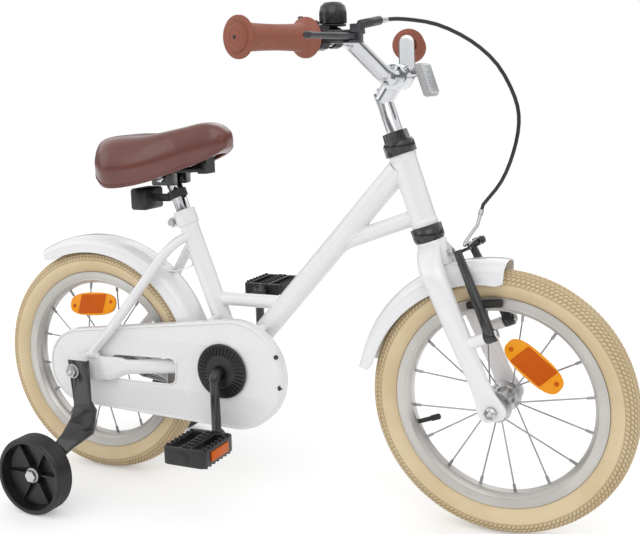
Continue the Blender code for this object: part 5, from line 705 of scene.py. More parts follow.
class SharedEffects:
    """The shader node groups that several finishes use, each built once."""

    @staticmethod
    def _start(name: str, inputs: dict[str, str]) -> tuple[Wiring, dict[str, Socket], bpy.types.Node]:
        """A new group that puts out a colour and a mask."""
        return Wiring.group(name, "ShaderNodeTree", inputs, {"Colour": COLOUR, "Mask": FLOAT})

    @staticmethod
    def _end(
        wiring: Wiring, target: bpy.types.Node, mask: Socket, first: Socket, second: object
    ) -> bpy.types.NodeTree:
        """Ends such a group.

        Args:
            wiring: The group's wiring.
            target: Its output node.
            mask: The mask that it puts out.
            first: The colour where the mask is nought.
            second: The colour where the mask is one.

        Returns:
            The group.
        """
        wiring.feed(target, "Colour", wiring.mixed(mask, first, second))
        wiring.feed(target, "Mask", mask)
        return wiring.tree

    @staticmethod
    @cache
    def tone() -> bpy.types.NodeTree:
        """The group that lets a colour drift gently over a surface.

        Returns:
            The group.
        """
        kinds = {"Colour": COLOUR, "Second": COLOUR, "Scale": FLOAT}
        wiring, given, target = SharedEffects._start("tone_drift", kinds)
        noise = wiring.noise(wiring.spot(), given["Scale"], 3.0)
        mask = wiring.ramped(noise, 0.36, 0.66, 0.0, 1.0)
        return SharedEffects._end(wiring, target, mask, given["Colour"], given["Second"])

    @staticmethod
    @cache
    def grain() -> bpy.types.NodeTree:
        """The group for fine pebbled or rippled relief.

        Returns:
            The group.
        """
        kinds = {"Scale": FLOAT, "Cells": FLOAT}
        wiring, given, target = Wiring.group("fine_grain", "ShaderNodeTree", kinds, {"Height": FLOAT})
        where = wiring.spot()
        noise = wiring.noise(where, given["Scale"], 2.0)
        inputs = {"Vector": where, "Scale": given["Scale"]}
        cells = wiring.add("ShaderNodeTexVoronoi", feature="SMOOTH_F1", inputs=inputs)
        near = wiring.times(cells.outputs["Distance"], given["Cells"])
        wiring.feed(target, "Height", wiring.math("ADD", noise, near))
        return wiring.tree

    @staticmethod
    @cache
    def wear() -> bpy.types.NodeTree:
        """The group that marks rubbed edges, broken up by noise.

        Returns:
            The group.
        """
        kinds = {"Colour": COLOUR, "Bare": COLOUR, "Amount": FLOAT}
        wiring, given, target = SharedEffects._start("edge_wear", kinds)
        pointed = wiring.add("ShaderNodeNewGeometry").outputs["Pointiness"]
        edges = wiring.ramped(pointed, 0.53, 0.62, 0.0, 1.0)
        noise = wiring.noise(wiring.spot(), 160.0, 4.0)
        broken = wiring.ramped(noise, 0.45, 0.62, 0.0, given["Amount"])
        mask = wiring.times(edges, broken)
        return SharedEffects._end(wiring, target, mask, given["Colour"], given["Bare"])

    @staticmethod
    @cache
    def dust() -> bpy.types.NodeTree:
        """The group that lays a thin veil of dust low on the bicycle.

        Returns:
            The group.
        """
        wiring, given, target = SharedEffects._start("dust_veil", {"Colour": COLOUR, "Amount": FLOAT})
        where = wiring.spot()
        noise = wiring.noise(where, 45.0, 5.0)
        height = wiring.add("ShaderNodeSeparateXYZ", inputs={0: where}).outputs[2]
        low = wiring.ramped(height, 0.02, 0.30, 1.0, 0.15)
        patches = wiring.ramped(noise, 0.45, 0.75, 0.0, given["Amount"])
        mask = wiring.times(low, patches)
        return SharedEffects._end(wiring, target, mask, given["Colour"], DUST_COLOUR)


@dataclass(frozen=True)
class Finish:
    """One finish of the bicycle, and the material made from it."""

    name: str
    slot: str
    colour: Colour
    second: Colour
    rough: Pair
    metallic: float = 0.0
    coat: float = 0.0
    surface: Surface = Surface.PEBBLED
    grain: float = 900.0
    relief: float = 0.00003
    drift: float = 9.0
    wear: float = 0.0
    bare: Colour = (0.75, 0.75, 0.75)
    dust: float = 0.10
    gloss: float = 0.5
    # The colour of painted shade in the tread grooves, if any.
    groove: Colour | None = None

    def material(self) -> bpy.types.Material:
        """The finish's material, made the first time it is asked for."""
        made = bpy.data.materials.get(self.name)
        return made if made is not None else self._build()

    def _build(self) -> bpy.types.Material:
        """Wires the material from the shared effects and the finish's own values.

        Returns:
            The new material.
        """
        made = bpy.data.materials.new(self.name)
        made.use_nodes = True
        made.diffuse_color = (*self.colour, 1.0)
        wiring = Wiring(made.node_tree)
        values = {"Colour": (*self.colour, 1.0), "Second": (*self.second, 1.0), "Scale": self.drift}
        tone = wiring.add("ShaderNodeGroup", node_tree=SharedEffects.tone(), inputs=values)
        colour, mask = tone.outputs["Colour"], tone.outputs["Mask"]
        veils = []
        if self.wear:
            veils.append((SharedEffects.wear(), {"Bare": (*self.bare, 1.0), "Amount": self.wear}))
        if self.dust:
            veils.append((SharedEffects.dust(), {"Amount": self.dust}))
        for tree, values in veils:
            veil = wiring.add("ShaderNodeGroup", node_tree=tree, inputs={**values, "Colour": colour})
            colour = veil.outputs["Colour"]
            mask = wiring.math("MAXIMUM", mask, veil.outputs["Mask"])
        # Painted shade: the stored groove mask darkens the tyre's tread grooves towards the groove colour.
        if self.groove:
            depth = wiring.add("ShaderNodeAttribute", attribute_name="groove").outputs["Fac"]
            colour = wiring.mixed(wiring.times(depth, 0.9), colour, (*self.groove, 1.0))
        relief = {"Height": self._height(wiring), "Distance": self.relief, "Strength": 1.0}
        looks = {
            "Base Color": colour,
            "Roughness": wiring.ramped(mask, 0.0, 1.0, *self.rough),
            "Metallic": self.metallic,
            "Coat Weight": self.coat,
            "Coat Roughness": 0.08,
            "Specular IOR Level": self.gloss,
            "Normal": wiring.add("ShaderNodeBump", inputs=relief).outputs[0],
        }
        for key, value in looks.items():
            wiring.feed(made.node_tree.nodes["Principled BSDF"], key, value)
        return made

    def _height(self, wiring: Wiring) -> Socket:
        """The relief's height.

        Args:
            wiring: The material's wiring.

        Returns:
            The height, for a Bump node.
        """
        if self.surface is Surface.BRUSHED:
            inputs = {"Vector": wiring.spot(), "Scale": (0.15, 6.0, 0.15)}
            return wiring.noise(wiring.add("ShaderNodeMapping", inputs=inputs).outputs[0], self.grain, 2.0)
        if self.surface is Surface.PRISMS:
            inputs = {"Vector": wiring.spot(), "Scale": self.grain, "Randomness": 0.0}
            cells = wiring.add("ShaderNodeTexVoronoi", distance="MANHATTAN", inputs=inputs)
            return cells.outputs["Distance"]
        values = {"Scale": self.grain, "Cells": 0.2 if self.surface is Surface.ORANGE_PEEL else 1.1}
        return wiring.add("ShaderNodeGroup", node_tree=SharedEffects.grain(), inputs=values).outputs["Height"]


class Finishes:
    """Every finish on the bicycle."""

    PAINT = Finish(
        "white_gloss_paint", "white_paint", (0.875, 0.875, 0.885), (0.86, 0.862, 0.875), (0.16, 0.26),
        coat=0.8, surface=Surface.ORANGE_PEEL, grain=260.0, wear=0.12, bare=(0.62, 0.62, 0.62), dust=0.03)
    GUARD = Finish(
        "white_moulded_plastic", "white_paint", (0.87, 0.87, 0.878), (0.855, 0.857, 0.867), (0.24, 0.36),
        coat=0.3, surface=Surface.ORANGE_PEEL, grain=340.0, dust=0.03)
    # Cream rubber tyre; its groove colour is painted shade in the tread grooves.
    TYRE = Finish(
        "cream_rubber", "cream_tyre", (0.77, 0.62, 0.395), (0.72, 0.565, 0.345), (0.62, 0.80),
        relief=0.00008, drift=14.0, groove=(0.36, 0.255, 0.135))
    RIM = Finish(
        "anodised_rim", "silver_rim", (0.60, 0.585, 0.56), (0.54, 0.525, 0.50), (0.30, 0.42),
        metallic=0.75, surface=Surface.BRUSHED, relief=0.00002, dust=0.05)
    STEEL = Finish(
        "zinc_steel", "bright_steel", (0.58, 0.58, 0.59), (0.49, 0.49, 0.50), (0.24, 0.40),
        metallic=1.0, surface=Surface.ORANGE_PEEL, grain=700.0, wear=0.3)
    SPOKE = Finish(
        "spoke_wire", "bright_steel", (0.40, 0.40, 0.42), (0.33, 0.33, 0.35), (0.25, 0.35),
        metallic=1.0, surface=Surface.ORANGE_PEEL, relief=0.00002)
    CHROME = Finish(
        "chrome_plate", "chrome", (0.66, 0.67, 0.69), (0.60, 0.61, 0.63), (0.05, 0.12),
        metallic=1.0, surface=Surface.ORANGE_PEEL, grain=120.0, relief=0.00001, dust=0.03)
    BLACK_METAL = Finish(
        "black_enamel", "black_metal", (0.008, 0.008, 0.009), (0.012, 0.012, 0.013), (0.20, 0.32),
        coat=0.4, surface=Surface.ORANGE_PEEL, grain=420.0, wear=0.15, bare=(0.12, 0.12, 0.13), dust=0.012)
    BLACK_PLASTIC = Finish(
        "black_moulded_plastic", "black_plastic", (0.010, 0.010, 0.011), (0.015, 0.015, 0.017), (0.30, 0.44),
        grain=1400.0, wear=0.15, bare=(0.06, 0.06, 0.07), dust=0.015)
    BLACK_RUBBER = Finish(
        "black_rubber_block", "brake_rubber", (0.015, 0.015, 0.015), (0.028, 0.027, 0.026), (0.60, 0.78),
        grain=1000.0, relief=0.00006, dust=0.02)
    CABLE = Finish(
        "cable_housing", "black_plastic", (0.012, 0.012, 0.013), (0.020, 0.020, 0.022), (0.30, 0.42),
        grain=1500.0, relief=0.00002)
    GREY = Finish(
        "grey_centre_plastic", "black_plastic", (0.50, 0.50, 0.51), (0.42, 0.42, 0.43), (0.30, 0.42),
        grain=1200.0, relief=0.00004)
    LEVER = Finish(
        "lever_plastic", "grey_plastic", (0.030, 0.030, 0.036), (0.042, 0.042, 0.050), (0.28, 0.40),
        grain=1600.0, wear=0.15, bare=(0.10, 0.10, 0.11), dust=0.015)
    VINYL = Finish(
        "saddle_vinyl", "brown_vinyl", (0.150, 0.040, 0.028), (0.125, 0.032, 0.022), (0.28, 0.40),
        coat=0.5, grain=650.0, relief=0.00006, drift=16.0, dust=0.02)
    GRIP = Finish(
        "brown_grip_rubber", "brown_rubber", (0.315, 0.096, 0.056), (0.265, 0.079, 0.045), (0.46, 0.62),
        grain=1300.0, relief=0.00007, dust=0.03)
    AMBER_EDGE = Finish(
        "amber_lens_rim", "orange_lens", (0.95, 0.38, 0.010), (0.90, 0.32, 0.008), (0.14, 0.24),
        gloss=0.25, surface=Surface.ORANGE_PEEL, grain=500.0, dust=0.02)
    AMBER = Finish(
        "amber_lens_prisms", "orange_lens", (0.66, 0.125, 0.002), (0.56, 0.090, 0.001), (0.20, 0.30),
        gloss=0.15, surface=Surface.PRISMS, grain=420.0, relief=0.00030, dust=0.0)
    CLEAR = Finish(
        "clear_lens_prisms", "clear_lens", (0.72, 0.74, 0.76), (0.60, 0.62, 0.64), (0.10, 0.18),
        metallic=0.35, coat=0.8, surface=Surface.PRISMS, grain=420.0, relief=0.00050, dust=0.02)


class Bench:
    """Adds finished pieces to the scene and ties each one to the frame."""

    def __init__(self) -> None:
        """Reads which body each node of the frame moves with."""
        groups = frame["record"]["behaviour"]["bodies"]
        self.body_of = {node: body for body, nodes in groups.items() for node in nodes}
        self.count = 0

    def piece(
        self,
        name: str,
        data: Mesh,
        finish: Finish,
        *nodes: str,
        body: str | None = None,
        span: tuple | None = None,
    ) -> bpy.types.Object:
        """Adds a piece that may stand for nodes of the frame.

        Args:
            name: The piece's name.
            data: Its mesh, in its place.
            finish: Its finish.
            *nodes: The frame's nodes that it stands for.
            body: The body it moves with, if it stands for no node.
            span: Two bodies and two points; if given, the piece is baked in its place and tied to no body,
                and these are not used further.

        Returns:
            The piece.
        """
        made = linked(name, data)
        data.materials.clear()
        data.materials.append(finish.material())
        carrier = body or self.body_of[nodes[0]]
        if span:
            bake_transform(made)
        else:
            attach(made, carrier)
        if nodes:
            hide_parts(*nodes)
        self.count += 1
        LOG.info("%s: %d faces on %s, %s", name, len(data.polygons), carrier, finish.name)
        return made

    def smooth_copy(
        self, node: str, finish: Finish, sharp: float = 38.0, span: tuple | None = None
    ) -> bpy.types.Object:
        """Adds a merged, smooth-shaded copy of a node's mesh in its place.

        Args:
            node: The frame's node.
            finish: The copy's finish.
            sharp: The angle in degrees past which an edge stays sharp.
            span: Passed on to the piece, as there.

        Returns:
            The copy.
        """
        made = bmesh.new()
        made.from_mesh(frame["nodes"][node].data)
        bmesh.ops.remove_doubles(made, verts=made.verts, dist=0.000005)
        data = bpy.data.meshes.new(f"{node}_dressed")
        made.to_mesh(data)
        made.free()
        data.shade_smooth()
        data.set_sharp_from_angle(angle=math.radians(sharp))
        return self.piece(f"{node}_dressed", data, finish, node, span=span)


class Grown:
    """Meshes made by node trees with named inputs."""

    @staticmethod
    def tree(name: str, inputs: dict[str, str]) -> tuple[Wiring, dict[str, Socket], bpy.types.Node]:
        """A new geometry tree with its named inputs."""
        shape = {"Geometry": "NodeSocketGeometry"}
        return Wiring.group(name, "GeometryNodeTree", shape | inputs, shape)

    @staticmethod
    def close(wiring: Wiring, geometry: Socket, finish: Finish, target: bpy.types.Node) -> None:
        """Ends a tree in Realize Instances and Set Material.

        Args:
            wiring: The tree's wiring.
            geometry: What the tree has made.
            finish: Its finish.
            target: The tree's output node.
        """
        real = wiring.add("GeometryNodeRealizeInstances", inputs={0: geometry}).outputs[0]
        inputs = {"Geometry": real, "Material": finish.material()}
        wiring.feed(target, "Geometry", wiring.add("GeometryNodeSetMaterial", inputs=inputs).outputs[0])

    @staticmethod
    def run(wiring: Wiring, values: dict[str, object], data: Mesh | None = None) -> Mesh:
        """The plain mesh that a tree makes.

        Args:
            wiring: The tree's wiring.
            values: The tree's inputs by name.
            data: The mesh it starts from, which is removed; if none, one point.

        Returns:
            The made mesh.
        """
        if data is None:
            data = bpy.data.meshes.new("seed")
            data.from_pydata([(0.0, 0.0, 0.0)], [], [])
        source = linked("source", data)
        modifier = source.modifiers.new("grown", "NODES")
        modifier.node_group = wiring.tree
        for item in wiring.tree.interface.items_tree:
            if item.item_type == "SOCKET" and item.in_out == "INPUT" and item.name in values:
                modifier[item.identifier] = values[item.name]
        bpy.context.view_layer.update()
        evaluated = source.evaluated_get(bpy.context.evaluated_depsgraph_get())
        made = bpy.data.meshes.new_from_object(evaluated)
        source.modifiers.remove(modifier)
        bpy.data.objects.remove(source)
        bpy.data.meshes.remove(data)
        return made


UPRIGHT = Matrix.Rotation(math.pi / 2, 4, "X")


def beside(y: float) -> Matrix:
    """A placement at a distance along Y whose plates stand upright."""
    return Matrix.Translation((0.0, y, 0.0)) @ UPRIGHT


def crossing(start: Vector, direction: Vector, other_start: Vector, other_end: Vector) -> Vector:
    """Where a line meets another in the plane of the frame.

    Args:
        start: A point on the line.
        direction: The line's direction.
        other_start: A point on the other line.
        other_end: A further point on that one.

    Returns:
        The point where they meet.
    """
    along, apart = other_end - other_start, other_start - start
    across = direction.x * along.z - direction.z * along.x
    return start + direction * ((apart.x * along.z - apart.z * along.x) / across)


def hexagon(
    form: Form, low: Sequence[float], high: Sequence[float], radius: float, place: Matrix | None = None
) -> None:
    """Adds a hexagon with softened corners to a form.

    Args:
        form: The form.
        low: The centre of one end.
        high: The centre of the other end.
        radius: Its radius to the corners.
        place: Where it goes.
    """
    form.rod(low, high, radius, 6, place, 0.0009)
    middle = (Vector(low) + Vector(high)) / 2
    out = (Vector(high) - Vector(low)).normalized() * 0.0002
    form.rod(middle, Vector(high) + out, radius * 0.84, 24, place, 0.0004)


def chain_stay_centre(x: float) -> Pair:
    """The spread and height of the chain stays at a place along X."""
    height = REAR_AXLE.z + (CRANK_AXIS.z - REAR_AXLE.z) * (x - REAR_AXLE.x) / CRANK_AHEAD
    return 0.0143 + 0.2 * (CRANK_AXIS.x - x), height


@dataclass
class Studio:
    """The floor, the light and the camera."""

    position: Triple = (0.636, -1.2143, 0.5856)
    azimuth: float = 25.684966
    elevation: float = 6.978188
    roll: float = -1.832727
    lens: float = 55.2734
    shift: Pair = (0.01335, -0.09331)
    key_power: float = 15.0
    fill_power: float = 8.0
    back_power: float = 7.0
    world_strength: float = 0.88
    dark_band: float = 0.22

    def build(self) -> None:
        """Makes the floor, the lamps, the world and the camera."""
        self._floor()
        self._lamp("key_light", (0.9, -2.3, 2.5), self.key_power, 2.4)
        self._lamp("fill_light", (-2.4, -1.7, 1.5), self.fill_power, 2.0)
        self._lamp("back_light", (-0.4, 2.4, 2.1), self.back_power, 2.2)
        self._world()
        self._camera()
        bpy.context.scene.view_settings.view_transform = "Standard"

    def _floor(self) -> None:
        """Lays a plain pale floor whose far parts read as white."""
        made = bpy.data.meshes.new("floor")
        made.from_pydata([(-9, -9, 0), (9, -9, 0), (9, 9, 0), (-9, 9, 0)], [], [(0, 1, 2, 3)])
        material = bpy.data.materials.new("pale_floor")
        material.use_nodes = True
        wiring = Wiring(material.node_tree)
        looks = {
            "Base Color": (0.80, 0.80, 0.80, 1.0),
            "Roughness": 0.9,
            "Specular IOR Level": 0.1,
            "Emission Color": WHITE,
            "Emission Strength": wiring.times(self._seen(wiring), 0.33),
        }
        for key, value in looks.items():
            wiring.feed(material.node_tree.nodes["Principled BSDF"], key, value)
        made.materials.append(material)
        floor = linked("floor", made)

    @staticmethod
    def _seen(wiring: Wiring) -> Socket:
        """One for rays from the camera, a mirror or glass, and nought for the rest.

        Args:
            wiring: The wiring of a material or of the world.

        Returns:
            The number's socket.
        """
        path = wiring.add("ShaderNodeLightPath")
        mirrored_rays = wiring.math("MAXIMUM", path.outputs["Is Camera Ray"], path.outputs["Is Glossy Ray"])
        return wiring.math("MAXIMUM", mirrored_rays, path.outputs["Is Transmission Ray"])

    @staticmethod
    def _lamp(name: str, spot: Sequence[float], power: float, size: float) -> None:
        """Hangs a square lamp that faces the bicycle.

        Args:
            name: The lamp's name.
            spot: Where it hangs.
            power: Its power in watts.
            size: The length of its sides.
        """
        light = bpy.data.lights.new(name, "AREA")
        light.energy, light.size = power, size
        lamp = linked(name, light)
        lamp.location = spot
        lamp.rotation_euler = (Vector(spot) - Vector((0.0, 0.0, 0.3))).to_track_quat("Z", "Y").to_euler()

    def _world(self) -> None:
        """Lights the scene evenly and shows white behind it."""
        world = bpy.data.worlds.new("white_room")
        world.use_nodes = True
        wiring = Wiring(world.node_tree)
        world.node_tree.nodes.clear()
        light = wiring.add("ShaderNodeBackground", inputs={0: WHITE, 1: self.world_strength})
        ray = wiring.add("ShaderNodeTexCoord").outputs["Generated"]
        heading = wiring.add("ShaderNodeSeparateXYZ", inputs={0: ray}).outputs
        band = wiring.math("ABSOLUTE", wiring.math("ADD", heading[2], -0.10))
        room = wiring.ramped(band, 0.06, 0.24, self.dark_band, 1.0)
        bounced = wiring.add("ShaderNodeLightPath").outputs["Is Glossy Ray"]
        shown = wiring.math("ADD", 1.0, wiring.times(bounced, wiring.math("ADD", room, -1.0)))
        white = wiring.add("ShaderNodeBackground", inputs={0: WHITE, 1: shown})
        inputs = {0: self._seen(wiring), 1: light.outputs[0], 2: white.outputs[0]}
        mix = wiring.add("ShaderNodeMixShader", inputs=inputs)
        wiring.add("ShaderNodeOutputWorld", inputs={0: mix.outputs[0]})
        bpy.context.scene.world = world

    def _camera(self) -> None:
        """Sets the camera at the photograph's angle."""
        az, el = math.radians(self.azimuth), math.radians(self.elevation)
        back = Vector((math.sin(az) * math.cos(el), -math.cos(az) * math.cos(el), math.sin(el)))
        right = Vector((0.0, 0.0, 1.0)).cross(back).normalized()
        turn = Matrix((right, back.cross(right), back)).transposed().to_4x4()
        data = bpy.data.cameras.new("camera")
        data.lens, data.sensor_width = self.lens, 36.0
        data.shift_x, data.shift_y = self.shift
        camera = linked("camera", data)
        roll = Matrix.Rotation(math.radians(self.roll), 4, "Z")
        camera.matrix_world = Matrix.Translation(self.position) @ turn @ roll
        bpy.context.scene.camera = camera


@dataclass
class Wheel:
    """One spoked wheel with its tyre, rim, hub, spokes, valve and reflector."""

    prefix: str
    axle: Vector
    barrel: float
    flange: float
    ends: tuple[Pair, Pair]
    reflector_place: Pair
    valve_angle: float
    flange_offset: float = 0.026
    spoke_count: int = 16
    spoke_radius: float = 0.00105
    spoke_start: float = math.radians(8.5)
    spoke_lead: float = math.radians(16.0)
    inner_radius: float = 0.120
    tyre_centre: float = 0.1525
    tyre_half: float = 0.0215
    tread_blocks: int = 168
    tread_depth: float = 0.0012
    row_pitch: float = 0.0050
    block_slant: float = 150.0
    line_pitch: float = 0.0024
    line_depth: float = 0.00016

    def build(self, bench: Bench) -> None:
        """Builds and dresses the whole wheel.

        Args:
            bench: What takes the pieces.
        """
        place, name = along_y(self.axle), self.prefix
        tyre = self._tyre()
        tyre.transform(place)
        bench.piece(f"{name}_tyre_cover", tyre, Finishes.TYRE, f"{name}_tyre")
        bench.piece(f"{name}_rim_hoop", self._rim(place), Finishes.RIM, f"{name}_rim")
        bench.piece(f"{name}_hub_shell", self._hub(place), Finishes.STEEL, f"{name}_hub")
        body = bench.body_of[f"{name}_hub"]
        spokes = self._spokes()
        spokes.transform(place)
        bench.piece(f"{name}_spokes", spokes, Finishes.SPOKE, body=body)
        bench.piece(f"{name}_valve", self._valve(place), Finishes.BLACK_RUBBER, body=body)
        edge, panel = self._reflector(place)
        bench.piece(f"{name}_reflector_body", edge, Finishes.AMBER_EDGE, f"{name}_wheel_reflector")
        bench.piece(f"{name}_reflector_panel", panel, Finishes.AMBER, body=body)

    def _tyre(self) -> Mesh:
        """The tyre about its own axle, with its tread pressed in by a node tree.

        Returns:
            Its mesh.
        """
        half = [
            (0.1392, 0.0113), (0.1405, 0.0136), (0.1440, 0.0168), (0.1510, 0.0203), (0.1585, 0.0215),
            (0.1655, 0.0196), (0.1702, 0.0150), (0.1729, 0.0082), (0.1740, 0.0),
        ]
        section = [(0.1318, 0.0106), *spline_rows(half, 5)]
        section += [(r, -h) for r, h in reversed(section[:-1])]
        plain = Form().lathe(section, self.tread_blocks * 5)
        kinds = dict.fromkeys(("Blocks", "Row pitch", "Depth", "Slant"), FLOAT)
        wiring, given, target = Grown.tree("pressed_tread", kinds)
        position = wiring.add("GeometryNodeInputPosition").outputs[0]
        x, y, z = wiring.add("ShaderNodeSeparateXYZ", inputs={0: position}).outputs
        radius = wiring.math("SQRT", wiring.math("MULTIPLY_ADD", x, x, wiring.math("POWER", y, 2.0)))
        outward = wiring.math("SUBTRACT", radius, self.tyre_centre)
        swing = wiring.math("ARCTAN2", wiring.math("ABSOLUTE", z), outward)
        arc_length = wiring.times(swing, self.tyre_half)
        turn = wiring.times(wiring.math("ARCTAN2", y, x), 1.0 / math.tau)
        blocks = wiring.times(turn, given["Blocks"])
        slanted = wiring.math("MULTIPLY_ADD", arc_length, given["Slant"], blocks)
        rows = wiring.math("ADD", wiring.math("DIVIDE", arc_length, given["Row pitch"]), 0.5)
        waves = []
        for value in (slanted, rows):
            share = wiring.math("FRACT", value)
            waves.append(wiring.math("ABSOLUTE", wiring.math("MULTIPLY_ADD", share, 2.0, -1.0)))
        nearest = wiring.math("MAXIMUM", waves[0], wiring.times(waves[1], 0.97))
        groove = wiring.ramped(nearest, 0.52, 0.88, 0.0, 1.0)
        cut = wiring.times(groove, wiring.ramped(swing, 1.25, 1.38, 1.0, 0.0))
        pressed = wiring.times(cut, given["Depth"])
        ripple = wiring.math("SINE", wiring.times(radius, math.tau / self.line_pitch))
        low, high = wiring.ramped(swing, 1.45, 1.55, 0.0, 1.0), wiring.ramped(swing, 2.1, 2.3, 1.0, 0.0)
        lines = wiring.times(wiring.times(ripple, wiring.times(low, high)), self.line_depth)
        depth = wiring.times(wiring.math("ADD", pressed, lines), -1.0)
        normal = wiring.add("GeometryNodeInputNormal").outputs[0]
        inputs = {"Geometry": given["Geometry"], "Offset": wiring.vector("SCALE", normal, "Scale", depth)}
        moved = wiring.add("GeometryNodeSetPosition", inputs=inputs)
        # The groove mask is stored for the material, which paints shade into the grooves with it.
        inputs = {"Geometry": moved.outputs[0], "Name": "groove", "Value": cut}
        kind = "GeometryNodeStoreNamedAttribute"
        marked = wiring.add(kind, data_type="FLOAT", domain="POINT", inputs=inputs)
        Grown.close(wiring, marked.outputs[0], Finishes.TYRE, target)
        values = {"Blocks": float(self.tread_blocks), "Row pitch": self.row_pitch, "Depth": self.tread_depth,
                  "Slant": self.block_slant}
        return Grown.run(wiring, values, plain.data(f"{self.prefix}_tyre", 180.0))

    def _rim(self, place: Matrix) -> Mesh:
        """The rim's hollow hoop.

        Args:
            place: Where the axle is.

        Returns:
            Its mesh.
        """
        half = [
            (0.1275, 0.0092), (0.1290, 0.0112), (0.1382, 0.0116), (0.1392, 0.0122), (0.1390, 0.0134),
            (0.1374, 0.0134), (0.1370, 0.0129), (0.1278, 0.0129), (0.1272, 0.0134), (0.1258, 0.0131),
            (0.1214, 0.0082), (0.1200, 0.0045),
        ]
        return Form().lathe(softened(mirrored(half), 0.0005, steps=2), 144, place).data(f"{self.prefix}_rim")

    def _hub(self, place: Matrix) -> Mesh:
        """The hub shell with its flanges and ends.

        Args:
            place: Where the axle is.

        Returns:
            Its mesh.
        """
        near, far = self.flange_offset - 0.0015, self.flange_offset + 0.0015
        (left_radius, left), (right_radius, right) = self.ends
        barrel, flange, waist = self.barrel, self.flange, self.barrel * 0.94
        points = [
            (left_radius, left), (left_radius + 0.001, far + 0.001), (flange * 0.62, far), (flange, far),
            (flange, near), (flange * 0.66, near), (barrel, near - 0.002), (waist, near - 0.006),
            (waist, -near + 0.006), (barrel, -near + 0.002), (flange * 0.66, -near), (flange, -near),
            (flange, -far), (flange * 0.62, -far), (right_radius + 0.001, -far - 0.001),
            (right_radius, -right), (0.0054, -right), (0.0054, left),
        ]
        return Form().lathe(softened(points, 0.0007), 64, place).data(f"{self.prefix}_hub")

    def _spokes(self) -> Mesh:
        """All spokes about the wheel's own axle, with their nipples and bent heads, from one node tree.

        Returns:
            Its mesh.
        """
        sizes = ("Root radius", "Rim radius", "Flange offset", "Lead", "Wire radius")
        wiring, given, target = Grown.tree("laced_spokes", {"Count": WHOLE} | dict.fromkeys(sizes, FLOAT))
        index = wiring.add("GeometryNodeInputIndex").outputs[0]
        side = wiring.math("MULTIPLY_ADD", wiring.math("MODULO", index, 2.0), 2.0, -1.0)
        pair = wiring.math("MODULO", wiring.math("FLOOR", wiring.math("DIVIDE", index, 2.0)), 2.0)
        lead = wiring.times(wiring.math("MULTIPLY_ADD", pair, 2.0, -1.0), given["Lead"])
        share = wiring.math("DIVIDE", index, given["Count"])
        rim_angle = wiring.math("MULTIPLY_ADD", share, -math.tau, -self.spoke_start)
        hub_angle = wiring.math("ADD", rim_angle, lead)
        start = wiring.polar(given["Root radius"], hub_angle, wiring.times(side, given["Flange offset"]))
        end = wiring.polar(given["Rim radius"], rim_angle, wiring.times(side, 0.001))
        apart = wiring.vector("SUBTRACT", end, 1, start)
        length = wiring.add("ShaderNodeVectorMath", operation="LENGTH", inputs={0: apart}).outputs["Value"]
        turn = wiring.add("FunctionNodeAlignRotationToVector", axis="Z", inputs={"Vector": apart}).outputs[0]
        joined = wiring.add("GeometryNodeJoinGeometry")
        wire = given["Wire radius"]
        for shape, where, stretch, turned in (
            (wiring.cylinder(wire, 1.0), 0.5, length, turn),
            (wiring.cylinder(wiring.times(wire, 1.9), 0.012), 0.955, 1.0, turn),
            (wiring.cylinder(0.0019, 0.0060), 0.0, 1.0, None),
        ):
            spot = wiring.vector("ADD", start, 1, wiring.vector("SCALE", apart, "Scale", where))
            points = wiring.add("GeometryNodePoints", inputs={"Count": given["Count"], "Position": spot})
            scale = wiring.combine(1.0, 1.0, stretch)
            inputs = {"Points": points.outputs[0], "Instance": shape, "Scale": scale}
            if turned is not None:
                inputs["Rotation"] = turned
            wiring.feed(joined, 0, wiring.add("GeometryNodeInstanceOnPoints", inputs=inputs).outputs[0])
        Grown.close(wiring, joined.outputs[0], Finishes.SPOKE, target)
        values = {
            "Count": self.spoke_count, "Root radius": self.flange - 0.003,
            "Rim radius": self.inner_radius + 0.0008, "Flange offset": self.flange_offset,
            "Lead": self.spoke_lead, "Wire radius": self.spoke_radius,
        }
        made = Grown.run(wiring, values)
        made.shade_smooth()
        made.set_sharp_from_angle(angle=math.radians(60.0))
        return made

    def _valve(self, place: Matrix) -> Mesh:
        """The valve stem and its ribbed cap.

        Args:
            place: Where the axle is.

        Returns:
            Its mesh.
        """
        angle = -self.valve_angle
        out = Vector((math.cos(angle), math.sin(angle), 0.0))
        form = Form().rod(out * 0.1215, out * 0.1010, 0.0031, 20, place)
        cap = [(0.0, 0.0), (0.0030, 0.0), (0.0036, 0.0008)]
        for rib in range(4):
            cap += [(0.0042, 0.0020 + rib * 0.0026), (0.0037, 0.0033 + rib * 0.0026)]
        cap += [(0.0042, 0.0124), (0.0, 0.0124)]
        form.lathe(cap, 20, place @ pointing(out * 0.0885, out), False)
        return form.data(f"{self.prefix}_valve")

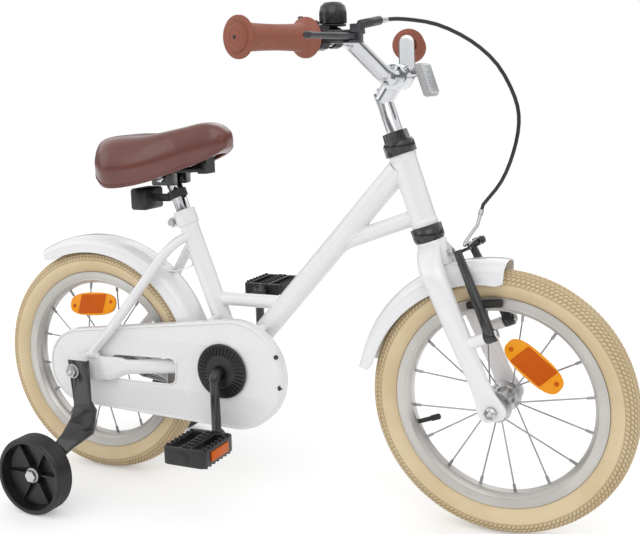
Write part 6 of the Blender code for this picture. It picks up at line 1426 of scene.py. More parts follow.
    def _reflector(self, place: Matrix) -> tuple[Mesh, Mesh]:
        """The wheel reflector's pale frame and its darker ribbed panel.

        Args:
            place: Where the axle is.

        Returns:
            The frame's mesh and the panel's.
        """
        radius, angle = self.reflector_place
        slope = self.flange_offset / (self.inner_radius - self.flange)
        offset = slope * (self.inner_radius - radius) + 0.0044
        outward = Vector((math.cos(-angle), math.sin(-angle), 0.0))
        tilted = (outward + Vector((0.0, 0.0, slope))).normalized()
        square = Vector((-outward.y, outward.x, 0.0))
        spot = place @ axes_at(outward * radius - Vector((0, 0, offset)), square, tilted.cross(square))
        outline = []
        for x, y in circle(1.0, 64):
            wide = math.copysign(abs(x) ** 0.75, x) * 0.043
            outline.append((wide, math.copysign(abs(y) ** 0.72, y) * 0.0178))
        edge = Form().plate([outline], 0.0044, 0.0009, spot)
        for sign in (-1, 1):
            bar = [Vector((sign * 0.0270, sign * -0.0150, 0.0)), Vector((sign * 0.0215, sign * 0.0160, 0.0))]
            edge.sweep(bar, 0.0031, 12, spot)
        panel_line = [(-0.0225, -0.0145), (0.0270, -0.0150), (0.0225, 0.0145), (-0.0270, 0.0150)]
        panel = Form().plate([softened(panel_line, 0.004)], 0.0060, 0.0006, spot)
        for sign in (-1, 1):
            x, y = sign * 0.0345, sign * -0.0030
            panel.rod((x, y, -0.0027), (x, y, 0.0027), 0.0031, 16, spot)
        return edge.data(f"{self.prefix}_reflector"), panel.data(f"{self.prefix}_reflector_panel")


@dataclass
class FrameTubes:
    """The welded frame: head, down, brace and seat tubes, stays and dropouts."""

    head_radius: float = 0.0175
    down_radius: float = 0.016
    brace_radius: float = 0.011
    seat_radius: float = 0.0143
    strut_radius: float = 0.0098
    shell_radius: float = 0.0278
    shell_half: float = 0.034
    bead: float = 0.0017
    dropout_spread: float = 0.0545
    seat_stay_spread: float = 0.0568

    def build(self, bench: Bench) -> None:
        """Builds and dresses the tubes.

        Args:
            bench: What takes the pieces.
        """
        brace_head = STEERING @ Vector((0.0, 0.0, HEAD_TUBE_BOTTOM + 0.0154))
        slope = Vector((-math.cos(math.radians(20.0)), 0.0, -math.sin(math.radians(20.0))))
        brace_end = crossing(brace_head, slope, CRANK_AXIS, DOWN_TUBE_HEAD)
        down = (DOWN_TUBE_HEAD - CRANK_AXIS).normalized()
        bench.piece("head_tube_shell", self._head(), Finishes.PAINT, "head_tube")
        form = Form()
        self._tube(form, CRANK_AXIS + down * 0.022, DOWN_TUBE_HEAD - down * 0.012, self.down_radius)
        self._weld(form, DOWN_TUBE_HEAD, -down, self.down_radius, STEER_UP, self.head_radius)
        self._weld(form, CRANK_AXIS, down, self.down_radius, Vector((0, 1, 0)), self.shell_radius)
        bench.piece("down_tube_run", form.data("down_tube"), Finishes.PAINT, "down_tube")
        form = Form()
        self._tube(form, brace_head + slope * 0.012, brace_end - slope * 0.004, self.brace_radius)
        self._weld(form, brace_head, slope, self.brace_radius, STEER_UP, self.head_radius)
        self._weld(form, brace_end, -slope, self.brace_radius, down, self.down_radius)
        bench.piece("brace_tube_run", form.data("brace_tube"), Finishes.PAINT, "brace_tube")
        bench.piece("seat_tube_group", self._seat(down), Finishes.PAINT, "seat_tube")
        for side in Side:
            name = f"chain_stay_{side.label}"
            bench.piece(f"chain_stay_run_{side.label}", self._chain_stay(side), Finishes.PAINT, name)
            name = f"seat_stay_{side.label}"
            bench.piece(f"seat_stay_run_{side.label}", self._seat_stay(side), Finishes.PAINT, name)

    @staticmethod
    def _tube(form: Form, start: Vector, end: Vector, radius: float) -> None:
        """Adds one straight round tube."""
        form.sweep([start, start.lerp(end, 0.5), end], radius, 40)

    def _weld(
        self, form: Form, start: Vector, heading: Vector, radius: float, axis: Vector, big: float
    ) -> None:
        """Adds the weld bead where a tube leaves a wider one.

        Args:
            form: The form that gets the bead.
            start: Where the tube's axis meets the wider tube's.
            heading: The direction in which the tube leaves.
            radius: The tube's radius.
            axis: The wider tube's direction.
            big: The wider tube's radius.
        """
        first = heading.cross(Vector((0, 1, 0)))
        first = first.normalized() if first.length > 0.1 else Vector((1, 0, 0))
        second = heading.cross(first)
        axis = axis.normalized()
        flat = heading - axis * heading.dot(axis)
        path = []
        for step in range(48):
            angle = math.tau * step / 48
            rim = (first * math.cos(angle) + second * math.sin(angle)) * radius
            side = rim - axis * rim.dot(axis)
            a, b, c = flat.dot(flat), flat.dot(side), side.dot(side) - big**2
            reach = (-b + math.sqrt(max(b * b - a * c, 0.0))) / a
            ripple = 0.0002 * math.sin(step * math.tau / 4)
            path.append(start + rim + heading * (reach + ripple))
        form.sweep(path, self.bead, 8, loop=True)

    def _head(self) -> Mesh:
        """The head tube with its thickened ends.

        Returns:
            Its mesh.
        """
        r, low, high = self.head_radius, HEAD_TUBE_BOTTOM, HEAD_TUBE_TOP
        points = [
            (r + 0.0008, low), (r + 0.0008, low + 0.006), (r, low + 0.0085), (r, high - 0.0085),
            (r + 0.0008, high - 0.006), (r + 0.0008, high), (r - 0.0025, high), (r - 0.0025, low),
        ]
        return Form().lathe(softened(points, 0.0006), 48, STEERING).data("head_tube")

    def _seat(self, down: Vector) -> Mesh:
        """The seat tube with the crank shell, the strut and the clamp collar.

        Args:
            down: The down tube's direction, from the crank up.

        Returns:
            Its mesh.
        """
        form = Form()
        top = SEAT_TOP.translation
        self._tube(form, CRANK_AXIS + SEAT_UP * 0.024, top - SEAT_UP * 0.0005, self.seat_radius)
        shell = [
            (self.shell_radius, -self.shell_half), (self.shell_radius, self.shell_half),
            (self.shell_radius - 0.0024, self.shell_half), (self.shell_radius - 0.0024, -self.shell_half),
        ]
        form.lathe(softened(shell, 0.0008), 56, along_y(CRANK_AXIS))
        self._weld(form, CRANK_AXIS, SEAT_UP, self.seat_radius, Vector((0, 1, 0)), self.shell_radius)
        level = Vector((CRANK_AXIS.x, 0.0, 0.283))
        ahead = Vector((1.0, 0.0, 0.0))
        start = crossing(level, ahead, CRANK_AXIS, top)
        end = crossing(level, ahead, CRANK_AXIS, DOWN_TUBE_HEAD)
        self._tube(form, start + ahead * 0.008, end - ahead * 0.012, self.strut_radius)
        self._weld(form, start, ahead, self.strut_radius, SEAT_UP, self.seat_radius)
        self._weld(form, end, -ahead, self.strut_radius, down, self.down_radius)
        collar = [(0.0165, -0.022), (0.0165, 0.0), (0.0160, 0.0006), (0.0119, 0.0006), (0.0119, -0.022)]
        form.lathe(softened(collar, 0.0008), 48, SEAT_TOP)
        for side in Side:
            centre = (-0.0212, side.value * 0.0034, -0.0105)
            form.box((0.0126, 0.0042, 0.015), centre, 0.0016, SEAT_TOP)
        return form.data("seat_tube")

    def _chain_stay(self, side: Side) -> Mesh:
        """One chain stay that flattens into its dropout plate.

        Args:
            side: The side it is on.

        Returns:
            Its mesh.
        """
        start, end = CRANK_AXIS.x - 0.012, REAR_AXLE.x + 0.081
        rows = []
        for index in range(4):
            x = start + (end - start) * index / 3
            spread, height = chain_stay_centre(x)
            rows.append((x, spread, height, 0.0066, 0.011, 2.4))
        middle = REAR_AXLE.x + 0.0665
        spread, height = chain_stay_centre(middle)
        rows.append((middle, spread + 0.0015, height, 0.0046, 0.0150, 3.0))
        rows.append((REAR_AXLE.x + 0.050, self.dropout_spread, 0.1760, 0.0020, 0.0180, 5.0))
        rows.append((REAR_AXLE.x + 0.036, self.dropout_spread, 0.1760, 0.0016, 0.0165, 6.0))
        rings = [
            oval((x, side.value * y, z), (0, 1, 0), (0, 0, 1), (wide, tall), power, 28)
            for x, y, z, wide, tall, power in spline_rows(rows, 5)
        ]
        form = Form().loft(rings)
        slot = arc((0.0, 0.0), 0.0052, math.pi / 2, -math.pi / 2, 12)
        outline = [
            (0.056, 0.0110), (0.044, 0.0195), (0.006, 0.0220), (-0.013, 0.0185), (-0.020, 0.0095),
            (-0.020, 0.0052), *slot, (-0.020, -0.0052), (-0.020, -0.0080), (-0.013, -0.0150),
            (0.006, -0.0180), (0.044, -0.0155), (0.056, -0.0080),
        ]
        outline = [(REAR_AXLE.x + x, REAR_AXLE.z + z) for x, z in outline]
        place = beside(side.value * self.dropout_spread)
        form.plate([softened(outline, 0.003, steps=2)], 0.004, 0.0006, place)
        return form.data(f"chain_stay_{side.label}")

    def _seat_stay(self, side: Side) -> Mesh:
        """One curved seat stay down to its dropout.

        Args:
            side: The side it is on.

        Returns:
            Its mesh.
        """
        top = SEAT_TOP @ Vector((0.0, side.value * 0.0072, -0.038))
        foot, out = REAR_AXLE.z + 0.0225, side.value * self.seat_stay_spread
        points = [
            top,
            (top.x - 0.013, side.value * 0.0190, top.z - 0.0075),
            (top.x - 0.028, side.value * 0.0330, top.z - 0.0240),
            (REAR_AXLE.x + 0.106, side.value * 0.0460, REAR_AXLE.z + 0.126),
            (REAR_AXLE.x + 0.066, out, REAR_AXLE.z + 0.073),
            (REAR_AXLE.x + 0.029, out, REAR_AXLE.z + 0.034),
            (REAR_AXLE.x + 0.022, out, foot),
        ]
        path = smooth_path(points, 7)
        radii = [1.0 - 0.12 * max(0.0, 1.0 - index / 7) for index in range(len(path))]
        form = Form().sweep(path, 0.0074, 28, radii=radii)
        end = path[-1]
        form.box((0.022, 0.0070, 0.010), (end.x - 0.001, side.value * 0.0560, foot - 0.002), 0.0022)
        return form.data(f"seat_stay_{side.label}")


@dataclass
class Mudguards:
    """The two mudguards with their brackets."""

    wall: float = 0.0014
    rear_radius: float = 0.196
    rear_half: float = 0.0262
    rear_skirt: float = 0.0235
    rear_angles: Pair = (math.radians(20.0), math.radians(118.5))
    front_radius: float = 0.190
    front_half: float = 0.027
    front_angles: Pair = (math.radians(84.0), math.radians(168.7))
    front_shift: Pair = (-0.007, -0.002)
    skirt_radii: Pair = (0.1550, 0.1740)

    def build(self, bench: Bench) -> None:
        """Builds and dresses both mudguards.

        Args:
            bench: What takes the pieces.
        """
        bench.piece("rear_mudguard", self._rear(), Finishes.PAINT, "rear_fender")
        sheet, screw = self._front()
        bench.piece("front_mudguard", sheet, Finishes.PAINT, "front_fender")
        bench.piece("crown_bolt", screw, Finishes.STEEL, body="fork")

    def _sheet(
        self,
        form: Form,
        centre: Vector,
        angles: Pair,
        crown: float,
        half: float,
        skirt: Callable[[float], float],
    ) -> None:
        """Adds one curved sheet with rolled edges.

        Args:
            form: The form that gets it.
            centre: The centre of its curve.
            angles: Where it starts and ends.
            crown: The radius of its crown.
            half: Half its width.
            skirt: The radius of its lower edge at an angle.
        """
        rings, edges = [], {Side.RIGHT: [], Side.LEFT: []}
        steps = 72
        for index in range(steps + 1):
            share = index / steps
            angle = angles[0] + (angles[1] - angles[0]) * share
            tail = min(index, steps - index)
            inset = 0.0060 * (1 - min(tail / 4, 1.0)) ** 2
            lower = skirt(angle) + inset
            shoulder = crown - (crown - lower) * 0.30
            corners = [(lower, -half), (shoulder, -half), (crown, -half * 0.45), (crown, half * 0.45),
                       (shoulder, half), (lower, half)]
            outer = softened(corners, 0.0085, closed=False, steps=5)
            shrink = (half - self.wall) / half
            inner = [(radius - self.wall * 0.8, y * shrink) for radius, y in reversed(outer)]
            inner[0] = (outer[-1][0], outer[-1][1] * shrink)
            inner[-1] = (outer[0][0], outer[0][1] * shrink)
            ring = [
                centre + Vector((radius * math.cos(angle), y, radius * math.sin(angle)))
                for radius, y in outer + inner
            ]
            rings.append(ring)
            edges[Side.RIGHT].append(ring[0])
            edges[Side.LEFT].append(ring[len(outer) - 1])
        form.loft(rings)
        for path in edges.values():
            form.sweep(path, 0.0011, 8)

    @staticmethod
    def _strip(form: Form, points: Sequence[Vector], place: Matrix | None = None) -> None:
        """Adds a bracket of flat strip along points in the frame's plane.

        Args:
            form: The form that gets it.
            points: The middle of the strip.
            place: Where it goes.
        """
        rings = []
        for index, point in enumerate(points):
            before, after = points[max(index - 1, 0)], points[min(index + 1, len(points) - 1)]
            forward = (after - before).normalized()
            normal = Vector((-forward.z, 0.0, forward.x)) * 0.001
            rings.append(oval(point, (0, 1, 0), normal * 1000, (0.007, 0.001), 8.0, 16))
        form.loft(rings, place)

    def _rear(self) -> Mesh:
        """The rear mudguard and its bracket to the seat tube.

        Returns:
            Its mesh.
        """
        form = Form()
        self._sheet(form, REAR_AXLE, self.rear_angles, self.rear_radius, self.rear_half,
                    lambda angle: self.rear_radius - self.rear_skirt)
        angle = math.radians(50.0)
        foot = REAR_AXLE + Vector((math.cos(angle), 0.0, math.sin(angle))) * (self.rear_radius - 0.001)
        level = Vector((0.0, 0.0, foot.z + 0.024))
        seat_point = crossing(level, Vector((1, 0, 0)), CRANK_AXIS, SEAT_TOP.translation)
        away = Vector((-SEAT_UP.z, 0.0, SEAT_UP.x))
        head = seat_point + away * 0.0156
        path = smooth_path([
            foot - Vector((0.012, 0.0, -0.010)), foot + Vector((0.006, 0.0, -0.0035)),
            head - SEAT_UP * 0.012, head + SEAT_UP * 0.012,
        ], 5)
        self._strip(form, path)
        form.rod(head, head + away * 0.0030, 0.0036, 20)
        out = Vector((math.cos(angle + 0.05), 0.0, math.sin(angle + 0.05)))
        form.rod(REAR_AXLE + out * 0.1950, REAR_AXLE + out * 0.1982, 0.0036, 20)
        return form.data("rear_mudguard")

    def _front(self) -> tuple[Mesh, Mesh]:
        """The front mudguard with its tab, and the bolt at the fork crown.

        Returns:
            The mudguard's mesh and the bolt's.
        """
        centre = FRONT_AXLE + Vector((self.front_shift[0], 0.0, self.front_shift[1]))
        first, last = self.front_angles

        def skirt(angle: float) -> float:
            """The lower edge's radius about the shifted centre.

            Args:
                angle: The place round the wheel.

            Returns:
                The edge's radius there.
            """
            near, far = self.skirt_radii
            radius = near + (far - near) * ((angle - first) / (last - first)) ** 0.8
            return radius - (self.front_shift[0] * math.cos(angle) + self.front_shift[1] * math.sin(angle))

        form = Form()
        self._sheet(form, centre, self.front_angles, self.front_radius, self.front_half, skirt)
        low, high, bolt = 0.1825, 0.2115, 0.2035
        self._strip(form, [Vector((-0.0192, 0.0, low)), Vector((-0.0214, 0.0, high))], STEERING)
        screw = Form().rod((-0.026, 0, bolt), (0.0235, 0, bolt), 0.003, 16, STEERING)
        hexagon(screw, (0.0205, 0, bolt), (0.0255, 0, bolt), 0.0065, STEERING)
        return form.data("front_mudguard"), screw.data("crown_bolt")


@dataclass
class ChainGuard:
    """The white case over the chain."""

    depth: float = 0.017
    wall: float = 0.002
    front_centre: Pair = (-0.056, 0.184)
    front_radius: float = 0.0785
    rear_centre: Pair = (-0.326, 0.172)
    rear_radius: float = 0.058
    crank_hole: float = 0.034
    axle_hole: float = 0.0135
    slot: tuple[Pair, ...] = ((0.0480, 0.0230), (0.1650, 0.0262), (0.1620, -0.0145), (0.0370, -0.0155))
    screws: tuple[Pair, ...] = ((0.0130, 0.2166), (0.0174, 0.1730))

    def build(self, bench: Bench) -> None:
        """Builds and dresses the case and its screws.

        Args:
            bench: What takes the pieces.
        """
        form = Form()
        slot = softened([(REAR_AXLE.x + x, REAR_AXLE.z + z) for x, z in self.slot], 0.013, steps=8)
        holes = [
            circle(self.crank_hole, 64, (CRANK_AXIS.x, CRANK_AXIS.z)),
            circle(self.axle_hole, 40, (REAR_AXLE.x, REAR_AXLE.z)),
            slot,
        ]
        form.plate([self._outline(0.0004), *holes], self.wall, 0.0006, beside(-GUARD_FACE + self.wall / 2))
        wall = [self._outline(0.0), self._outline(self.wall)]
        form.plate(wall, self.depth, 0.0007, beside(-GUARD_FACE + self.depth / 2 - 0.0004))
        lip_y = -GUARD_FACE - 0.0002
        for outline in (self._outline(0.0022), slot, holes[0]):
            path = [Vector((x, lip_y, z)) for x, z in outline]
            form.sweep(path, 0.0014, 10, loop=True)
        for end, radius, reach in (
            (DOWN_TUBE_HEAD, FrameTubes.down_radius, 0.0835),
            (SEAT_TOP.translation, FrameTubes.seat_radius, 0.0725),
        ):
            spot = CRANK_AXIS + (end - CRANK_AXIS).normalized() * reach
            form.rod((spot.x, -0.0320, spot.z), (spot.x, -radius + 0.002, spot.z), 0.005, 24)
        bench.piece("chain_case", form.data("chain_case"), Finishes.GUARD, "chain_guard")
        heads = Form()
        for x, z in self.screws:
            heads.rod((x, -GUARD_FACE + 0.001, z), (x, -GUARD_FACE - 0.0016, z), 0.0036, 24, edge=0.0009)
        bench.piece("chain_case_screws", heads.data("chain_case_screws"), Finishes.BLACK_METAL, body="frame")

    def _outline(self, inset: float) -> list[Pair]:
        """The case's outline in side view."""
        front, rear = self.front_radius - inset, self.rear_radius - inset
        return belt(self.front_centre, front, self.rear_centre, rear, 56)


@dataclass
class Drive:
    """The crank's cover, the chain and the pedals."""

    length: float = 0.089
    cover_radius: float = 0.040
    rib_count: int = 36
    pedal_width: float = 0.079
    pedal_length: float = 0.066
    pedal_height: float = 0.024
    link_count: int = 60
    ring_teeth: int = 28
    sprocket_teeth: int = 16

    def build(self, bench: Bench) -> None:
        """Builds and dresses the drive.

        Args:
            bench: What takes the pieces.
        """
        bench.piece("crank_cover_disc", self._cover(), Finishes.BLACK_PLASTIC, "crank_cover")
        ribs = self._ribs()
        bench.piece("crank_cover_ribs", ribs, Finishes.BLACK_PLASTIC, body="crank")
        bench.piece("chain_links", self._chain(), Finishes.BLACK_METAL, "chain")
        for side in Side:
            body, lens = self._pedal(side)
            node = f"pedal_{side.label}"
            bench.piece(f"{node}_cage", body, Finishes.BLACK_PLASTIC, node)
            bench.piece(f"{node}_reflectors", lens, Finishes.AMBER, body=bench.body_of[node])

    def _cover(self) -> Mesh:
        """The round cover's dished disc with its raised centre.

        Returns:
            Its mesh.
        """
        inner = GUARD_FACE + 0.0009
        outer, r = inner + 0.009, self.cover_radius
        points = [
            (0.015, -0.0406), (0.015, -inner - 0.0035), (r * 0.92, -inner), (r, -inner - 0.0015),
            (r * 0.965, -inner - 0.0040), (r * 0.80, -outer + 0.0045), (0.0240, -outer + 0.0020),
            (0.0210, -outer), (0.0125, -outer), (0.0088, -outer + 0.0005), (0.0088, -0.0406),
        ]
        return Form().lathe(softened(points, 0.0008), 72, along_y(CRANK_AXIS)).data("crank_cover_disc")

    def _ribs(self) -> Mesh:
        """The cover's radial ribs, from a node tree.

        Returns:
            Its mesh.
        """
        kinds = {"Count": WHOLE, "Ring radius": FLOAT, "Rib size": VECTOR, "Lean": FLOAT, "Height": FLOAT}
        wiring, given, target = Grown.tree("cover_ribs", kinds)
        index = wiring.add("GeometryNodeInputIndex").outputs[0]
        angle = wiring.times(wiring.math("DIVIDE", index, given["Count"]), math.tau)
        spot = wiring.polar(given["Ring radius"], angle, given["Height"])
        points = wiring.add("GeometryNodePoints", inputs={"Count": given["Count"], "Position": spot})
        rib = wiring.add("GeometryNodeMeshCube", inputs={"Size": given["Rib size"]}).outputs[0]
        leaned = wiring.moved(rib, (0.0, 0.0, 0.0), wiring.combine(0.0, given["Lean"], 0.0))
        turn = wiring.combine(0.0, 0.0, angle)
        inputs = {"Points": points.outputs[0], "Instance": leaned, "Rotation": turn}
        ring = wiring.add("GeometryNodeInstanceOnPoints", inputs=inputs)
        Grown.close(wiring, ring.outputs[0], Finishes.BLACK_PLASTIC, target)
        values = {"Count": self.rib_count, "Ring radius": 0.0305, "Rib size": (0.0125, 0.0014, 0.0011),
                  "Lean": -0.20, "Height": -0.0547}
        made = Grown.run(wiring, values)
        made.transform(along_y(CRANK_AXIS))
        return made

    def _chain(self) -> Mesh:
        """The link chain round both sprockets, from a node tree.

        Returns:
            Its mesh.
        """
        large, small = (
            CHAIN_PITCH / (2 * math.sin(math.pi / teeth)) for teeth in (self.ring_teeth, self.sprocket_teeth)
        )
        loop = belt((CRANK_AXIS.x, CRANK_AXIS.z), large, (REAR_AXLE.x, REAR_AXLE.z), small, 40)
        seed = bpy.data.meshes.new("chain_path")
        count = len(loop)
        seed.from_pydata([(x, 0.0, z) for x, z in loop], [(i, (i + 1) % count) for i in range(count)], [])
        kinds = {"Links": WHOLE, "Plate height": FLOAT, "Roller radius": FLOAT}
        wiring, given, target = Grown.tree("link_chain", kinds)
        curve = wiring.add("GeometryNodeMeshToCurve", inputs={"Mesh": given["Geometry"]}).outputs[0]
        dense = wiring.add("GeometryNodeResampleCurve", inputs={"Curve": curve, "Count": given["Links"]})
        inputs = {"Vector": wiring.add("GeometryNodeInputTangent").outputs[0]}
        turn = wiring.add("FunctionNodeAlignRotationToVector", axis="X", pivot_axis="Y", inputs=inputs)
        odd = wiring.math("MODULO", wiring.add("GeometryNodeInputIndex").outputs[0], 2.0)
        joined = wiring.add("GeometryNodeJoinGeometry")
        quarter, half, height = (math.pi / 2, 0.0, 0.0), CHAIN_PITCH / 2, given["Plate height"]
        for offset, chosen in ((0.0021, odd), (0.0032, wiring.math("SUBTRACT", 1.0, odd))):
            link = wiring.add("GeometryNodeJoinGeometry")
            for sign in (-1.0, 1.0):
                size = wiring.combine(CHAIN_PITCH, 0.0010, height)
                web = wiring.add("GeometryNodeMeshCube", inputs={"Size": size}).outputs[0]
                wiring.feed(link, 0, wiring.moved(web, (0.0, sign * offset, 0.0)))
                for end in (-half, half):
                    eye = wiring.cylinder(wiring.times(height, 0.62), 0.0010, 10)
                    wiring.feed(link, 0, wiring.moved(eye, (end, sign * offset, 0.0), quarter))
            roller = wiring.cylinder(given["Roller radius"], 0.0050, 10)
            wiring.feed(link, 0, wiring.moved(roller, (half, 0.0, 0.0), quarter))
            inputs = {"Points": dense.outputs[0], "Selection": chosen, "Instance": link.outputs[0],
                      "Rotation": turn.outputs[0]}
            wiring.feed(joined, 0, wiring.add("GeometryNodeInstanceOnPoints", inputs=inputs).outputs[0])
        Grown.close(wiring, joined.outputs[0], Finishes.BLACK_METAL, target)
        values = {"Links": self.link_count, "Plate height": 0.0062, "Roller radius": 0.0034}
        made = Grown.run(wiring, values, seed)
        made.transform(Matrix.Translation((0.0, -CHAIN_LINE, 0.0)))
        return made

    def _pedal(self, side: Side) -> tuple[Mesh, Mesh]:
        """One pedal's cage and its two reflectors.

        Args:
            side: The side it is on.

        Returns:
            The cage's mesh and the reflectors'.
        """
        sign = side.value
        centre = Vector((0.0, -sign * self.length, sign * (0.079 + self.pedal_width / 2)))
        place = along_y(CRANK_AXIS) @ Matrix.Translation(centre) @ UPRIGHT
        long, wide, bar = self.pedal_length / 2, self.pedal_width / 2, 0.008
        inside = wide - bar
        outlines = [softened([(-long, -wide), (long, -wide), (long, wide), (-long, wide)], 0.009, steps=6)]
        for way in (-1, 1):
            near, far = sorted((way * 0.0095, way * (long - bar)))
            hole = [(near, -inside), (far, -inside), (far, inside), (near, inside)]
            outlines.append(softened(hole, 0.003))
        form = Form().plate(outlines, self.pedal_height, 0.0018, place)
        form.rod((0, -wide - 0.001, 0), (0, wide + 0.002, 0), 0.0088, 28, place, 0.0015)
        for way in (-1, 1):
            for row in range(7):
                y = (row - 3) * 0.0098
                for x in (way * (long - bar / 2), way * 0.0035):
                    form.box((0.0052, 0.0034, self.pedal_height + 0.0048), (x, y, 0.0), 0.0009, place)
        lens = Form()
        size = (0.0034, self.pedal_width * 0.55, self.pedal_height * 0.55)
        for way in (-1, 1):
            lens.box(size, (way * (long + 0.0006), 0.0, 0.0), 0.0008, place)
        return form.data("pedal_cage"), lens.data("pedal_reflectors")


@dataclass
class ForkSet:
    """The fork with its crown and brake posts."""

    steerer_radius: float = 0.0127
    crown: tuple[Pair, ...] = ((0.0, 0.1900), (0.0165, 0.1900), (0.0180, 0.1915), (0.0205, 0.2235),
                               (0.0195, 0.2249), (0.0, 0.2249))
    blades: tuple[tuple[float, ...], ...] = (
        (0.2230, 0.0, 0.0070, 0.0150, 0.0120, 2.5),
        (0.2080, 0.0, 0.0230, 0.0168, 0.0140, 2.5),
        (0.1880, 0.0030, 0.0385, 0.0170, 0.0115, 2.4),
        (0.1650, 0.0068, 0.0430, 0.0158, 0.0105, 2.3),
        (0.1250, 0.0108, 0.0455, 0.0150, 0.0095, 2.2),
        (0.0700, 0.0163, 0.0470, 0.0140, 0.0075, 2.2),
        (0.0300, 0.0202, 0.0477, 0.0135, 0.0042, 2.6),
        (0.0125, 0.0219, 0.0475, 0.0160, 0.0025, 5.0),
        (0.0, 0.0232, 0.0475, 0.0185, 0.0025, 5.0),
        (-0.0080, 0.0237, 0.0475, 0.0160, 0.0025, 5.0),
        (-0.0120, 0.0240, 0.0475, 0.0110, 0.0023, 5.0),
    )
    post_offset: float = 0.0465

    def build(self, bench: Bench) -> None:
        """Builds and dresses the fork.

        Args:
            bench: What takes the pieces.
        """
        form = Form().rod((0, 0, 0.2005), (0, 0, 0.3703), self.steerer_radius, 36, STEERING)
        form.lathe(self.crown, 48, STEERING, False)
        posts = Form()
        ahead = Vector((math.cos(POST_TILT), 0.0, math.sin(POST_TILT)))
        for side in Side:
            rings = [
                oval((x, side.value * y, z), (1, 0, 0), (0, 1, 0), (fore, across), power, 32)
                for z, x, y, fore, across, power in spline_rows(self.blades, 5)
            ]
            form.loft(rings, STEERING)
            root = Vector((POST_ROOT[0], side.value * self.post_offset, POST_ROOT[1]))
            form.rod(root + ahead * 0.002, root + ahead * 0.0315, 0.008, 28, STEERING)
            posts.rod(root + ahead * 0.031, root + ahead * 0.0460, 0.004, 20, STEERING)
            hexagon(posts, root + ahead * 0.0455, root + ahead * 0.0492, 0.0065, STEERING)
        bench.piece("fork_blades", form.data("fork_blades"), Finishes.PAINT, "fork")
        bench.piece("brake_post_bolts", posts.data("brake_post_bolts"), Finishes.STEEL, body="fork")


@dataclass
class FrontBrake:
    """The front brake's arms, pads, noodle and cable."""

    noodle_path: tuple[Triple, ...] = (
        (0.0425, -0.0050, 0.1480), (0.0330, -0.0170, 0.1325), (0.0128, -0.0435, 0.1162),
        (0.0128, -0.0130, 0.1162),
    )
    noodle_radius: float = 0.0024
    wire_radius: float = 0.0008
    arm_offset: float = 0.0385

    def build(self, bench: Bench) -> None:
        """Builds and dresses the brake.

        Args:
            bench: What takes the pieces.
        """
        for side in Side:
            bench.smooth_copy(f"brake_arm_{side.label}", Finishes.BLACK_METAL)
            bench.smooth_copy(f"brake_pad_{side.label}", Finishes.BLACK_RUBBER)
        ahead = Vector((math.cos(POST_TILT), 0.0, math.sin(POST_TILT)))
        root = Vector((POST_ROOT[0], 0.0, POST_ROOT[1])) + ahead * self.arm_offset
        plane = STEERING @ axes_at(root, ahead, (-ahead.z, 0.0, ahead.x))
        form = Form().sweep(rounded(self.noodle_path, 0.0045), self.noodle_radius, 20, plane)
        end = Vector(self.noodle_path[-1])
        form.sweep([end - Vector((0, 0.001, 0)), Vector((end.x, 0.0405, end.z))], self.wire_radius, 8, plane)
        tip = Vector(self.noodle_path[0])
        form.rod(tip, tip.lerp(Vector(self.noodle_path[1]), 0.3), 0.0034, 20, plane)
        bench.piece("brake_noodle_tube", form.data("brake_noodle_tube"), Finishes.STEEL, "brake_noodle")
        low = plane @ tip
        points = [vert.co.copy() for vert in frame["nodes"]["brake_cable"].data.vertices]
        high = max(points, key=lambda point: (point - low).length)
        bench.smooth_copy("brake_cable", Finishes.CABLE, 60.0, ("fork", "cockpit", low, high))
        near = [point for point in points if (point - high).length < 0.005]
        along = [point for point in points if 0.008 < (point - high).length < 0.020]
        mouth = sum(near, Vector()) / len(near)
        heading = (sum(along, Vector()) / len(along) - mouth).normalized()
        barrel = Form().rod(mouth - heading * 0.001, mouth + heading * 0.0085, 0.0036, 24, None, 0.0006)
        barrel.rod(mouth + heading * 0.008, mouth + heading * 0.0130, 0.0029, 24)
        bench.piece("lever_barrel", barrel.data("lever_barrel"), Finishes.STEEL, body="cockpit")


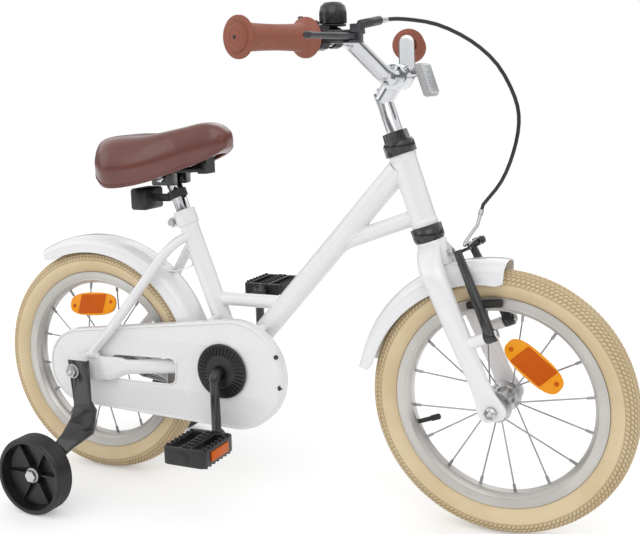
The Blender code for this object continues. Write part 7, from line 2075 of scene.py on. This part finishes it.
@dataclass
class Cockpit:
    """The stem, the handlebar and all that is clamped to it."""

    bend: Triple = (0.0195, 0.104, 0.4950)
    bar_end: Triple = (-0.0324, 0.274, 0.5106)
    centre: Pair = (0.0271, 0.4418)
    rise_offset: float = 0.040
    corner: float = 0.032
    quill: Triple = (0.0111, 0.290, 0.431)
    clamp_radius: float = 0.0172
    grip_span: Pair = (0.0717, 0.1817)
    grip_ribs: int = 15

    def build(self, bench: Bench) -> None:
        """Builds and dresses the cockpit.

        Args:
            bench: What takes the pieces.
        """
        bench.piece("stem_body", self._stem(), Finishes.CHROME, "stem")
        bench.piece("handlebar_tube", self._bar(), Finishes.CHROME, "handlebar")
        face = self.grip_span[1] + 0.0030
        for side in Side:
            name = side.label
            bench.piece(f"grip_sleeve_{name}", self._grip(side), Finishes.GRIP, f"grip_{name}")
            plug = Form().rod((0, 0, face), (0, 0, face + 0.0015), 0.0024, 20, self._grip_place(side))
            data = plug.data("grip_plug")
            bench.piece(f"grip_plug_{name}", data, Finishes.BLACK_RUBBER, body="cockpit")
        for node in ("brake_lever_mount", "brake_lever"):
            bench.smooth_copy(node, Finishes.LEVER)
        bench.smooth_copy("bell_dome", Finishes.BLACK_METAL)
        bench.smooth_copy("bell_base", Finishes.BLACK_PLASTIC)
        bench.smooth_copy("bell_lever", Finishes.BLACK_PLASTIC)
        bench.smooth_copy("front_reflector", Finishes.GREY)
        lens = Form().box((0.0040, 0.0345, 0.0385), (0.0682, 0.0, 0.4245), 0.0030, STEERING)
        bench.piece("front_reflector_lens", lens.data("front_reflector_lens"), Finishes.CLEAR, body="cockpit")

    def _stem(self) -> Mesh:
        """The quill stem with its clamp and bolts.

        Returns:
            Its mesh.
        """
        radius, low, high = self.quill
        x, z = self.centre
        form = Form().rod((0, 0, low), (0, 0, high), radius, 40, STEERING, 0.0015)
        form.sweep([Vector((-0.002, 0, high - 0.012)), Vector((x, 0, z))], 0.0125, 36, STEERING)
        hexagon(form, (0, 0, high), (0, 0, high + 0.0055), 0.0055, STEERING)
        across = STEERING @ along_y((x, 0.0, z))
        form.rod((0, 0, -0.018), (0, 0, 0.018), self.clamp_radius, 44, across, 0.0014)
        form.box((0.014, 0.0212, 0.0118), (x + 0.0172, 0.0, z), 0.0016, STEERING)
        hexagon(form, (x + 0.0190, 0, z + 0.0050), (x + 0.0190, 0, z + 0.0096), 0.0046, STEERING)
        return form.data("stem_body")

    def _bar(self) -> Mesh:
        """The bent handlebar.

        Returns:
            Its mesh.
        """
        x, z = self.centre
        half = [Vector(self.bar_end), Vector(self.bend), Vector((x, self.rise_offset, z))]
        corners = half + [Vector((point.x, -point.y, point.z)) for point in reversed(half)]
        path = rounded(corners, self.corner, 16)
        return Form().sweep(path, BAR_RADIUS, 40, STEERING).data("handlebar_tube")

    def _grip(self, side: Side) -> Mesh:
        """One ribbed grip with its flange and its ringed end cap.

        Args:
            side: The side it is on.

        Returns:
            Its mesh.
        """
        start, end = self.grip_span
        points = [(0.0, end + 0.0040), (0.0070, end + 0.0040), (0.0080, end + 0.0032), (0.0090, end + 0.0038),
                  (0.0125, end + 0.0036), (0.0135, end + 0.0026), (0.0160, end + 0.0026), (0.0172, end),
                  (0.0228, end), (0.0238, end - 0.0010), (0.0238, end - 0.0032), (0.0228, end - 0.0044),
                  (0.0176, end - 0.0070)]
        first, last = end - 0.0100, start + 0.0105
        for rib in range(self.grip_ribs):
            step = (last - first) / self.grip_ribs
            near = first + step * rib
            share = rib / (self.grip_ribs - 1)
            radius = 0.0147 + 0.0014 * (2 * share - 1) ** 2
            points += [(radius - 0.0006, near), (radius, near + step * 0.22), (radius, near + step * 0.78)]
        points += [(0.0174, start + 0.0075), (0.0228, start + 0.0050), (0.0238, start + 0.0038),
                   (0.0238, start + 0.0010), (0.0228, start), (0.0118, start), (0.0118, end - 0.0015),
                   (0.0, end - 0.0015)]
        return Form().lathe(points, 56, self._grip_place(side), False).data(f"grip_sleeve_{side.label}", 50.0)

    def _grip_place(self, side: Side) -> Matrix:
        """The frame that runs out along one grip from the bar's bend.

        Args:
            side: The side it is on.

        Returns:
            The placement.
        """
        bend = Vector((self.bend[0], side.value * self.bend[1], self.bend[2]))
        tip = Vector((self.bar_end[0], side.value * self.bar_end[1], self.bar_end[2]))
        return STEERING @ pointing(bend, tip - bend)


@dataclass
class SaddleSet:
    """The padded saddle on its rails and post."""

    stations: tuple[tuple[float, ...], ...] = (
        (-0.2830, 0.0240, 0.5060, 0.4880, 0.4890),
        (-0.2775, 0.0440, 0.5150, 0.4720, 0.4885),
        (-0.2620, 0.0630, 0.5215, 0.4580, 0.4880),
        (-0.2360, 0.0735, 0.5240, 0.4500, 0.4880),
        (-0.1920, 0.0590, 0.5250, 0.4555, 0.4882),
        (-0.1450, 0.0350, 0.5335, 0.4720, 0.4935),
        (-0.1130, 0.0268, 0.5395, 0.4830, 0.5005),
        (-0.0900, 0.0215, 0.5365, 0.4930, 0.5050),
        (-0.0760, 0.0130, 0.5280, 0.5020, 0.5080),
    )
    section: tuple[Pair, ...] = ((-0.98, 0.0), (-1.03, 0.45), (-0.72, 0.92), (0.0, 1.0), (0.72, 0.92),
                                 (1.03, 0.45), (0.98, 0.0))
    wall: float = 0.009
    nose: float = 0.0030

    def build(self, bench: Bench) -> None:
        """Builds and dresses the saddle and what carries it.

        Args:
            bench: What takes the pieces.
        """
        cushion = bench.piece("saddle_pad", self._pad(), Finishes.VINYL, "saddle_cushion")
        bench.piece("saddle_piping", self._piping(), Finishes.VINYL, body="saddle")
        bench.smooth_copy("saddle_base", Finishes.BLACK_PLASTIC)
        bench.smooth_copy("saddle_clamp", Finishes.BLACK_METAL)
        bench.smooth_copy("seat_post", Finishes.CHROME)
        bench.smooth_copy("rear_reflector", Finishes.BLACK_PLASTIC)

    def _ring(self, row: Sequence[float], shrink: float = 1.0, shift: float = 0.0) -> list[Vector]:
        """The pad's section at one place along it.

        Args:
            row: The place, half width, top, side bottom and underside there.
            shrink: A factor on the section about its middle.
            shift: How far the section is moved along X.

        Returns:
            The section's points.
        """
        x, half, top, bottom, under = row
        under = bottom + (under - bottom) * min(1.0, max(0.05, (half - 0.020) / 0.007))
        thick = min(self.wall, half * 0.3)
        outer = smooth_path([(y * half, bottom + z * (top - bottom), 0.0) for y, z in self.section], 6)
        inside = half * 0.98 - thick
        inner = [(inside, bottom + 0.0003), (inside * 0.94, max(under - 0.002, bottom + 0.0005)),
                 (inside * 0.86, under)]
        inner += [(-y, z) for y, z in reversed(inner)]
        middle = (top + under) / 2
        flat = [(point.x, point.y) for point in outer] + inner
        return [Vector((x + shift, y * shrink, middle + (z - middle) * shrink)) for y, z in flat]

    def _pad(self) -> Mesh:
        """The crowned pad with its rounded tail and nose.

        Returns:
            Its mesh.
        """
        rows = spline_rows(self.stations, 7)
        turns = [math.radians(angle) for angle in (35.0, 60.0, 85.0)]
        tail = [self._ring(rows[0], math.cos(t), -self.nose * math.sin(t)) for t in reversed(turns)]
        nose = [self._ring(rows[-1], math.cos(t), self.nose * math.sin(t)) for t in turns]
        return Form().loft(tail + [self._ring(row) for row in rows] + nose).data("saddle_pad", 60.0)

    def _piping(self) -> Mesh:
        """The sewn edge that runs round the pad's lower rim.

        Returns:
            Its mesh.
        """
        rows = spline_rows(self.stations, 7)
        near = [Vector((x, y * 0.995, bottom + 0.0035)) for x, y, _, bottom, _ in rows]
        far = [Vector((point.x, -point.y, point.z)) for point in reversed(near)]
        return Form().sweep(near + far, 0.0011, 8, loop=True).data("saddle_piping", 60.0)


@dataclass
class Stabilisers:
    """The two stabiliser wheels on their brackets."""

    radius: float = 0.056
    half: float = 0.015
    place: Triple = (-0.304, 0.187, 0.056)
    tread_lines: int = 6

    def build(self, bench: Bench) -> None:
        """Builds and dresses both stabilisers.

        Args:
            bench: What takes the pieces.
        """
        for side in Side:
            node = f"stabiliser_wheel_{side.label}"
            origin = (self.place[0], side.value * self.place[1], self.place[2])
            place = along_y(origin) @ side.outward
            bench.piece(f"{node}_tread", self._wheel(place), Finishes.BLACK_PLASTIC, node)
            bench.piece(f"{node}_centre", self._centre(place), Finishes.GREY, body=bench.body_of[node])
            bench.smooth_copy(f"stabiliser_bracket_{side.label}", Finishes.BLACK_METAL)
            nut = Form()
            hexagon(nut, (0, 0, 0.0062), (0, 0, 0.0115), 0.0092, place)
            data = nut.data("stabiliser_nut")
            bench.piece(f"stabiliser_nut_{side.label}", data, Finishes.STEEL, body="frame")
            data = self._axle_end(side)
            bench.piece(f"rear_axle_nut_{side.label}", data, Finishes.STEEL, body="frame")

    @staticmethod
    def _axle_end(side: Side) -> Mesh:
        """The rear axle's broad washer and domed nut outside the bracket.

        Args:
            side: The side it is on.

        Returns:
            Its mesh.
        """
        place = along_y(REAR_AXLE) @ side.outward
        form = Form().rod((0, 0, 0.0782), (0, 0, 0.0797), 0.0112, 32, place)
        hexagon(form, (0, 0, 0.0795), (0, 0, 0.0856), 0.0094, place)
        form.rod((0, 0, 0.0850), (0, 0, 0.0882), 0.0050, 20, place, 0.0015)
        return form.data("rear_axle_nut")

    def _wheel(self, place: Matrix) -> Mesh:
        """A wheel with its dished face, ribs and shallow tread lines.

        Args:
            place: Where the wheel's axis is.

        Returns:
            Its mesh.
        """
        r, h = self.radius, self.half
        points = [(0.0045, h - 0.0085), (0.0115, h - 0.0085), (0.0135, h - 0.0200), (0.0455, h - 0.0170),
                  (0.0480, h - 0.0006), (0.0490, h), (r - 0.0030, h), (r, h - 0.0035)]
        for line in range(self.tread_lines):
            middle = (h - 0.0062) * (1 - 2 * line / (self.tread_lines - 1))
            for rise, shift in ((0.0, 0.0011), (0.0012, 0.0006), (0.0012, -0.0006), (0.0, -0.0011)):
                points.append((r - rise, middle + shift))
        points += [(r, 0.0035 - h), (r - 0.0030, -h), (0.0480, -h), (0.0460, 0.0040 - h),
                   (0.0120, 0.0030 - h), (0.0045, 0.0030 - h)]
        form = Form().lathe(softened(points, 0.0006, steps=2), 96, place)
        for rib in range(6):
            angle = math.tau * rib / 6
            spot = place @ Matrix.Rotation(angle, 4, "Z")
            form.box((0.0345, 0.0028, 0.0100), (0.0295, 0.0, h - 0.0165), 0.0008, spot)
        return form.data("stabiliser_tread")

    def _centre(self, place: Matrix) -> Mesh:
        """The wheel's lighter hub ring.

        Args:
            place: Where the wheel's axis is.

        Returns:
            Its mesh.
        """
        h = self.half
        points = [(0.0046, h - 0.0076), (0.0098, h - 0.0076), (0.0108, h - 0.0084), (0.0108, h - 0.0100),
                  (0.0046, h - 0.0100)]
        return Form().lathe(softened(points, 0.0004), 40, place).data("stabiliser_centre")


@dataclass
class SmallParts:
    """Small parts of the frame that keep their shape and get their finish."""

    steel: tuple[str, ...] = ("seat_clamp_bolt", "coaster_brake_arm", "front_axle", "rear_axle",
                              "bottom_bracket_cup_right", "bottom_bracket_cup_left")
    black: tuple[str, ...] = ("headset_upper", "headset_lower", "crank", "chainring", "rear_sprocket")

    def build(self, bench: Bench) -> None:
        """Dresses the parts.

        Args:
            bench: What takes the pieces.
        """
        for node in self.steel:
            bench.smooth_copy(node, Finishes.STEEL, 34.0)
        for node in self.black:
            bench.smooth_copy(node, Finishes.BLACK_METAL, 34.0)


def wheels() -> tuple[Wheel, Wheel]:
    """The front and the rear wheel.

    Returns:
        The front wheel and the rear wheel.
    """
    front = Wheel("front", FRONT_AXLE, 0.0115, 0.0205, ((0.009, 0.0385), (0.009, 0.0385)),
                  (0.072, math.radians(50.0)), math.radians(200.0))
    rear = Wheel("rear", REAR_AXLE, 0.0205, 0.0300, ((0.0180, 0.0395), (0.0150, 0.0325)),
                 (0.0885, math.radians(94.0)), math.radians(250.0))
    return front, rear


def main() -> None:
    """Builds the studio and every part of the bicycle in order."""
    logging.basicConfig(level=logging.INFO, format="%(message)s", stream=sys.stdout)
    Studio().build()
    bench = Bench()
    parts = (*wheels(), FrameTubes(), Mudguards(), ChainGuard(), Drive(), ForkSet(), FrontBrake(),
             Cockpit(), SaddleSet(), Stabilisers(), SmallParts())
    for part in parts:
        LOG.info("building %s", type(part).__name__)
        part.build(bench)
    LOG.info("%d pieces", bench.count)


if __name__ == "__main__":
    main()
